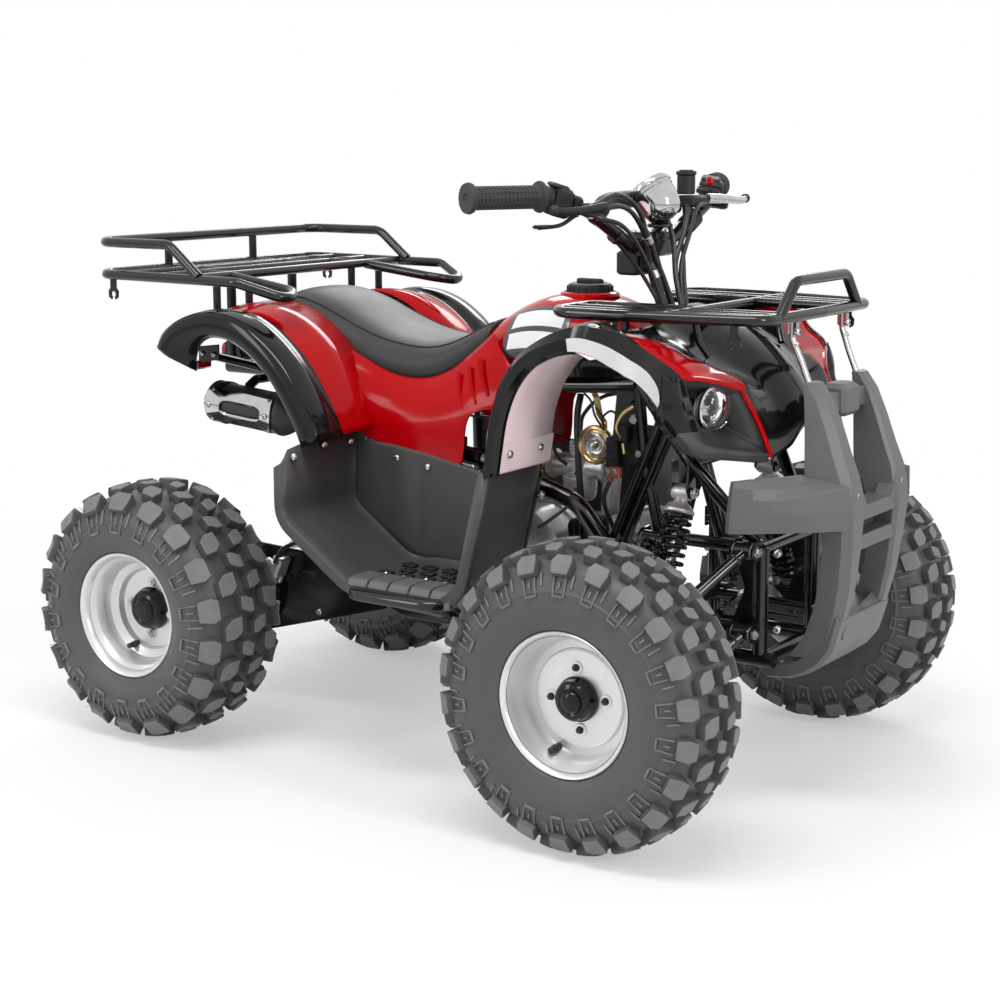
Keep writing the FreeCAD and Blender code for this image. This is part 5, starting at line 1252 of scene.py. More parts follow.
    def _lamp(self, word: str, side: int) -> None:
        """A round headlamp: faceted reflector, bulb, clear dome and bezel.

        Args:
            word: left or right, as in the piece's name.
            side: 1 for the left, -1 for the right.
        """
        centre = vec(*self.lamp)
        way = unit(vec(1, -0.24, -0.03))
        body = Shape().turned([(0.5, -26), (20, -24), (30, -12), (33, 0)], centre, way, 0, 28)
        body.turned([(33, -4), (36, -2), (36.5, 3), (34, 5), (32.5, 3)], centre, way, 1, 32)
        body.bar(centre - way * 20, centre - way * 2, 6, 1, 12, 1)
        dome = Shape().turned([(33.5, 2), (30, 8), (22, 13), (12, 16), (0.1, 17)], centre, way, 0, 32)
        if side > 0:
            body, dome = body.mirror(), dome.mirror()
        names = ["headlamps"] if side < 0 else []
        make_piece(f"headlamp_{word}", body, [Finishes.MIRROR, Finishes.CHROME], names, crease=40)
        make_piece(f"headlamp_glass_{word}", dome, [Finishes.LENS])


@dataclass
class Tank:
    """The red tank cover, saddle sides, filler cap and the generic side panels."""

    cap: tuple[float, float, float] = (187.0, 0.0, 809.0)
    dark: int = 10

    COVER = (
        (306, [(0, 752), (40, 748), (74, 734), (92, 712), (96, 694), (90, 680)]),
        (276, [(0, 782), (48, 778), (88, 760), (112, 730), (120, 704), (112, 680)]),
        (232, [(0, 800), (54, 796), (102, 776), (128, 744), (138, 712), (128, 679)]),
        (187, [(0, 806), (56, 802), (106, 783), (132, 750), (142, 715), (132, 679)]),
        (140, [(0, 804), (54, 800), (102, 780), (130, 748), (140, 712), (130, 679)]),
        (96, [(0, 790), (50, 786), (96, 768), (124, 738), (134, 706), (126, 679)]),
        (60, [(0, 772), (44, 768), (86, 752), (112, 728), (122, 702), (116, 679)]),
        (42, [(0, 758), (40, 754), (80, 740), (106, 720), (114, 698), (110, 679)]),
    )
    SADDLE = (
        [(74, -122, 742), (98, -138, 716), (128, -150, 690), (146, -156, 664), (150, -158, 642),
         (149, -158, 638)],
        [(44, -124, 716), (66, -142, 690), (92, -155, 660), (106, -162, 634), (108, -163, 624),
         (106, -163, 620)],
        [(12, -126, 690), (28, -146, 662), (46, -160, 640), (54, -166, 618), (55, -168, 606),
         (52, -169, 600)],
        [(-18, -129, 670), (-4, -149, 646), (14, -164, 620), (26, -170, 592), (32, -172, 556),
         (36, -172, 512)],
        [(-58, -131, 656), (-48, -151, 634), (-38, -166, 608), (-32, -172, 580), (-28, -173, 552),
         (-26, -173, 521)],
        [(-104, -133, 654), (-97, -153, 632), (-90, -167, 606), (-86, -173, 580), (-84, -174, 556),
         (-82, -174, 534)],
        [(-152, -134, 664), (-146, -154, 640), (-141, -168, 612), (-138, -174, 588), (-136, -175, 566),
         (-135, -175, 543)],
        [(-204, -136, 686), (-199, -156, 660), (-195, -170, 630), (-191, -175, 604), (-188, -176, 584),
         (-186, -176, 562)],
        [(-262, -138, 712), (-256, -158, 690), (-246, -172, 662), (-238, -177, 640), (-230, -178, 618),
         (-224, -178, 596)],
    )
    RIBS = (((58, -146, 700), (88, -164, 640)), ((38, -146, 684), (66, -166, 624)),
            ((16, -146, 672), (40, -167, 612)))

    def build(self) -> None:
        """Builds the cover, the cap and the side panels."""
        self._cover()
        self._cap()
        self._sides()

    def _cover(self) -> None:
        """The crowned cover, its flanks creased as on the real one, and the film on its sides."""
        rows = [whole((ahead, out, high) for out, high in line) for ahead, line in self.COVER]
        grid = woven(rows, 4, 4, sharp=(2, 8))
        shape = Shape().skin(grid, lambda down, across: int(down < self.dark and not 8 <= across < 32))
        make_piece("tank_shell", shape, [Finishes.RED, Finishes.GLOSS_BLACK], ["tank_cover"], crease=36)
        film = Shape()
        for first, last, push in ((3, 13, -1), (27, 37, 1)):
            patch = [[point + vec(0, 1.2 * push, 0.9) for point in row[first:last + 1]] for row in grid[9:21]]
            film.rows(patch, marks=self._film_mark)
        make_piece("tank_film", film, [Finishes.DARK_FILM, Finishes.WHITE])

    def _cap(self) -> None:
        """The black filler cap in its red well."""
        x, y, z = self.cap
        well = Shape().turned([(52, z - 7), (50, z - 2), (44, z + 0.5), (40, z - 5), (38, z - 5)], (x, y, 0),
                              (0, 0, 1), 0, 40)
        cap = well.turned([(38, z - 5), (38, z + 10), (36, z + 13), (30, z + 15), (26, z + 13), (0, z + 13)],
                          (x, y, 0), (0, 0, 1), 1, 40)
        for index in range(20):
            turn = TURN * index / 20
            cap.block((x + 38 * math.cos(turn), y + 38 * math.sin(turn), z + 3), (4, 6, 14), 1, 1,
                      Matrix.Rotation(turn, 4, "Z"))
        cap.block((x, y, z + 17), (50, 12, 10), 1, 2.5)
        make_piece("filler_cap", cap, [Finishes.RED, Finishes.MATTE_BLACK], ["fuel_cap"])

    def _sides(self) -> None:
        """The red saddle side with its ribs, running from the tank down to the footwell."""
        shape = Shape().rows(woven(self.SADDLE, 5, 5))
        for start, end in self.RIBS:
            middle = (vec(*start) + vec(*end)) / 2 + vec(0, -3, 0)
            shape.tube(flowing([start, middle, end], 4), 3, 0, 8)
        make_piece("saddle_sides", shape.both(), [Finishes.RED], ["side_panels"], crease=40, thick=2.4)

    def _film_mark(self, down: int, across: int) -> int:
        """White fields inside the dark film, split by one dark line."""
        return 1 if 1 <= down < 10 and 2 <= across < 9 and across != 5 else 0


@dataclass
class Seat:
    """The long padded seat, its piping and its sewn seams."""

    HALF = ((0, 1), (0.34, 0.985), (0.62, 0.93), (0.84, 0.80), (0.96, 0.62), (1, 0.42), (1, 0.20),
            (0.97, 0.06), (0.92, 0))
    SECTIONS = ((-428, 70, 742, 764), (-420, 96, 722, 782), (-400, 114, 706, 792), (-360, 124, 690, 792),
                (-310, 128, 676, 778), (-250, 130, 660, 752), (-190, 130, 650, 730), (-130, 129, 645, 718),
                (-80, 126, 646, 716), (-40, 120, 656, 724), (-8, 110, 674, 738), (20, 100, 698, 752),
                (38, 92, 714, 760), (42, 84, 724, 756))
    SEAM = ((-392, 121, 716), (-352, 129, 742), (-310, 130, 735), (-272, 131, 702), (-258, 130, 664))

    def build(self) -> None:
        """Builds the cushion and its seams from SECTIONS: how far ahead, half width, lower edge and top."""
        rows = [whole((ahead, wide * out, low + (top - low) * up) for out, up in self.HALF)
                for ahead, wide, low, top in self.SECTIONS]
        grid = woven(rows, 3, 4)
        cushion = make_piece("seat_cushion", Shape().skin(grid), [Finishes.VINYL], ["seat"], crease=60)
        seams = Shape()
        for side in (1, -1):
            seams.tube([row[len(row) // 2 + side * 8] + vec(0, side * 0.4, 0.4) for row in grid[4:-4]], 1.6,
                       0, 8)
            seams.tube(flowing([(x, y * side, z) for x, y, z in self.SEAM], 6), 1.5, 0, 8)
        make_piece("seat_seams", seams, [Finishes.THREAD])


@dataclass
class Bumper:
    """The grey moulded guard: two uprights, faceted wings, slotted face and swept chin."""

    wall: float = 5.0

    UPRIGHT = ((696, 641, 658, 68, 110), (670, 645, 676, 66, 112), (629, 648, 693, 64, 114),
               (584, 650, 709, 63, 116), (552, 652, 722, 62, 118), (520, 670, 729, 60, 120),
               (488, 678, 730, 60, 122), (450, 684, 728, 60, 116), (381, 676, 721, 60, 108),
               (343, 667, 713, 60, 103), (290, 648, 699, 60, 97), (256, 620, 676, 58, 92),)
    WING = (
        [(649, 116, 553), (636, 147, 553), (622, 178, 554), (607, 209, 555), (593, 240, 555)],
        [(690, 116, 549), (667, 150, 545), (642, 190, 541), (615, 221, 544), (592, 241, 547)],
        [(727, 116, 543), (688, 156, 534), (643, 205, 526), (617, 223, 527), (590, 241, 532)],
        [(728, 116, 508), (690, 158, 504), (645, 206, 502), (616, 224, 502), (587, 241, 503)],
        [(726, 116, 474), (686, 158, 474), (632, 205, 474), (610, 224, 474), (585, 240, 474)],
    )
    CHIN = ((709, 322, 99), (702, 296, 98), (694, 270, 97), (676, 246, 95), (650, 227, 91), (618, 214, 87),
            (578, 208, 80))

    def build(self) -> None:
        """Builds the guard and its screws."""
        shape = Shape()
        shape.join(self._upright()).join(self._wing()).join(self._chin())
        shape.both()
        shape.join(self._bridges())
        make_piece("bumper_shell", shape, [Finishes.BUMPER], ["front_bumper"], crease=17, ease=2.2)
        screws = Shape()
        for side in (1, -1):
            screws.screw((724.5, 84 * side, 522), (1, 0, 0.1), 7)
            screws.screw((602, -78 * side, 232), (0.2, -1 * side, 0), 8)
            screws.screw((608, 112 * side, 300), (0.2, side, 0), 7)
            screws.screw((606, 112 * side, 423), (0.2, side, 0), 7)
        make_piece("bumper_screws", screws, [Finishes.STEEL])

    def _upright(self) -> Shape:
        """The left upright from its top down to the chin, with a crease along its face.

        Returns:
            The upright.
        """
        rows = []
        for high, back, front, inner, outer in self.UPRIGHT:
            rows.append([(back, inner, high), (front - 6, inner, high), (front, inner + 7, high),
                         (front, outer - 16, high), (front - 12, outer, high), (back, outer + 2, high)])
        return Shape().rows(rows, 0, ring=True, caps=True)

    def _wing(self) -> Shape:
        """The left wing, which sweeps back over the suspension in flat facets.

        Returns:
            The wing.
        """
        outside = [[np.array(p, float) for p in row] for row in self.WING]
        inside = [[p + vec(-self.wall * 1.6, -self.wall * 0.9, 0) for p in row] for row in outside]
        shape = Shape().rows(outside, 0)
        shape.rows([list(reversed(row)) for row in inside], 0)
        shape.rows([inside[0], outside[0]], 0).rows([outside[-1], inside[-1]], 0)
        shape.rows([[row[-1] for row in outside], [row[-1] for row in inside]], 0)
        return shape.rows([[row[0] for row in inside], [row[0] for row in outside]], 0)

    def _chin(self) -> Shape:
        """The left half of the skid that curves back below.

        Returns:
            The left half of the chin.
        """
        rows = []
        for ahead, high, wide in self.CHIN:
            rows.append([(ahead, 0, high), (ahead, wide - 8, high), (ahead - 5, wide, high + 4),
                         (ahead - 14, wide, high + 22), (ahead - 20, wide - 7, high + 24),
                         (ahead - 12, 0, high + 7)])
        return Shape().rows(rows, 0, ring=True, caps=True)

    def _bridges(self) -> Shape:
        """The cross pieces between the uprights: the boss bar, the slot's edges and the lower window's sill.

        Returns:
            The cross pieces.
        """
        shape = Shape()
        for high, front, tall, deep in ((660, 668, 30, 24), (493, 727, 22, 40), (446, 725, 22, 34)):
            rows = []
            for out in (-70, -40, 40, 70):
                rows.append([(front - deep, out, high - tall / 2), (front, out, high - tall / 2),
                             (front - 2, out, high + tall / 2), (front - deep - 3, out, high + tall / 2)])
            shape.rows(rows, 0, ring=True, caps=True)
        shape.block((654, 0, 661), (44, 62, 52), 0, 7)
        for side in (1, -1):
            corner = [(727, 70 * side, 500), (727, 46 * side, 500), (726, 62 * side, 524),
                      (724, 70 * side, 548)]
            shape.plate(corner if side > 0 else list(reversed(corner)), (-30, 0, 0), 0)
        shape.block((688, 0, 469), (6, 136, 40), 0, 1)
        sill = [(709, 0, 325), (702, 0, 288), (664, 0, 286), (646, 0, 336)]
        rows = [[p * vec(1, 0, 1) + vec(0, out, 0) for p in sill] for out in (-70, 70)]
        return shape.rows(rows, 0, ring=True, caps=True)


@dataclass
class Racks:
    """The two luggage racks of bent black tube, with their hooks, stays and struts."""

    tube: float = 9.0
    slat: float = 7.0
    bend: float = 36.0

    HOOK = ((7, 0), (7, -16), (12, -22), (11, -33), (5, -37), (3, -33), (6, -29), (5, -24))

    def build(self) -> None:
        """Builds both racks."""
        self._rear()
        self._front()

    def _rear(self) -> None:
        """The rear rack: lower loop with two ears, upper rail with posts, slats and stays."""
        out, low, high, back = 304, 822, 880, -679
        half = Shape()
        half.tube(bent([(back, 0, low), (back, out, low), (-345, out, low - 2), (-262, 262, 790),
                        (-296, 208, 800), (-452, 196, low - 2)], self.bend), self.tube, 0, 16)
        half.tube(bent([(back, 0, high), (back, out, high), (-500, out, high), (-432, out, low + 4)],
                       self.bend), self.tube, 0, 16)
        half.bar((back, 120, low), (back, 120, high), self.tube * 0.85, 0, 14)
        half.tube(bent([(-600, 0, low), (-600, 150, low), (-540, 190, low), (-452, 190, low)], 24), self.slat,
                  0, 12)
        half.bar((-678, 118, low), (-540, 118, low), self.slat, 0, 12)
        half.bar((-452, 0, low), (-452, out, low), self.tube * 0.9, 0, 14)
        half.bar((-540, 0, low), (-540, out, low), self.slat, 0, 12)
        half.bar((-620, 0, low), (-620, out, low), self.slat, 0, 12)
        for ahead, across, foot in ((-551, 88, 640), (-452, 150, 762), (-452, 236, 757)):
            half.bar((ahead, across, low), (ahead, across, foot), self.tube * 0.8, 0, 12)
        half.block((-551, 88, low - 12), (34, 24, 4), 0, 1)
        half.join(self._hook((-640, out, low - 8)))
        make_piece("rear_rack_bars", half.both(), [Finishes.TUBE], ["rear_rack"], crease=40)

    def _hook(self, top: Point) -> Shape:
        """A flat open hook that hangs below a rail.

        Args:
            top: the middle of its upper edge.

        Returns:
            The hook.
        """
        x, y, z = top
        left = [(-out, drop) for out, drop in reversed(self.HOOK)]
        ring = [left[-1], *self.HOOK, (0, -21), *left[:-1]]
        return Shape().plate([(x + out, y, z + drop) for out, drop in ring], (0, 3, 0), 0)

    def _front(self) -> None:
        """The front rack: an open loop with three rails a side, a raised hoop and chrome struts."""
        high, front, rear, wide, nose = 796, 618, 254, 235, 194
        half = Shape()
        half.tube(bent([(front, 0, high), (front - 6, nose, high), (400, wide, high), (rear + 26, wide, high),
                        (rear, wide - 26, high), (rear, 118, high), (rear + 14, 106, high), (432, 106, high)],
                       self.bend), self.tube, 0, 16)
        for across, ahead in ((150, 128), (188, 158)):
            half.tube([(rear + 4, across, high), (400, across, high), (front - 6, ahead, high)], self.slat, 0,
                      12)
        half.bar((440, 110, high), (front, 98, high), self.slat, 0, 12)
        half.bar((440, 0, high), (440, wide - 6, high), self.slat, 0, 12)
        half.tube(bent([(front - 4, 144, high), (front - 2, 92, 851), (front - 2, 0, 851)], 26),
                  self.tube * 0.98, 0, 16)
        half.tube(bent([(322, 112, high - 2), (322, 104, 736), (338, 88, 682)], 20), self.slat, 0, 12)
        half.tube(bent([(470, 150, high - 2), (474, 140, 752), (486, 128, 728)], 16), self.slat * 0.8, 0, 10)
        half.block((478, 150, high - 10), (34, 20, 4), 0, 1)
        half.join(self._hook((570, 204, high - 8)))
        make_piece("front_rack_bars", half.both(), [Finishes.TUBE], ["front_rack"], crease=40)
        struts = Shape()
        for side in (1, -1):
            line = bent([(front - 6, 92 * side, high - 6), (612, 92 * side, 762), (626, 88 * side, 728),
                         (642, 88 * side, 690)], 16)
            struts.tube(line, 6, 0, 14, flat=0.8)
            struts.block((613, 92 * side, high - 18), (18, 9, 24), 0, 2)
            struts.screw((621, 92 * side, high - 24), (1, 0, 0), 6.5)
            struts.screw((620, 91 * side, high - 44), (1, 0, 0), 5)
        make_piece("front_rack_struts", struts, [Finishes.CHROME], crease=40)


@dataclass
class Controls:
    """Everything that turns with the handlebar."""

    grip_inner: tuple[float, float, float] = (269.0, -280.0, 978.0)
    grip_end: tuple[float, float, float] = (217.0, -392.0, 978.0)
    bar_radius: float = 11.0

    CABLES = (
        ([(328, -214, 950), (336, -168, 962), (334, -110, 948), (328, -52, 902), (350, -20, 820),
          (392, -14, 690)], 4.2),
        ([(318, -200, 964), (326, -140, 978), (332, -80, 944), (330, -42, 862), (362, -26, 770),
          (396, -24, 690)], 4.2),
        ([(322, -204, 944), (338, -150, 930), (340, -90, 884), (356, -48, 800), (388, -34, 690)], 3.6),
        ([(314, 104, 958), (332, 76, 944), (340, 50, 912), (344, 14, 858), (360, 10, 790),
          (390, 12, 690)], 4.6),
        ([(328, 148, 958), (338, 96, 950), (346, 62, 916), (350, 22, 850), (362, 20, 780),
          (392, 22, 690)], 4),
        ([(300, -186, 940), (296, -116, 912), (316, -52, 850), (350, -22, 770), (384, -20, 690)], 3.4),
        ([(332, 8, 932), (340, 14, 898), (352, 2, 840), (368, 4, 770), (392, 4, 690)], 4.4),
        ([(306, 96, 906), (330, 66, 874), (352, 36, 812), (380, 14, 740), (392, 12, 690)], 3.4),
    )
    HALF_BAR = ((303, 60, 892), (303, 200, 956), (269, 280, 978), (217, 392, 978))
    BOWL = ((0.5, -2), (13, 0), (23, 4), (30, 12), (34, 24), (35.5, 38), (35.5, 50), (37, 51), (37, 54),
            (35.5, 55), (35.5, 57), (38, 58), (38, 65), (36.5, 67), (34, 67), (33.5, 64))

    def build(self) -> None:
        """Builds the column, bar, grips, controls, gauge and cables."""
        self._column()
        self._bar()
        self._grips()
        self._controls()
        self._gauge()
        self._cables()

    def _column(self) -> None:
        """The steering column with its drop arm."""
        way = unit(STEERING_TOP - STEERING_FOOT)
        low = STEERING_FOOT - way * 24
        shape = Shape().bar(low, STEERING_TOP, 13, 0, 28, 1.5)
        forward = unit(np.cross((0, 1, 0), way))
        arm = ((0, -18), (34, -27), (52, -27), (62, -17), (62, 17), (52, 27), (34, 27), (0, 18))
        shape.plate([low + forward * reach + vec(0, out, 0) for reach, out in arm], way * 8, 0)
        for side in (1, -1):
            eye = low + forward * 50 + vec(0, 15 * side, 0)
            shape.nut(eye + way * 8, way, 8, 1)
            shape.bar(eye + way * 8, eye - way * 16, 5.9, 1, 12)
        make_piece("steering_shaft", shape, [Finishes.TUBE, Finishes.STEEL], ["steering_column"],
                   body="steering")

    def _bar(self) -> None:
        """The bent bar with its clamp on the column, and a lead and a collar on each side."""
        path = [*((x, -y, z) for x, y, z in reversed(self.HALF_BAR)), *self.HALF_BAR]
        shape = Shape().tube(bent(path, 45), self.bar_radius, 0, 20)
        shape.block((303, 0, 888), (40, 92, 30), 0, 3)
        shape.block((303, 0, 908), (34, 84, 12), 0, 2)
        for side in (1, -1):
            for shift in (-12, 12):
                shape.screw((303 + shift, 34 * side, 914), (0, 0, 1), 5.5, 1)
            shape.tube(flowing([(309, 66 * side, 896), (306, 120 * side, 926), (305, 176 * side, 950)], 5),
                       3.4, 0, 8)
            shape.bar((303, 104 * side, 909), (303, 116 * side, 915), 14, 0, 20, 1.5)
        make_piece("handlebar_tube", shape, [Finishes.TUBE, Finishes.STEEL], ["handlebar"], body="steering")

    def _grips(self) -> None:
        """Ribbed rubber grips with flanged ends."""
        shape = Shape()
        start, end = vec(*self.grip_inner), vec(*self.grip_end)
        length = float(np.linalg.norm(end - start)) + 11
        outline = [(11.2, 0), (24, 0), (25, 3), (24, 6), (18, 9)]
        rib, along = 7, 12
        while along < length - 16:
            outline += [(16.4, along), (17.8, along + 1.2), (17.8, along + rib - 2.2),
                        (16.4, along + rib - 1)]
            along += rib
        outline += [(17, length - 12), (23, length - 9), (24.5, length - 5), (23, length), (9, length + 0.5),
                    (6, length - 2), (0, length - 2)]
        shape.turned(outline, start, end - start, 0, 36)
        way = unit(end - start)
        side = unit(np.cross(way, vec(0, 0, 1)))
        for index in range(12):
            turn = TURN * index / 12
            spoke = side * math.cos(turn) + np.cross(side, way) * math.sin(turn)
            shape.bar(start + way * 14 + spoke * 17.2, start + way * (length - 16) + spoke * 17.2, 1.2, 0, 6)
        make_piece("hand_grips", shape.both(), [Finishes.GRIP], ["grips"], body="steering", crease=30)

    def _controls(self) -> None:
        """Everything on the bar besides the grips, as one piece."""
        shape = Shape()
        for side in (1, -1):
            self._hand(shape, side)
        self._middle(shape)
        make_piece("switches_and_levers", shape,
                   [Finishes.MATTE_BLACK, Finishes.STEEL, Finishes.RED_LENS, Finishes.RED], ["switchgear"],
                   body="steering")

    def _hand(self, shape: Shape, side: int) -> None:
        """The switch block, perch and ball-ended lever of one hand.

        Args:
            shape: the shape that they are added to.
            side: 1 for the left, -1 for the right.
        """
        hand = vec(1, side, 1)
        inner = vec(269, 280, 978) * hand
        way = unit((vec(303, 200, 956) - vec(269, 280, 978)) * hand)
        turn = Vector((1, 0, 0)).rotation_difference(Vector(way)).to_matrix().to_4x4()
        shape.bar(inner + way * 2, inner + way * 15, 19, 0, 24, 2)
        block, perch = inner + way * 34, inner + way * 66 + vec(24, 0, -6)
        shape.block(block, (34, 42, 46), 0, 5, turn, 0.94)
        shape.block(block + vec(0, 0, 24), (26, 34, 8), 0, 3, turn)
        shape.block(inner + way * 62, (16, 34, 34), 0, 4, turn)
        for shift, mark in ((-8, 2), (8, 0)):
            button = block + way * shift + vec(-21, 0, 6)
            shape.bar(button, button + vec(-6, 0, 0), 4.5, mark, 12, 1)
        shape.block(perch, (30, 26, 20), 0, 4, turn)
        shape.bar(perch + vec(4, 0, -13), perch + vec(4, 0, 13), 6, 1, 12, 1)
        start = vec(328, 152, 964) if side > 0 else perch + vec(6, -4, 0)
        lever = ((336, 200, 962), (333, 250, 958), (325, 290, 957), (317, 316, 959))
        line = flowing([start, *[p * hand for p in lever]], 6)
        shape.tube(line, [6.5 - 2.2 * k / len(line) for k in range(len(line))], 1 if side > 0 else 0, 12,
                   flat=1.3)
        ball = [(8.5 * math.sin(a), -8.5 * math.cos(a)) for a in np.linspace(0.05, 3.1, 9)]
        shape.turned(ball, vec(316, 316, 959) * hand, (0, side, 0), 0, 16)

    def _middle(self, shape: Shape) -> None:
        """The fluid pot, ignition switch, crossbar pad and throttle paddle.

        Args:
            shape: the shape that they are added to.
        """
        pot = vec(308, 112, 972)
        for low, high, radius, sides, edge in (
                (0, 33, 15.5, 32, 2), (32, 39, 17.5, 32, 1.5), (38, 41, 12, 24, 0.8)):
            shape.bar(pot + vec(0, 0, low), pot + vec(0, 0, high), radius, 0, sides, edge)
        shape.bar((303, 122, 918), (303, 152, 933), 17, 0, 24, 2)
        shape.bar(pot + vec(-4, 12, -20), (303, 132, 926), 9, 0, 16)
        for centre, sides, mark, ease in (
                (pot + vec(4, 12, -12), (40, 56, 20), 0, 4), (pot + vec(14, 36, -16), (18, 22, 22), 0, 3),
                ((286, -18, 863), (40, 62, 40), 0, 4), ((309, -18, 866), (8, 44, 26), 0, 2),
                ((302, 208, 992), (10, 16, 14), 3, 3), ((276, -284, 932), (26, 30, 6), 0, 2.5)):
            shape.block(centre, sides, mark, ease)
        for step in (-14, 14):
            shape.screw((314, step - 18, 866), (1, 0, 0), 4.5, 1)
        pad = flowing([(284, -132, 944), (272, -96, 962), (268, -40, 966), (268, 40, 966), (272, 96, 962),
                       (284, 132, 944)], 5)
        shape.tube(pad, [6, 10] + [14.5] * (len(pad) - 4) + [10, 6], 0, 20)
        shape.tube(flowing([(300, -236, 946), (292, -262, 934), (270, -290, 930)], 5), 5, 0, 10, flat=0.6)

    def _gauge(self) -> None:
        """The bullet-shaped chrome speedometer with a generic dial."""
        way = unit(vec(-0.60, 0, 0.80))
        foot = vec(338, 0, 936)
        shape = Shape().turned(self.BOWL, foot, way, 0, 56)
        shape.turned([(33.5, 64), (0.3, 64)], foot, way, 1, 48)
        side = unit(np.cross(way, vec(0, 1, 0)))
        for index in range(21):
            turn = math.radians(-130 + 260 * index / 20)
            spoke = side * math.cos(turn) + vec(0, 1, 0) * math.sin(turn)
            deep = 24 if index % 2 == 0 else 27
            shape.bar(foot + way * 64.6 + spoke * deep, foot + way * 64.6 + spoke * 31, 0.7, 2, 4)
        shape.tube([foot + way * 65.2, foot + way * 65.2 + unit(side + vec(0, -0.6, 0)) * 24], 1, 3, 6)
        shape.bar(foot + way * 64, foot + way * 67, 4, 1, 12, 0.8)
        shape.bar(vec(308, 0, 904), foot + way * 6, 7, 4, 14)
        shape.block((322, 0, 924), (34, 30, 7), 4, 2)
        make_piece("speedometer", shape,
                   [Finishes.CHROME, Finishes.ENGINE_BLACK, Finishes.WHITE, Finishes.RED, Finishes.TUBE],
                   ["gauge"], body="steering", crease=40)

    def _cables(self) -> None:
        """The control cables that arch from the levers down along the column, with their silver sleeves."""
        shape = Shape()
        for points, radius in self.CABLES:
            shape.tube(flowing(points, 8), radius, 0, 10)
        for start, end in (((330, -62, 914), (331, -46, 892)), ((330, -40, 858), (338, -34, 834))):
            first, last = vec(*start), vec(*end)
            way = unit(last - first)
            shape.tube([first - way * 22, first, last, last + way * 20], [5, 7, 7, 5], 0, 12)
            shape.bar(first + way * 6, last - way * 6, 7.8, 1, 16, 1)
        make_piece("control_cables", shape, [Finishes.HOSE, Finishes.STEEL], body="steering")


def weld(shape: Shape, spot: Point, way: Point, radius: float, mark: int = 0) -> None:
    """A weld bead round a tube's end."""
    centre, axis = np.array(spot, float), unit(np.array(way, float))
    shape.turned([(radius + 3.2, -1.5), (radius + 2.6, 1.6), (radius + 0.4, 3.4)], centre, axis, mark, 18)


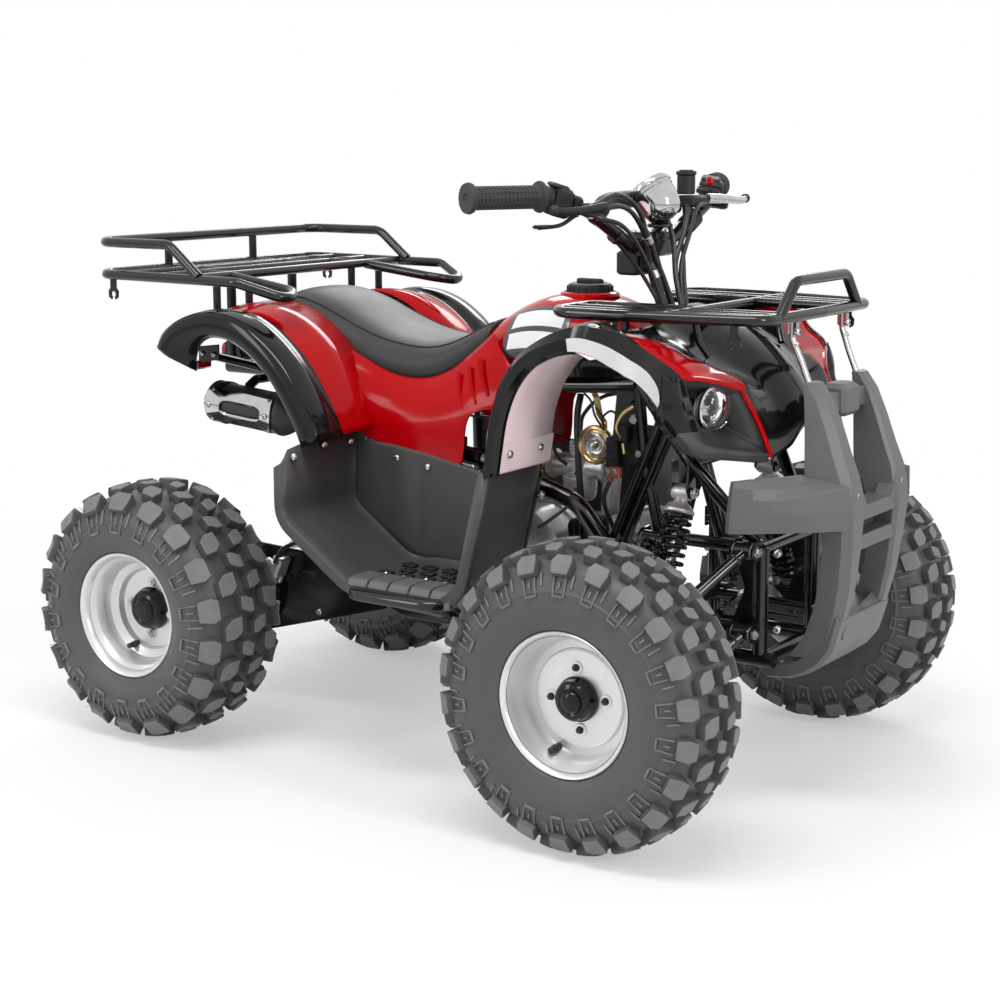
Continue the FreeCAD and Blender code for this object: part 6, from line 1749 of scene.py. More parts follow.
@dataclass
class Footwells:
    """The two moulded foot trays with rolled edges, folded inner walls, treads and screws."""

    inner: float = 177.0
    outer: float = 373.5
    floor_high: float = 343.0

    PROFILE = ((-186, 561), (-186, 436), (-51, 343), (163, 343), (213, 555))
    TOP = ((-187, 540), (-150, 540), (-102, 537), (-30, 527), (40, 514), (98, 504), (150, 500), (204, 508))

    def build(self) -> None:
        """Builds both trays."""
        for word, side in SIDES:
            self._tray(word, side)
            self._treads(word, side)

    def _path(self) -> Row:
        """The tray's profile from the top of its rear wall to the top of its front wall."""
        return bent([vec(ahead, 0, high) for ahead, high in self.PROFILE], 40, 6)

    def _tray(self, word: str, side: int) -> None:
        """The walls and floor with the rolled outer edge, then the folded inner wall.

        Args:
            word: left or right, as in the piece's name.
            side: 1 for the left, -1 for the right.
        """
        path = self._path()
        columns = [(self.outer - 6, -24), (self.outer + 1, -21), (self.outer + 4, -12), (self.outer + 3, -3),
                   (self.outer - 3, 0.5), (self.outer - 14, 0), (self.outer - 90, 0), (self.inner + 30, 0),
                   (self.inner + 12, 2), (self.inner + 4, 8), (self.inner, 20)]
        rows = []
        for index, spot in enumerate(path):
            way = unit(path[min(index + 1, len(path) - 1)] - path[max(index - 1, 0)])
            normal = vec(-way[2], 0, way[0])
            rows.append([spot + normal * lift + vec(0, out, 0) for out, lift in columns])
        rows[0] = [p - vec(0, 0, cut) for p, cut in zip(rows[0], (44, 42, 38, 33, 26, 12) + (0,) * 5)]
        shape = Shape().rows(rows)
        shape.join(self._inner_wall())
        make_piece(f"foot_tray_{word}", shape.on(side), [Finishes.FOOT], [f"footwell_{word}"], crease=40,
                   thick=3.2)
        fixings = Shape()
        for out, high in ((350, 536), (270, 547), (197, 543)):
            fixings.screw((-181, out, high), (1, 0, 0), 7.5)
        for ahead, high in ((-92, 519), (-26, 509), (206, 486)):
            fixings.screw((ahead, self.inner + 4, high), (0, 1, 0), 7)
        for high in (420, 500):
            fixings.screw((180 + (high - 420) * 0.24, 352, high), (1, 0, -0.24), 6)
        make_piece(f"foot_tray_screws_{word}", fixings.on(side), [Finishes.STEEL])

    def _inner_wall(self) -> Shape:
        """The wall beside the engine, its upright fold and its lip.

        Returns:
            The left wall.
        """
        aheads, highs = zip(*self.TOP)
        columns = []
        for ahead in np.linspace(-185, 204, 44):
            low = float(np.interp(ahead, [-186, -150, -51, 163, 204], [432, 408, 346, 343, 508]))
            if -51 <= ahead < 163:
                low = self.floor_high
            high = max(float(np.interp(ahead, aheads, highs)), low + 4)
            fold = 7 / (1 + math.exp((ahead + 34) / 7)) - 5 * math.exp(-((ahead + 46) / 13) ** 2)
            column = []
            for step in range(11):
                share = step / 10
                column.append((ahead, self.inner + fold * (1 - 0.55 * share), low + (high - low) * share))
            lip = self.inner + fold * 0.4
            columns.append(column + [(ahead, lip - 2, high + 2), (ahead, lip - 9, high + 1)])
        return Shape().rows(crossed(columns))

    def _treads(self, word: str, side: int) -> None:
        """The row of rounded blocks along the outer edge, and the studded pads inside it.

        Args:
            word: left or right, as in the piece's name.
            side: 1 for the left, -1 for the right.
        """
        shape = Shape()
        pitch = 42.6
        for index in range(5):
            ahead = -51 + pitch * (index + 0.5)
            rows = []
            for across in (-19.4, -18.2, 18.2, 19.4):
                low = 1.4 if abs(across) > 19 else 0
                rows.append([(ahead + across, 318, 344), (ahead + across, 320, 351 - low),
                             (ahead + across, 362, 351.6 - low), (ahead + across, 371, 349 - low),
                             (ahead + across, 376.6 - low, 341), (ahead + across, 377.4 - low, 322),
                             (ahead + across, 372, 321)])
            shape.rows(rows, 0, ring=True, caps=True)
            for row, out in enumerate((296, 262, 228)):
                shift = 0 if row % 2 == 0 else pitch / 2
                if index == 4 and row % 2:
                    continue
                shape.block((ahead + shift, out, 345.5), (27, 19, 5), 1, 2)
                shape.bar((ahead + shift, out, 346), (ahead + shift, out, 350.5), 4.5, 1, 12, 1)
        for ahead, out in ((-22, 306), (20, 312), (62, 306), (105, 312), (140, 300)):
            shape.screw((ahead, out, 347), (0, 0, 1), 5, 2)
        make_piece(f"foot_treads_{word}", shape.on(side),
                   [Finishes.BUMPER, Finishes.MATTE_BLACK, Finishes.STEEL], crease=36)


@dataclass
class Frame:
    """The welded tube frame, its gussets, brackets and the foot bars."""

    tube: float = 12.5
    cross: float = 10.5
    neck: float = 668.0

    LOOM = ((330, 70, 640), (240, 74, 640), (120, 76, 634), (0, 77, 628), (-120, 77, 624), (-250, 77, 622))

    def build(self) -> None:
        """Builds every run of tube."""
        self._lower()
        self._front()
        self._spine()
        self._foot_bars()
        self._fixings()

    def _lower(self) -> None:
        """The belly rails that turn up behind the engine, their cross tubes and the swingarm brackets."""
        half = Shape()
        half.tube(bent([(596, 95, 243.3), (470, 95, 243.3), (0, 95, 222), (-200, 95, 222), (-200, 95, 627)],
                       70), self.tube, 0, 18)
        for ahead, high in ((571, 243), (-200, 247), (-200, 500), (-60, 222), (120, 222)):
            half.bar((ahead, 0, high), (ahead, 92, high), self.cross, 0, 16)
            weld(half, (ahead, 84, high), (0, -1, 0), self.cross)
        for face in (80, 106):
            ring = [(-204, face, 262), (-176, face, 268), (-152, face, 286), (-148, face, 302),
                    (-154, face, 316), (-176, face, 330), (-204, face, 338)]
            half.plate(ring, (0, 4, 0), 0)
        half.nut((-165, 110, 300), (0, 1, 0), 10, 1)
        half.plate([(-40, 70, 236), (60, 70, 236), (46, 70, 262), (-26, 70, 262)], (0, 4, 0), 0)
        make_piece("frame_belly", half.both(), [Finishes.TUBE, Finishes.STEEL], ["frame_lower"], crease=38)

    def _front(self) -> None:
        """The front box that carries the arms, the braces to the neck and the shock ears."""
        half = Shape()
        for ahead in (570, 385):
            half.bar((ahead, 95, 252), (ahead, 95, 427), self.tube if ahead == 570 else self.cross, 0, 18)
        for high in (423, 289):
            half.bar((372, 95, high), (570, 95, high), self.cross, 0, 16)
        half.tube(bent([(561, 90.5, 432), (470, 150, 560), (345, 95, 668)], 50), 10.8, 0, 16)
        half.tube([(385, 95, 423), (352, 92, 540), (338, 90, 664)], 9.6, 0, 14)
        for back in (0, 22):
            half.bar((383 + back, 95, 611 - back * 0.13), (297 + back, 95, 409 + back * 0.13), 9.6, 0, 14)
        half.bar((470, 0, 560), (470, 150, 560), 9, 0, 14)
        half.bar((570, 0, 423), (570, 95, 423), 9, 0, 14)
        half.bar((385, 0, 289), (385, 95, 289), 9, 0, 14)
        for face in (-17, 13):
            ear = [vec(455 + face, 150 + 13 * math.sin(a), 514 - 13 * math.cos(a))
                   for a in np.linspace(-1.6, 1.6, 9)]
            ear += [(455 + face, 160, 562), (455 + face, 140, 562)]
            half.plate(ear, (4, 0, 0), 0)
        half.nut((474, 150, 512), (1, 0, 0), 8, 1)
        half.screw((437, 150, 512), (-1, 0, 0), 9, 1)
        for high in (423, 289):
            for ahead in (553, 385):
                for shift in (-21, 17):
                    ring = [(ahead + shift, 96, high - 17), (ahead + shift, 124, high - 15),
                            (ahead + shift, 136, high - 6), (ahead + shift, 136, high + 6),
                            (ahead + shift, 124, high + 15), (ahead + shift, 96, high + 17)]
                    half.plate(ring, (4, 0, 0), 0)
                half.nut((ahead + 21, 122.8, high), (1, 0, 0), 7.5, 1)
                half.screw((ahead - 21, 122.8, high), (-1, 0, 0), 8, 1)
        gusset = [(556, 93, 300), (556, 93, 410), (520, 93, 414), (542, 93, 356), (520, 93, 298)]
        half.plate(gusset, (0, 3, 0), 0)
        half.plate([(384, 93, 420), (420, 93, 416), (386, 93, 380)], (0, 3, 0), 0)
        make_piece("frame_nose", half.both(), [Finishes.TUBE, Finishes.STEEL], ["frame_front"], crease=38)

    def _spine(self) -> None:
        """The upper rails, their cross tubes, the rack stays and the column's bearing."""
        half = Shape()
        half.tube(bent([(332.5, 88, 668), (-60, 88, 640), (-560, 88, 640)], 120), self.tube, 0, 18)
        for ahead, high in ((320, 668), (-535, 640), (-262, 640)):
            half.bar((ahead, 0, high), (ahead, 86, high), self.cross, 0, 16)
            weld(half, (ahead, 77, high), (0, -1, 0), self.cross)
        half.bar((-551, 88, 640), (-551, 88, 815.7), 9, 0, 14)
        half.plate([(-575, 86, 652), (-527, 86, 652), (-541, 86, 700), (-561, 86, 700)], (0, 4, 0), 0)
        for ahead in (-60, -400):
            half.plate([(ahead - 16, 82, 652), (ahead + 16, 82, 652), (ahead + 16, 82, 664),
                        (ahead - 16, 82, 664)], (0, 12, 0), 0)
        shape = half.both()
        way = unit(STEERING_TOP - STEERING_FOOT)
        seat = STEERING_FOOT + way * ((self.neck - STEERING_FOOT[2]) / way[2])
        shape.turned([(14.2, -15), (20, -15), (21, -13), (21, 13), (20, 15), (14.2, 15)], seat, way, 0, 32)
        for side in (1, -1):
            shape.bar(seat + vec(4, 19 * side, 0), seat + vec(4, 33 * side, 0), 6, 0, 12, 1)
            shape.nut(seat + vec(4, 30 * side, 0), (0, side, 0), 6, 1)
        shape.block((334, 0, 668), (44, 30, 10), 0, 2)
        make_piece("frame_backbone", shape, [Finishes.TUBE, Finishes.STEEL], ["frame_spine"], crease=38)

    def _foot_bars(self) -> None:
        """The bent bars under the trays."""
        half = Shape()
        half.tube(bent([(-38, 95, 222), (-38, 215, 327.7), (-38, 392, 327.7), (142, 392, 327.7),
                        (142, 215, 327.7), (142, 95, 222)], 30), 10, 0, 16)
        for ahead in (-38, 142):
            weld(half, (ahead, 106, 232), (0, 0.75, 0.66), 10)
            half.block((ahead, 300, 338.5), (26, 40, 4), 0, 1)
            half.screw((ahead, 345, 339.5), (0, 0, 1), 6, 1)
        half.bar((52, 386, 327), (52, 396, 327), 7, 1, 12, 1)
        make_piece("foot_bars", half.both(), [Finishes.TUBE, Finishes.STEEL], ["footrest_bars"], crease=38)

    def _fixings(self) -> None:
        """The loom that is strapped along the rails."""
        shape = Shape()
        shape.tube(flowing(self.LOOM, 8), 5.5, 0, 10)
        for ahead in (250, 120, 0, -120):
            shape.turned([(13.6, -2.5), (14.6, -1.5), (14.6, 1.5), (13.6, 2.5)],
                         (ahead, 88, 663 - (250 - ahead) * 0.071), (1, 0, 0), 1, 20)
        make_piece("wiring_loom", shape, [Finishes.HOSE, Finishes.GRIP])


@dataclass
class Suspension:
    """The front arms, knuckles, tie rods and shocks, and the rear swingarm with its shock."""

    stub: tuple[float, float, float] = (445.0, 375.0, 241.0)
    pivot_out: float = 122.8
    arm: float = 10.6
    pivot: tuple[float, float, float] = (-165.0, 0.0, 300.0)
    chain_out: float = 122.0
    chain_pitch: float = 12.7

    GUARD = ((-537, 122), (-165, 227), (-165, 300), (-477, 312.5), (-537, 232))
    STEERING_ARM = ((440, 363, 246), (458, 364, 246), (486, 372, 246), (497, 371, 246), (506, 378, 246),
                    (507, 387, 246), (500, 394, 246), (490, 395, 246), (470, 389, 246), (440, 388, 246))

    def build(self) -> None:
        """Builds both front corners and the rear."""
        for word, side in SIDES:
            self._arms(word, side)
            self._knuckle(word, side)
            self._tie_rod(word, side)
        self._front_shocks()
        self._rear_shock()
        self._swingarm()

    def _arms(self, word: str, side: int) -> None:
        """The upper and lower arms with their bushes, boots and shock mount.

        Args:
            word: left or right, as in the piece's name.
            side: 1 for the left, -1 for the right.
        """
        x, y, _ = self.stub
        shape = Shape()
        for ball, knee, pivot, way in ((300, 326.3, 423, 1), (182, 204.9, 289, -1)):
            shape.turned([(9, -11), (15, -10), (17.5, -5), (17.5, 6), (14, 10), (8, 10.5), (0.1, 10.5)],
                         (x, y, ball), (0, 0, way), 0, 28)
            boot = -way
            shape.turned([(7.2, 11), (13, 12.5), (15, 14.5), (11.5, 16.5), (13, 18.5), (9, 21)], (x, y, ball),
                         (0, 0, boot), 2, 24)
            shape.bar((x, y - 12, ball), (x, 303, ball), 11.2, 0, 18)
            for ahead, end in ((491, 553), (401, 385)):
                line = bent([(x, 308, ball), (ahead, 266, knee), (end, 128, pivot - 3)], 34)
                shape.tube(line, self.arm, 0, 16)
                shape.bar((end - 15, self.pivot_out, pivot), (end + 15, self.pivot_out, pivot), 14, 0, 24,
                          1.2)
                for face in (-1, 1):
                    shape.bar((end + 15 * face, self.pivot_out, pivot),
                              (end + 16.8 * face, self.pivot_out, pivot), 12, 3, 24, 0.4)
                weld(shape, (end + (ahead - end) * 0.13, 141, pivot - (pivot - knee) * 0.13),
                     (ahead - end, 138, knee - pivot), self.arm)
        shape.bar((401, 258, 222.7), (491, 258, 222.7), 9, 0, 16)
        shape.plate([(405, 270, 206), (487, 270, 206), (470, 296, 192), (422, 296, 192)], (0, 0, 4), 0)
        shape.bar((401, 205, 250), (520, 205, 246), 8, 0, 14)
        make_piece(f"wishbones_{word}", shape.on(side),
                   [Finishes.TUBE, Finishes.STEEL, Finishes.HOSE, Finishes.WHITE], [f"arms_{word}"],
                   crease=40)

    def _knuckle(self, word: str, side: int) -> None:
        """The upright with its stub, steering arm and brake caliper.

        Args:
            word: left or right, as in the piece's name.
            side: 1 for the left, -1 for the right.
        """
        x, y, z = self.stub
        shape = Shape()
        shape.turned([(7, -48), (12, -48), (13, -45), (13, -22), (16, -18), (16, 18), (13, 22), (13, 45),
                      (12, 48), (7, 48)], (x, y, z), (0, 0, 1), 0, 28)
        shape.bar((x, y, 171), (x, y, 311), 7, 1, 18, 1)
        for face in (1, -1):
            shape.bar((x, y, z + face * 63), (x, y, z + face * 69), 9, 1, 6)
        shape.bar((x, y, z), (x, 439.5, z), 11, 1, 24, 1.5)
        shape.turned([(12, 0), (20, 0), (22, 4), (20, 13), (12, 14)], (x, y, z), (0, 1, 0), 0, 28)
        shape.plate(self.STEERING_ARM, (0, 0, 8), 0)
        shape.bar((495, 383, 250), (495, 383, 272.8), 5.9, 1, 14)
        shape.bar((495, 383, 240), (495, 383, 246), 8.5, 1, 6)
        shape.bar((495, 383, 267.5), (495, 383, 272.5), 8, 1, 6)
        shape.plate([(383, 389, 241), (445, 389, 241), (445, 389, 263), (400, 389, 266), (383, 389, 264)],
                    (0, 8, 0), 0)
        shape.block((383, 395, 241), (34, 12, 48), 2, 3)
        shape.block((380, 412, 241), (28, 12, 44), 2, 4)
        shape.block((370, 404, 241), (12, 28, 40), 2, 3)
        for high in (226, 256):
            shape.bar((383, 393, high), (383, 418.5, high), 6.5, 1, 14, 1)
        shape.bar((377, 389.5, 241), (377, 392, 241), 12, 1, 20, 0.8)
        make_piece(f"upright_{word}", shape.on(side), [Finishes.ENGINE_BLACK, Finishes.STEEL, Finishes.ALLOY],
                   [f"knuckle_{word}"], body=f"knuckle_{word}", crease=36)

    def _tie_rod(self, word: str, side: int) -> None:
        """The tie rod: threaded ends, lock nuts, a hexagonal middle and both eyes.

        Args:
            word: left or right, as in the piece's name.
            side: 1 for the left, -1 for the right.
        """
        inner, outer = vec(523.4, 15, 345.9), vec(495, 383, 257.4)
        way = unit(outer - inner)
        lean = unit(vec(-162, 0, 518))
        shape = Shape()
        shape.turned([(6.1, -5.6), (11, -5.6), (12, -4), (12, 4), (11, 5.6), (6.1, 5.6)], inner, lean, 0, 28)
        shape.turned([(8.4, -6.2), (12.4, -6.2), (13.4, -4.6), (13.4, 4.6), (12.4, 6.2), (8.4, 6.2)], outer,
                     (0, 0, 1), 0, 28)
        start, end = inner + way * 11, outer - way * 12
        length = float(np.linalg.norm(end - start))
        shape.tube([start, start + way * 22, start + way * 26, start + way * 40], [7.6, 7.2, 5.2, 5.2], 0, 16)
        shape.tube([end - way * 44, end - way * 28, end - way * 24, end], [5.2, 5.2, 7.4, 7.6], 0, 16)
        shape.tube([start + way * 36, end - way * 40], 6.4, 1, 6)
        for along in (32, length - 36):
            shape.tube([start + way * along, start + way * (along + 6)], 8.6, 0, 6)
        make_piece(f"steering_link_{word}", shape.on(side), [Finishes.STEEL, Finishes.CHROME],
                   [f"tie_rod_{word}"], body=f"tie_rod_{word}", crease=36)

    def _shock(self, top: np.ndarray, foot: np.ndarray, across: np.ndarray, coil: float, wire: float,
               turns: float) -> Shape:
        """A coil-over shock between two eyes.

        Args:
            top: the middle of its upper eye.
            foot: the middle of its lower eye.
            across: the way that its bolts lie.
            coil: the radius of the spring.
            wire: the radius of the spring's wire.
            turns: how many turns the spring has.

        Returns:
            The shock.
        """
        way = unit(foot - top)
        length = float(np.linalg.norm(foot - top))
        shape = Shape()
        for spot in (top, foot):
            shape.turned([(6.5, -15), (12.5, -15), (13.5, -13), (13.5, 13), (12.5, 15), (6.5, 15)], spot,
                         across, 1, 24)
            shape.turned([(0.1, -16.2), (6.6, -16.2), (6.6, 16.2), (0.1, 16.2)], spot, across, 2, 16)
        first, last = length * 0.10, length * 0.84
        shape.tube([top + way * 10, top + way * (first - 12), top + way * (first - 8), top + way * first],
                   [9.5, 11.5, coil - 3, coil + wire - 0.5], 1, 28)
        shape.bar(top + way * first, top + way * (first + 7), coil + wire + 0.5, 1, 32, 1.5)
        shape.bar(top + way * first, top + way * (length * 0.62), 6.2, 2, 18)
        shape.bar(top + way * (length * 0.46), top + way * (length - 10), 14, 0, 24, 2)
        shape.bar(top + way * (last - 2), top + way * (last + 5), coil + wire + 0.5, 0, 32, 1.5)
        for step in range(5):
            shape.bar(top + way * (last + 6 + step * 3), top + way * (last + 8 + step * 3), 17.5, 0, 24, 0.5)
        side = unit(np.cross(way, across))
        rise = np.cross(side, way)
        count = int(turns * 18)
        line = []
        for k in range(count + 1):
            share = k / count
            ease = 0.5 - 0.5 * math.cos(math.pi * share)
            along = first + 8 + (last - first - 11) * (0.8 * share + 0.2 * ease)
            turn = TURN * turns * share
            line.append(top + way * along + (side * math.cos(turn) + rise * math.sin(turn)) * coil)
        return shape.tube(line, wire, 3, 8)

    def _front_shocks(self) -> None:
        """Both front shocks."""
        half = self._shock(vec(455, 150, 512), (455, 257, 246), (1, 0, 0), 21, 4.1, 15.5)
        make_piece("front_coil_shocks", half.both(),
                   [Finishes.GLOSS_BLACK, Finishes.ALLOY, Finishes.STEEL, Finishes.GLOSS_BLACK],
                   ["front_shocks"], crease=40)

    def _rear_shock(self) -> None:
        """The single rear shock."""
        shape = self._shock(vec(-262, 0, 613), (-300, 0, 305), (0, 1, 0), 23, 4.8, 9.5)
        make_piece("rear_coil_shock", shape,
                   [Finishes.GLOSS_BLACK, Finishes.ALLOY, Finishes.STEEL, Finishes.GLOSS_BLACK],
                   ["rear_shock"], crease=40)

    def _swingarm(self) -> None:
        """The swingarm with its axle carrier, the chain, its guard and the brake caliper."""
        half = Shape()
        half.bar(self.pivot, (-165, 84, 300), 15.5, 0, 24, 1.5)
        half.bar((-165, 62, 300), (-484, 62, 232), 15.8, 0, 20)
        half.bar((-300, 0, 273.2), (-300, 62, 273.2), 12, 0, 16)
        weld(half, (-300, 47, 273.2), (0, -1, 0), 12)
        half.turned([(16, 74), (40, 74), (44, 70), (46, 64), (46, 0)], REAR_AXLE, mark=0, steps=36)
        for spoke in spokes(4, math.pi / 4):
            half.screw(REAR_AXLE + spoke * 34 + vec(0, 74, 0), (0, 1, 0), 6.5, 1)
        ear = ((-316, 262), (-284, 262), (-286, 305), (-300, 320), (-314, 305))
        half.plate([(ahead, 14, high) for ahead, high in ear], (0, 5, 0), 0)
        shape = half.both()
        shape.nut((-300, 19, 305), (0, 1, 0), 8, 1)
        shape.screw((-300, -19, 305), (0, -1, 0), 9, 1)
        make_piece("swinging_arm", shape, [Finishes.TUBE, Finishes.STEEL], ["swingarm"], crease=38)
        self._chain()
        self._guard()
        self._caliper()

    def _chain(self) -> None:
        """The roller chain round both sprockets."""
        spots = self._chain_spots(84, 29.5)
        shape = Shape()
        side = ((-4, 2.6), (0, 4.8), (3, 3.6))
        for k, (here, there) in enumerate(zip(spots, spots[1:])):
            way = unit(there - here)
            rise = vec(-way[2], 0, way[0])
            near = 5.4 if k % 2 else 3.4
            upper = [here + way * along + rise * up for along, up in side]
            upper += [there - way * along + rise * up for along, up in reversed(side)]
            lower = [there - way * along - rise * up for along, up in side]
            lower += [here + way * along - rise * up for along, up in reversed(side)]
            for face in (near, -near - 1.4):
                shape.plate([p + vec(0, self.chain_out + face, 0) for p in upper + lower], (0, 1.4, 0), k % 2)
            for half, radius, mark in ((7, 2.2, 1), (3.4, 4, 0)):
                shape.bar(here + vec(0, self.chain_out - half, 0), here + vec(0, self.chain_out + half, 0),
                          radius, mark, 8)
        make_piece("roller_chain", shape, [Finishes.STEEL, Finishes.ALLOY], ["drive_chain"], crease=36)

    def _chain_spots(self, big: float, small: float) -> Row:
        """The pins of the chain, evenly spaced on their way round both sprockets.

        Args:
            big: the radius on the axle's sprocket.
            small: the radius on the engine's sprocket.

        Returns:
            The pins in the middle plane, the first one once more at the end.
        """
        gap = OUTPUT_SHAFT - REAR_AXLE
        lean = math.asin((big - small) / float(np.linalg.norm(gap)))
        base = math.atan2(gap[2], gap[0])
        line: Row = []
        quarter = math.pi / 2
        for centre, radius, start, end in (
                (REAR_AXLE, big, base + quarter - lean, base + 3 * quarter + lean),
                (OUTPUT_SHAFT, small, base - quarter + lean, base + quarter - lean)):
            for turn in np.linspace(start, end, 30):
                line.append(centre + vec(math.cos(turn) * radius, 0, math.sin(turn) * radius))
        line.append(line[0])
        ways = np.cumsum([0.0] + [float(np.linalg.norm(b - a)) for a, b in zip(line, line[1:])])
        count = int(round(ways[-1] / self.chain_pitch / 2)) * 2
        along = np.linspace(0, ways[-1], count + 1)
        return list(np.stack([np.interp(along, ways, [p[axis] for p in line]) for axis in range(3)], axis=1))

    def _guard(self) -> None:
        """The stamped guard plate on the right, bored round the axle."""
        shape = Shape()
        middle = vec(np.mean([p[0] for p in self.GUARD]), 0, np.mean([p[1] for p in self.GUARD]))
        ring = bent([(a, 0, h) for a, h in (*self.GUARD[3:], *self.GUARD[:4])], 14, 4)
        for start, end in zip(ring, ring[1:]):
            edge = [start, end, end + (middle - end) * 0.08, start + (middle - start) * 0.08]
            shape.add([p + vec(0, -113.5, 0) for p in edge], [(0, 1, 2, 3)])
        back, thick = vec(0, -112, 0), vec(0, 4, 0)
        outer = [self._reach(REAR_AXLE, spoke, self.GUARD) + back for spoke in spokes(48)]
        hole = [REAR_AXLE + spoke * 36.5 + back for spoke in spokes(48)]
        front = [p + thick for p in hole]
        shape.rows([front, [p + thick for p in outer], outer, hole, front], 0, ring=True)
        for ahead, high in ((-470, 288), (-300, 285), (-190, 288), (-190, 236), (-330, 196), (-515, 145)):
            shape.screw((ahead, -112, high), (0, -1, 0), 6.5, 1)
        for k in range(5):
            shape.block((-400 + k * 46, -112.5, 262 + k * 2), (30, 1.8, 12), 0, 0.8)
        make_piece("rear_guard", shape, [Finishes.TUBE, Finishes.STEEL], ["guard_plate"], crease=30)

    def _caliper(self) -> None:
        """The rear brake caliper on its stay, with its hose."""
        caliper = Shape()
        lean = Matrix.Rotation(math.radians(24), 4, "Y")
        for centre, sides in (((-422, -121, 268), (34, 12, 46)), ((-422, -143, 268), (34, 12, 46)),
                              ((-404, -132, 276), (12, 32, 42))):
            caliper.block(centre, sides, 0, 3, lean)
        for shift in (-14, 14):
            caliper.bar((-424 + shift * 0.4, -150, 268 + shift), (-424 + shift * 0.4, -112, 268 + shift), 6,
                        1, 14, 1)
        hose = [(-404, -150, 288), (-380, -152, 318), (-330, -134, 342), (-262, -104, 372), (-214, -84, 430)]
        caliper.tube(flowing(hose, 8), 4, 2, 10)
        make_piece("rear_caliper", caliper, [Finishes.ALLOY, Finishes.STEEL, Finishes.HOSE])

    @staticmethod
    def _reach(centre: np.ndarray, spoke: np.ndarray, border: Sequence[tuple[float, float]]) -> np.ndarray:
        """Where a ray from the centre meets the border.

        Args:
            centre: where the ray starts.
            spoke: its direction.
            border: the corners as (ahead, high).

        Returns:
            The point on the border.
        """
        best = 0
        corners = [vec(a, 0, h) for a, h in border]
        for start, end in zip(corners, corners[1:] + corners[:1]):
            edge = end - start
            cross = spoke[0] * edge[2] - spoke[2] * edge[0]
            if abs(cross) < 1e-9:
                continue
            gap = start - centre
            far = (gap[0] * edge[2] - gap[2] * edge[0]) / cross
            share = (gap[0] * spoke[2] - gap[2] * spoke[0]) / cross
            if far > 0 and -1e-6 <= share <= 1 + 1e-6:
                best = max(best, far)
        return centre + spoke * best


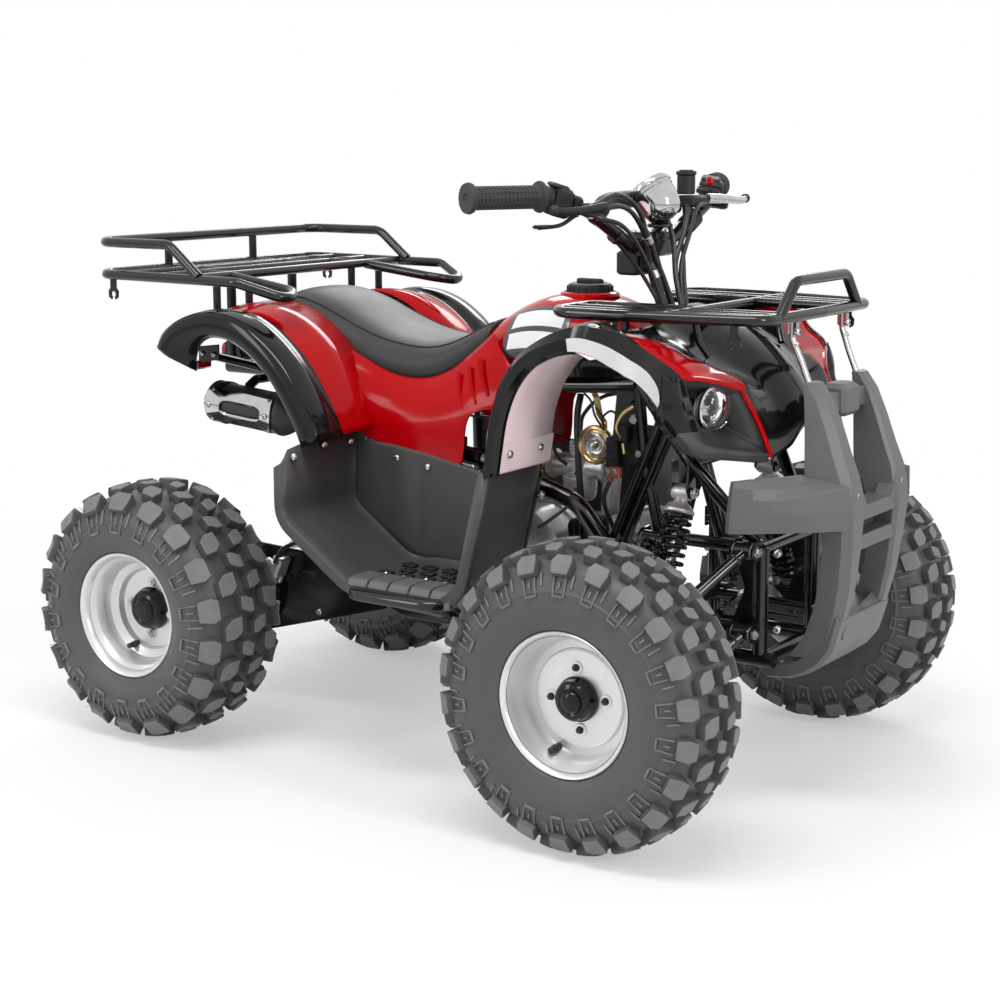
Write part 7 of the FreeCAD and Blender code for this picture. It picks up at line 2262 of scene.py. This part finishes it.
@dataclass
class Engine:
    """The single-cylinder engine with its carburettor, exhaust, horn, coil and wiring."""

    crank: tuple[float, float, float] = (30.0, 0.0, 335.5)
    cylinder_foot: tuple[float, float, float] = (180.3, 0.0, 359.5)
    carb: tuple[float, float, float] = (170.0, 0.0, 505.0)
    split: float = 83.0

    CASE = ((-60, -102), (148, -92), (150, 60), (96, 102), (-70, 101), (-150, 30), (-148, -60), (-60, -102))
    CASE_WIDE = ((0.86, -80), (0.95, -74), (0.965, -40), (0.965, -5), (0.998, -4), (0.998, 4), (0.965, 5),
                 (0.965, 40), (0.95, 74), (0.86, 80))
    CASE_SCREWS = ((-98, 76), (-20, 86), (70, 84), (128, 30), (128, -60), (20, -88), (-80, -80), (-134, -20))
    LEADS = (
        ([(206, -58, 640), (208, -72, 600), (214, -76, 520), (222, -74, 440), (236, -68, 396)], 6, 0),
        ([(296, -110, 508), (286, -112, 476), (290, -98, 440), (298, -84, 404)], 3.8, 0),
        ([(252, -66, 590), (246, -78, 610), (236, -74, 632), (220, -70, 644)], 2, 2),
        ([(258, -66, 590), (262, -80, 606), (280, -84, 620), (300, -92, 616)], 2, 0),
        ([(170, 0, 568), (186, -14, 600), (230, -20, 634), (310, -14, 652), (360, -16, 690)], 3.4, 0),
        ([(140, 10, 470), (116, 30, 440), (96, 40, 450), (60, 46, 500), (10, 50, 560)], 4.6, 0),
        ([(40, -66, 442), (0, -92, 470), (-60, -84, 540), (-120, -80, 620)], 4, 0),
        ([(178, -28, 470), (190, -60, 452), (176, -96, 430), (150, -102, 410)], 3, 1),
        ([(330, -96, 640), (300, -84, 650), (260, -78, 652), (200, -76, 648)], 4.4, 0),
    )
    HEADER = ((300, -62.3, 383.5), (300, -107, 383.5), (250, -136, 470), (60, -136, 526), (-130, -136, 548),
              (-212, -146, 582), (-236, -212, 586), (-254, -234.6, 583.5))
    DRUM = ((14.5, -38), (22, -28), (32, -12), (36, -4), (37.6, 0), (37.6, 4), (36.4, 6), (36.4, 26),
            (37.6, 28), (37.6, 30), (36.4, 32), (36.4, 150), (37.8, 153), (37.8, 160), (34, 162.5),
            (24, 163.5), (22, 160), (12.4, 160), (12.4, 184), (10.6, 184.5), (10.2, 160))

    def build(self) -> None:
        """Builds the whole power unit."""
        self._case()
        self._cylinder()
        self._intake()
        self._exhaust()
        self._silencer()
        self._horn()
        self._coil()
        self._wires()

    def _case(self) -> None:
        """The crankcase halves with ribbed round covers, the output shaft and the starter."""
        centre = vec(*self.crank)
        outline = bent([centre + vec(ahead, 0, high) for ahead, high in self.CASE], 30, 5)[:-1]
        shape = Shape()
        shape.rows([[centre + (p - centre) * size + vec(0, out, 0) for p in outline]
                    for size, out in self.CASE_WIDE], 0, ring=True, caps=True)
        for side in (1, -1):
            shape.join(self._round_cover(centre, 1 if side > 0 else 0).on(side))
        for ahead, high in self.CASE_SCREWS:
            low, top = centre + vec(ahead, -self.split, high), centre + vec(ahead, self.split, high)
            shape.bar(low, top, 8, 0, 14, 1)
            shape.screw(top, (0, 1, 0), 5, 2)
            shape.screw(low, (0, -1, 0), 5, 2)
        shape.bar(OUTPUT_SHAFT + vec(0, 70, 0), OUTPUT_SHAFT + vec(0, 127.5, 0), 15, 2, 24, 1)
        shape.turned([(15, 115), (27, 115), (29, 118), (29, 126), (27, 127.5), (15, 127.5)], OUTPUT_SHAFT,
                     mark=2, steps=28)
        for k, spoke in enumerate(spokes(14)):
            shape.block(OUTPUT_SHAFT + spoke * 30 + vec(0, 121.5, 0), (4, 6, 4), 2, 0.8,
                        Matrix.Rotation(-TURN * k / 14, 4, "Y"))
        motor = centre + vec(28, 0, 118)
        shape.bar(motor + vec(0, -66, 0), motor + vec(0, 40, 0), 15.5, 0, 28, 2)
        shape.bar(motor + vec(0, -72, 0), motor + vec(0, -66, 0), 17, 2, 28, 1)
        for out in (-58, 26):
            shape.block(motor + vec(0, out, -16), (30, 10, 20), 0, 2)
        shape.tube([centre + vec(60, 0, -96), centre + vec(60, 0, -104)], 11, 2, 6)
        make_piece("crankcase", shape, [Finishes.ALLOY, Finishes.ENGINE_BLACK, Finishes.STEEL],
                   ["engine_case"])

    def _round_cover(self, centre: np.ndarray, mark: int) -> Shape:
        """A ribbed round cover of the crankcase, on its left.

        Args:
            centre: the middle of the crankcase.
            mark: the number of its finish.

        Returns:
            The cover with its screws.
        """
        outline = [(0.1, 105.8), (27, 105.5), (30, 103), (50, 103), (52, 105.8), (60, 104.5), (64, 100),
                   (75, 96), (78, 90), (78, 79)]
        face = Shape().turned(outline, centre, mark=mark, steps=56)
        for spoke in spokes(8, math.pi / 8):
            spot = centre + spoke * 70 + vec(0, 95, 0)
            face.bar(spot - vec(0, 16, 0), spot, 7, mark, 14, 1)
            face.screw(spot, (0, 1, 0), 4.4, 2)
        for spoke in spokes(16):
            rib = centre + vec(0, 102.6, 0)
            face.bar(rib + spoke * 31, rib + spoke * 49, 1.8, mark, 6)
        return face

    def _cylinder(self) -> None:
        """The barrel with its square fins, and the head with its round ribbed side cover."""
        foot, way = vec(*self.cylinder_foot), unit(vec(150, 0, 24))
        rise = vec(-way[2], 0, way[0])

        def rings(*sections: tuple[float, float, float]) -> list[Row]:
            """Rounded squares across the barrel, from (way along it, half width, corner radius)."""
            quarters = [(y, z, math.atan2(z, y) + math.pi / 4 * (k / 2 - 1))
                        for y, z in ((1, 1), (-1, 1), (-1, -1), (1, -1)) for k in range(5)]
            return [[foot + way * along + vec(0, y * (half - off) + off * math.cos(turn), 0)
                     + rise * (z * (half - off) + off * math.sin(turn)) for y, z, turn in quarters]
                    for along, half, off in sections]

        shape = Shape().rows(rings((0.5, 42, 14), (92, 42, 14)), 0, ring=True, caps=True)
        for index in range(8):
            start = 11 * (index + 0.8) - 1
            if start + 4 > 92:
                break
            shape.rows(rings((start, 56.5, 16), (start + 0.9, 59, 16), (start + 3.2, 59, 16),
                             (start + 4.1, 56.5, 16)), 1, ring=True, caps=True)
        shape.rows(rings((92, 58, 14), (94, 61.5, 14), (142, 61.5, 16), (149, 54, 16)), 0, ring=True,
                   caps=True)
        for index in range(4):
            start = 99 + index * 11
            shape.rows(rings((start, 60, 14), (start, 62.2, 14), (start + 3.4, 62.2, 14),
                             (start + 3.4, 60, 14)), 0, ring=True)
        middle = foot + way * 116
        outline = [(0.1, 66), (13, 65.6), (16, 63.8), (30, 63.8), (34, 66), (41, 64.5), (44, 62), (44, 58)]
        for side in (1, -1):
            cover = Shape().turned(outline, middle, mark=0, steps=40)
            rib = middle + vec(0, 63.8, 0)
            for spoke in spokes(9, 0.2):
                cover.bar(rib + spoke * 15, rib + spoke * 31, 1.8, 0, 6)
            for spoke in spokes(3, 0.6):
                cover.screw(middle + spoke * 38 + vec(0, 64, 0), (0, 1, 0), 6, 2)
            shape.join(cover.on(side))
        for y in (34, -34):
            for up in (34, -34):
                shape.nut(foot + way * 148 + rise * up + vec(0, y, 0), way, 6.5, 2)
        tappet = foot + way * 122 + rise * 60
        shape.bar(tappet, tappet + rise * 7, 20, 0, 6)
        shape.bar(tappet - rise * 126, tappet - rise * 119, 20, 0, 6)
        plug = foot + way * 112 + vec(0, -64, 0) + rise * 18
        shape.bar(plug, plug + vec(0, -14, 0) + way * 6, 8, 3, 16, 1)
        shape.bar(foot + way * 2 + rise * 44, foot + way * 90 + rise * 50, 7, 2, 12, 1)
        make_piece("cylinder_and_head", shape,
                   [Finishes.ALLOY, Finishes.ENGINE_BLACK, Finishes.STEEL, Finishes.HOSE],
                   ["engine_cylinder"], crease=30)

    def _intake(self) -> None:
        """The carburettor with its bowl, top, air hose and the bent intake pipe."""
        x, _, z = self.carb
        shape = Shape()
        shape.turned([(0.1, -60), (22, -59), (27, -54), (29.5, -46), (30, -24), (31, -23), (31, -19),
                      (28, -18), (28, -3), (24, 0)], (x, 0, z), (0, 0, 1), 0, 36)
        for k in range(4):
            turn = TURN * (k + 0.5) / 4
            shape.screw((x + 27 * math.cos(turn), 27 * math.sin(turn), z - 18), (0, 0, 1), 3.4, 1)
        shape.bar((x, 0, z - 62), (x, 0, z - 58), 7, 2, 6)
        shape.turned([(19, -60), (24, -60), (26, -57), (26, -50), (20, -47), (20, 47), (26, 50), (26, 57),
                      (24, 60), (19, 60)], (x, 0, z), (1, 0, 0), 0, 32)
        shape.block((x, 0, z + 8), (44, 44, 30), 0, 6)
        shape.turned([(19, 20), (19, 42), (17, 46), (8, 48), (6, 60), (4, 64), (0.1, 64)], (x, 0, z),
                     (0, 0, 1), 1, 28)
        for up in (28, 33, 38):
            shape.turned([(19, up), (20, up + 1), (20, up + 2.5), (19, up + 3.5)], (x, 0, z), (0, 0, 1), 1,
                         24)
        shape.block((x - 6, -26, z + 2), (26, 10, 24), 1, 3)
        shape.bar((x - 6, -31, z + 2), (x - 6, -36, z + 2), 6, 1, 16, 1)
        shape.bar((x + 12, -24, z - 8), (x + 12, -34, z - 8), 3.5, 2, 6)
        shape.tube(flowing([(x - 6, -34, z + 6), (x - 22, -40, z + 20), (x - 34, -36, z + 44)], 6), 3, 3, 8)
        line = flowing([(x + 54, 0, z), (x + 64, 0, z - 10), (x + 62, 0, z - 45), (x + 60, 0, z - 108)], 8)
        shape.tube(line, [16.5 - 1.5 * k / len(line) for k in range(len(line))], 0, 24)
        shape.block((x + 60, 0, z - 102), (54, 40, 9), 0, 3)
        for y in (-15, 15):
            shape.nut((x + 60, y, z - 98), (0, 0, 1), 5, 2)
        air = [(20, -60), (27, -62), (29, -68), (34, -72), (36, -78), (36, -126), (33, -132), (0.1, -132)]
        shape.turned(air[::-1], (x, 0, z), (1, 0, 0), 3, 36)
        for k in range(6):
            shape.turned([(36, -84 - k * 7), (37, -85 - k * 7), (37, -87 - k * 7), (36, -88 - k * 7)][::-1],
                         (x, 0, z), (1, 0, 0), 3, 32)
        shape.turned([(27.6, -66), (28.6, -65), (28.6, -60), (27.6, -59)][::-1], (x, 0, z), (1, 0, 0), 2, 32)
        make_piece("carburettor_unit", shape,
                   [Finishes.ALLOY, Finishes.SILVER, Finishes.BRASS, Finishes.MATTE_BLACK],
                   ["carburettor"], crease=32)

    def _exhaust(self) -> None:
        """The header with its flange and welds."""
        shape = Shape().tube(bent(self.HEADER, 45), 15, 0, 22)
        shape.plate([(278, -66, 376), (288, -66, 364), (312, -66, 364), (322, -66, 376), (322, -66, 391),
                     (312, -66, 403), (288, -66, 403), (278, -66, 391)], (0, -7, 0), 1)
        for ahead in (281, 319):
            shape.nut((ahead, -73, 383.5), (0, -1, 0), 5.6, 1)
        for spot, way in ((vec(60, -136, 526), vec(-190, 0, 22)), (vec(-120, -136, 546.8), vec(-190, 0, 22))):
            weld(shape, spot, way, 15)
        shape.plate([(-40, -124, 538), (-8, -124, 534), (-8, -124, 552), (-40, -124, 556)], (0, 36, 0), 0)
        make_piece("exhaust_header", shape, [Finishes.DARK_CHROME, Finishes.STEEL], ["exhaust_pipe"],
                   crease=38)

    def _silencer(self) -> None:
        """The silencer drum, its slotted polished guard, strap and outlet."""
        front, rear = vec(-296, -235, 584), vec(-458, -235, 598)
        way = unit(rear - front)
        rise = vec(-way[2], 0, way[0]) * -1
        side = vec(0, -1, 0)
        shape = Shape().turned(self.DRUM, front, way, 0, 48)
        for k in range(10):
            turn = TURN * k / 10
            spot = front + way * 163.4 + (side * math.cos(turn) + rise * math.sin(turn)) * 18.5
            shape.bar(spot, spot + way * 0.8, 2.4, 3, 8)
        wide = math.radians(46)

        def skin(along: float, turn: float, lift: float = 0.0) -> np.ndarray:
            """A point on the guard."""
            return front + way * along + (side * math.cos(turn) + rise * math.sin(turn)) * (41.5 + lift)

        start, end, slot_start, slot_end, slot = 4, 158, 26, 122, math.radians(15)
        outer, inner = [], []
        for k in range(48):
            turn = TURN * k / 48
            across, up = math.cos(turn), math.sin(turn)
            fat = 1 / max(abs(across), abs(up)) ** 0.82
            outer.append(((start + end) / 2 + (end - start) / 2 * max(min(across * fat, 1), -1),
                          wide * max(min(up * fat, 1), -1)))
            round_end = (slot_start + slot_end) / 2 + (slot_end - slot_start) / 2 * math.copysign(
                abs(across) ** 0.45, across)
            inner.append((round_end, slot * math.copysign(min(abs(up) ** 0.6, 1), up)))
        shape.rows([[skin(a, t, -3) for a, t in outer], [skin(a, t, 0) for a, t in outer],
                    [skin(a, t * 1.3, 0.6) for a, t in inner], [skin(a, t, -2) for a, t in inner]], 1,
                   ring=True)
        for along in (14, 146):
            shape.screw(skin(along, 0, 0), side, 5.6, 2)
            for turn in (-0.72, 0.72):
                shape.bar(skin(along, turn, -6), skin(along, turn, 0.6), 3.4, 2, 10)
        shape.turned([(36.6, 132), (38.6, 133), (38.6, 145), (36.6, 146)], front, way, 3, 40)
        shape.tube(bent([(-382, -235, 629), (-382, -214, 640), (-382, -110, 640)], 14), 8.5, 3, 14)
        shape.block((-382, -112, 640), (26, 10, 24), 3, 2)
        shape.nut((-382, -117, 640), (0, -1, 0), 6, 2)
        make_piece("silencer_can", shape,
                   [Finishes.ENGINE_BLACK, Finishes.CHROME, Finishes.STEEL, Finishes.TUBE], ["silencer"])

    def _horn(self) -> None:
        """The disc horn: a passivated ring, a silver middle and its strap."""
        face = vec(250, -84, 560)
        shape = Shape().turned([(0.1, 29), (22, 29), (26, 24), (30, 14), (33, 8), (33.6, 3), (32, -0.5),
                                (28, -2.4), (25.5, -0.5), (24, 3)], face, (0, 1, 0), 0, 44)
        shape.turned([(24, 3), (22, 2), (20.5, -2), (18.5, -3.4), (17, -1.6), (15, 2.4), (11, 3), (9.5, 0),
                      (8, -3.6), (6, -5.4), (4.6, -4.6), (4.4, -7.4), (0.1, -7.8)], face, (0, 1, 0), 1, 40)
        shape.tube([face + vec(0, 26, 0), face + vec(0, 31, 0)], 6.5, 3, 6)
        for side in (-10, 10):
            shape.block(face + vec(side, 31, 12), (5, 8, 8), 2, 1)
        strap = [face + vec(0, 29, 0), face + vec(0, 29, 36), face + vec(0, 14, 50), (250, -80, 640),
                 (250, -88, 649)]
        for start, end in zip(strap, strap[1:]):
            first, last = np.array(start, float), np.array(end, float)
            shape.plate([first + vec(-6, 0, 0), first + vec(6, 0, 0), last + vec(6, 0, 0),
                         last + vec(-6, 0, 0)], (0, 1.8, 0), 0)
        make_piece("disc_horn", shape, [Finishes.BRASS, Finishes.STEEL, Finishes.COPPER, Finishes.ALLOY],
                   ["horn"])

    def _coil(self) -> None:
        """The ignition coil, the copper terminals and the relay, on their bracket by the horn."""
        shape = Shape()
        shape.plate([(286, -96, 520), (352, -96, 548), (352, -96, 660), (300, -96, 660)], (0, 3, 0), 0)
        shape.block((300, -106, 556), (22, 18, 52), 0, 3)
        shape.block((318, -108, 590), (26, 20, 30), 0, 3)
        for k in range(4):
            shape.block((300, -116, 536 + k * 12), (20, 3, 4), 0, 1)
        shape.block((308, -112, 524), (20, 12, 20), 1, 2)
        shape.bar((308, -112, 524), (308, -120, 524), 6, 2, 12, 1)
        shape.bar((296, -110, 508), (300, -110, 520), 6, 1, 12, 1)
        shape.bar((322, -112, 574), (326, -114, 556), 4, 3, 10, 0.8)
        shape.tube(flowing([(322, -114, 578), (314, -120, 600), (322, -116, 622), (338, -108, 636)], 6), 3.2,
                   3, 8)
        shape.nut((334, -96, 612), (0, -1, 0), 7.5, 2)
        shape.nut((344, -96, 556), (0, -1, 0), 6, 2)
        shape.bar((330, -90, 612), (330, -78, 612), 6, 2, 12)
        make_piece("coil_and_terminals", shape,
                   [Finishes.MATTE_BLACK, Finishes.COPPER, Finishes.STEEL, Finishes.BRASS])

    def _wires(self) -> None:
        """Hoses and leads between the engine, the coil and the rails."""
        shape = Shape()
        for points, radius, mark in self.LEADS:
            shape.tube(flowing(points, 8), radius, mark, 10)
        make_piece("engine_leads", shape, [Finishes.HOSE, Finishes.RUBBER, Finishes.BLUE_LEAD])


@dataclass
class TailPieces:
    """The rear lamp with its reflectors, and the pocket brackets under the rear flares."""

    def build(self) -> None:
        """Builds the lamp and brackets."""
        lamp = Shape()
        lamp.block((-572, 0, 665), (16, 160, 40), 1, 3)
        rows = []
        for out in np.linspace(-77, 77, 15):
            bow = 1 - (out / 77) ** 2 * 0.35
            rows.append([(-579, out, 647), (-579 - 9 * bow, out, 650), (-582 - 11.5 * bow, out, 658),
                         (-582 - 11.5 * bow, out, 672), (-579 - 9 * bow, out, 680), (-579, out, 683)])
        lamp.rows(rows, 0, ring=True, caps=True)
        for k in range(9):
            lamp.block((-590, -64 + 16 * k, 665), (4, 12, 26), 0, 1.4)
        lamp.block((-566, 0, 665), (12, 120, 30), 1, 2)
        for side in (1, -1):
            lamp.bar((-566, 60 * side, 652), (-545, 60 * side, 643), 5, 1, 12)
        make_piece("rear_lamp", lamp, [Finishes.RED_LENS, Finishes.MATTE_BLACK], ["tail_lamp"], crease=30)
        half = Shape()
        half.plate([(-500, 236, 664), (-452, 236, 672), (-452, 236, 700), (-500, 236, 694)], (0, -3, 0), 0)
        half.bar((-476, 234, 680), (-476, 100, 644), 8, 0, 14)
        half.bar((-400, 96, 644), (-400, 214, 716), 8, 0, 14)
        for ahead in (-490, -462):
            half.screw((ahead, 238, 681), (0, 1, 0), 5, 1)
        half.block((-508, 226, 660), (26, 40, 16), 2, 3)
        make_piece("flare_brackets", half.both(), [Finishes.TUBE, Finishes.STEEL, Finishes.RED_LENS])


@dataclass
class Studio:
    """The pale floor, soft light and the camera of the photograph."""

    camera_place: tuple[float, float, float] = (1934.5, -2836.8, 1083.9)
    azimuth: float = 34.55
    elevation: float = 10.17
    roll: float = -0.06
    lens: float = 70.156
    shift: tuple[float, float] = (0.0091, -0.0229)
    floor_size: float = 60.0
    fade: tuple[float, float] = (0.9, 2.5)
    sky_strength: float = 0.62

    def build(self) -> None:
        """Makes the whole studio."""
        self._camera()
        self._floor()
        self._sky()
        self._lamp("key_softbox", (0.6, -1.4, 3.4), (0.1, 0, 0.5), (2.4, 0.7), 62)
        self._lamp("side_softbox", (-1.9, -3.2, 1.9), (-0.1, 0, 0.5), (0.6, 2), 24)
        self._lamp("front_softbox", (4.2, -0.9, 2), (0.2, 0, 0.5), (0.7, 1.8), 52)
        self._lamp("back_softbox", (-1.4, 3.2, 2.6), (0, 0, 0.6), (2.2, 0.8), 40)
        bpy.context.scene.view_settings.view_transform = "Standard"

    def _camera(self) -> None:
        """Sets the camera up where the photograph was taken from."""
        turn, lift, lean = (math.radians(a) for a in (self.azimuth, self.elevation, self.roll))
        forward = -vec(math.sin(turn) * math.cos(lift), -math.cos(turn) * math.cos(lift), math.sin(lift))
        right = unit(np.cross(forward, vec(0, 0, 1)))
        rise = np.cross(right, forward)
        right, rise = (math.cos(lean) * right + math.sin(lean) * rise,
                       math.cos(lean) * rise - math.sin(lean) * right)
        data = bpy.data.cameras.new("photo_camera")
        data.lens = self.lens
        data.sensor_width = 36
        data.shift_x, data.shift_y = self.shift
        data.clip_end = 100
        camera = bpy.data.objects.new("photo_camera", data)
        bpy.context.scene.collection.objects.link(camera)
        grid = Matrix((right, rise, -forward)).transposed().to_4x4()
        camera.matrix_world = Matrix.Translation(Vector(self.camera_place) * METRES) @ grid
        bpy.context.scene.camera = camera

    def _floor(self) -> None:
        """A pale floor that shows the machine's shadow and fades to white."""
        half = self.floor_size / 2
        mesh = bpy.data.meshes.new("studio_floor")
        mesh.from_pydata([(-half, -half, 0), (half, -half, 0), (half, half, 0), (-half, half, 0)], [],
                         [(0, 1, 2, 3)])
        floor = bpy.data.objects.new("studio_floor", mesh)
        bpy.context.scene.collection.objects.link(floor)
        paper = bpy.data.materials.new("floor_paper")
        paper.use_nodes = True
        tree = paper.node_tree
        shader = tree.nodes["Principled BSDF"]
        feed(tree, shader, {"Base Color": (0.90, 0.90, 0.91, 1), "Roughness": 0.55,
                            "Specular IOR Level": 0.2})
        glow = add_node(tree, "Emission", {"Strength": 1})
        path = add_node(tree, "LightPath")
        place = add_node(tree, "TexCoord").outputs["Object"]
        reach = add_node(tree, "VectorMath", {0: place}, operation="LENGTH")
        start, end = self.fade
        fade = add_node(tree, "MapRange", {"From Min": start, "From Max": end, "To Min": 0.42, "To Max": 1,
                                           "Value": reach.outputs["Value"]}, interpolation_type="SMOOTHSTEP")
        share = add_node(tree, "Math", {0: path.outputs["Is Camera Ray"], 1: fade.outputs["Result"]},
                         operation="MULTIPLY")
        blend = add_node(tree, "MixShader", {0: share.outputs[0], 1: shader.outputs[0], 2: glow.outputs[0]})
        feed(tree, tree.nodes["Material Output"], {"Surface": blend.outputs[0]})
        mesh.materials.append(paper)

    def _sky(self) -> None:
        """A white surround for the camera, glossy and clear surfaces, and a softer one for light."""
        world = bpy.data.worlds.new("studio_world")
        bpy.context.scene.world = world
        world.use_nodes = True
        tree = world.node_tree
        rays = add_node(tree, "LightPath").outputs
        seen = add_node(tree, "Math", {0: rays["Is Camera Ray"], 1: rays["Is Transmission Ray"]},
                        operation="ADD", use_clamp=True)
        both = add_node(tree, "Math", {0: seen.outputs[0], 1: rays["Is Glossy Ray"]}, operation="ADD",
                        use_clamp=True)
        strength = add_node(tree, "MapRange", {"To Min": self.sky_strength, "To Max": 1,
                                               "Value": both.outputs[0]})
        feed(tree, tree.nodes["Background"], {"Color": (1, 1, 1, 1), "Strength": strength.outputs["Result"]})

    def _lamp(self, name: str, place: Point, target: Point, size: tuple[float, float], power: float) -> None:
        """A rectangular softbox, in metres and watts.

        Args:
            name: its name.
            place: where it stands.
            target: what it points at.
            size: its width and height.
            power: its power.
        """
        data = bpy.data.lights.new(name, "AREA")
        data.shape = "RECTANGLE"
        data.size, data.size_y = size
        data.energy = power
        lamp = bpy.data.objects.new(name, data)
        lamp.location = place
        lamp.rotation_euler = (Vector(target) - Vector(place)).to_track_quat("-Z", "Y").to_euler()
        bpy.context.scene.collection.objects.link(lamp)


def main() -> None:
    """Loads the frame and dresses it, one sub-assembly after the other."""
    logging.basicConfig(level=logging.INFO, format="%(message)s")
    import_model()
    Studio().build()
    assemblies = [Wheels(), Fenders(), Hood(), Tank(), Seat(), Bumper(), Racks(), Controls(), Footwells(),
                  Frame(), Suspension(), Engine(), TailPieces()]
    for assembly in assemblies:
        assembly.build()
        log.info("%s done", type(assembly).__name__)


if __name__ == "__main__":
    main()
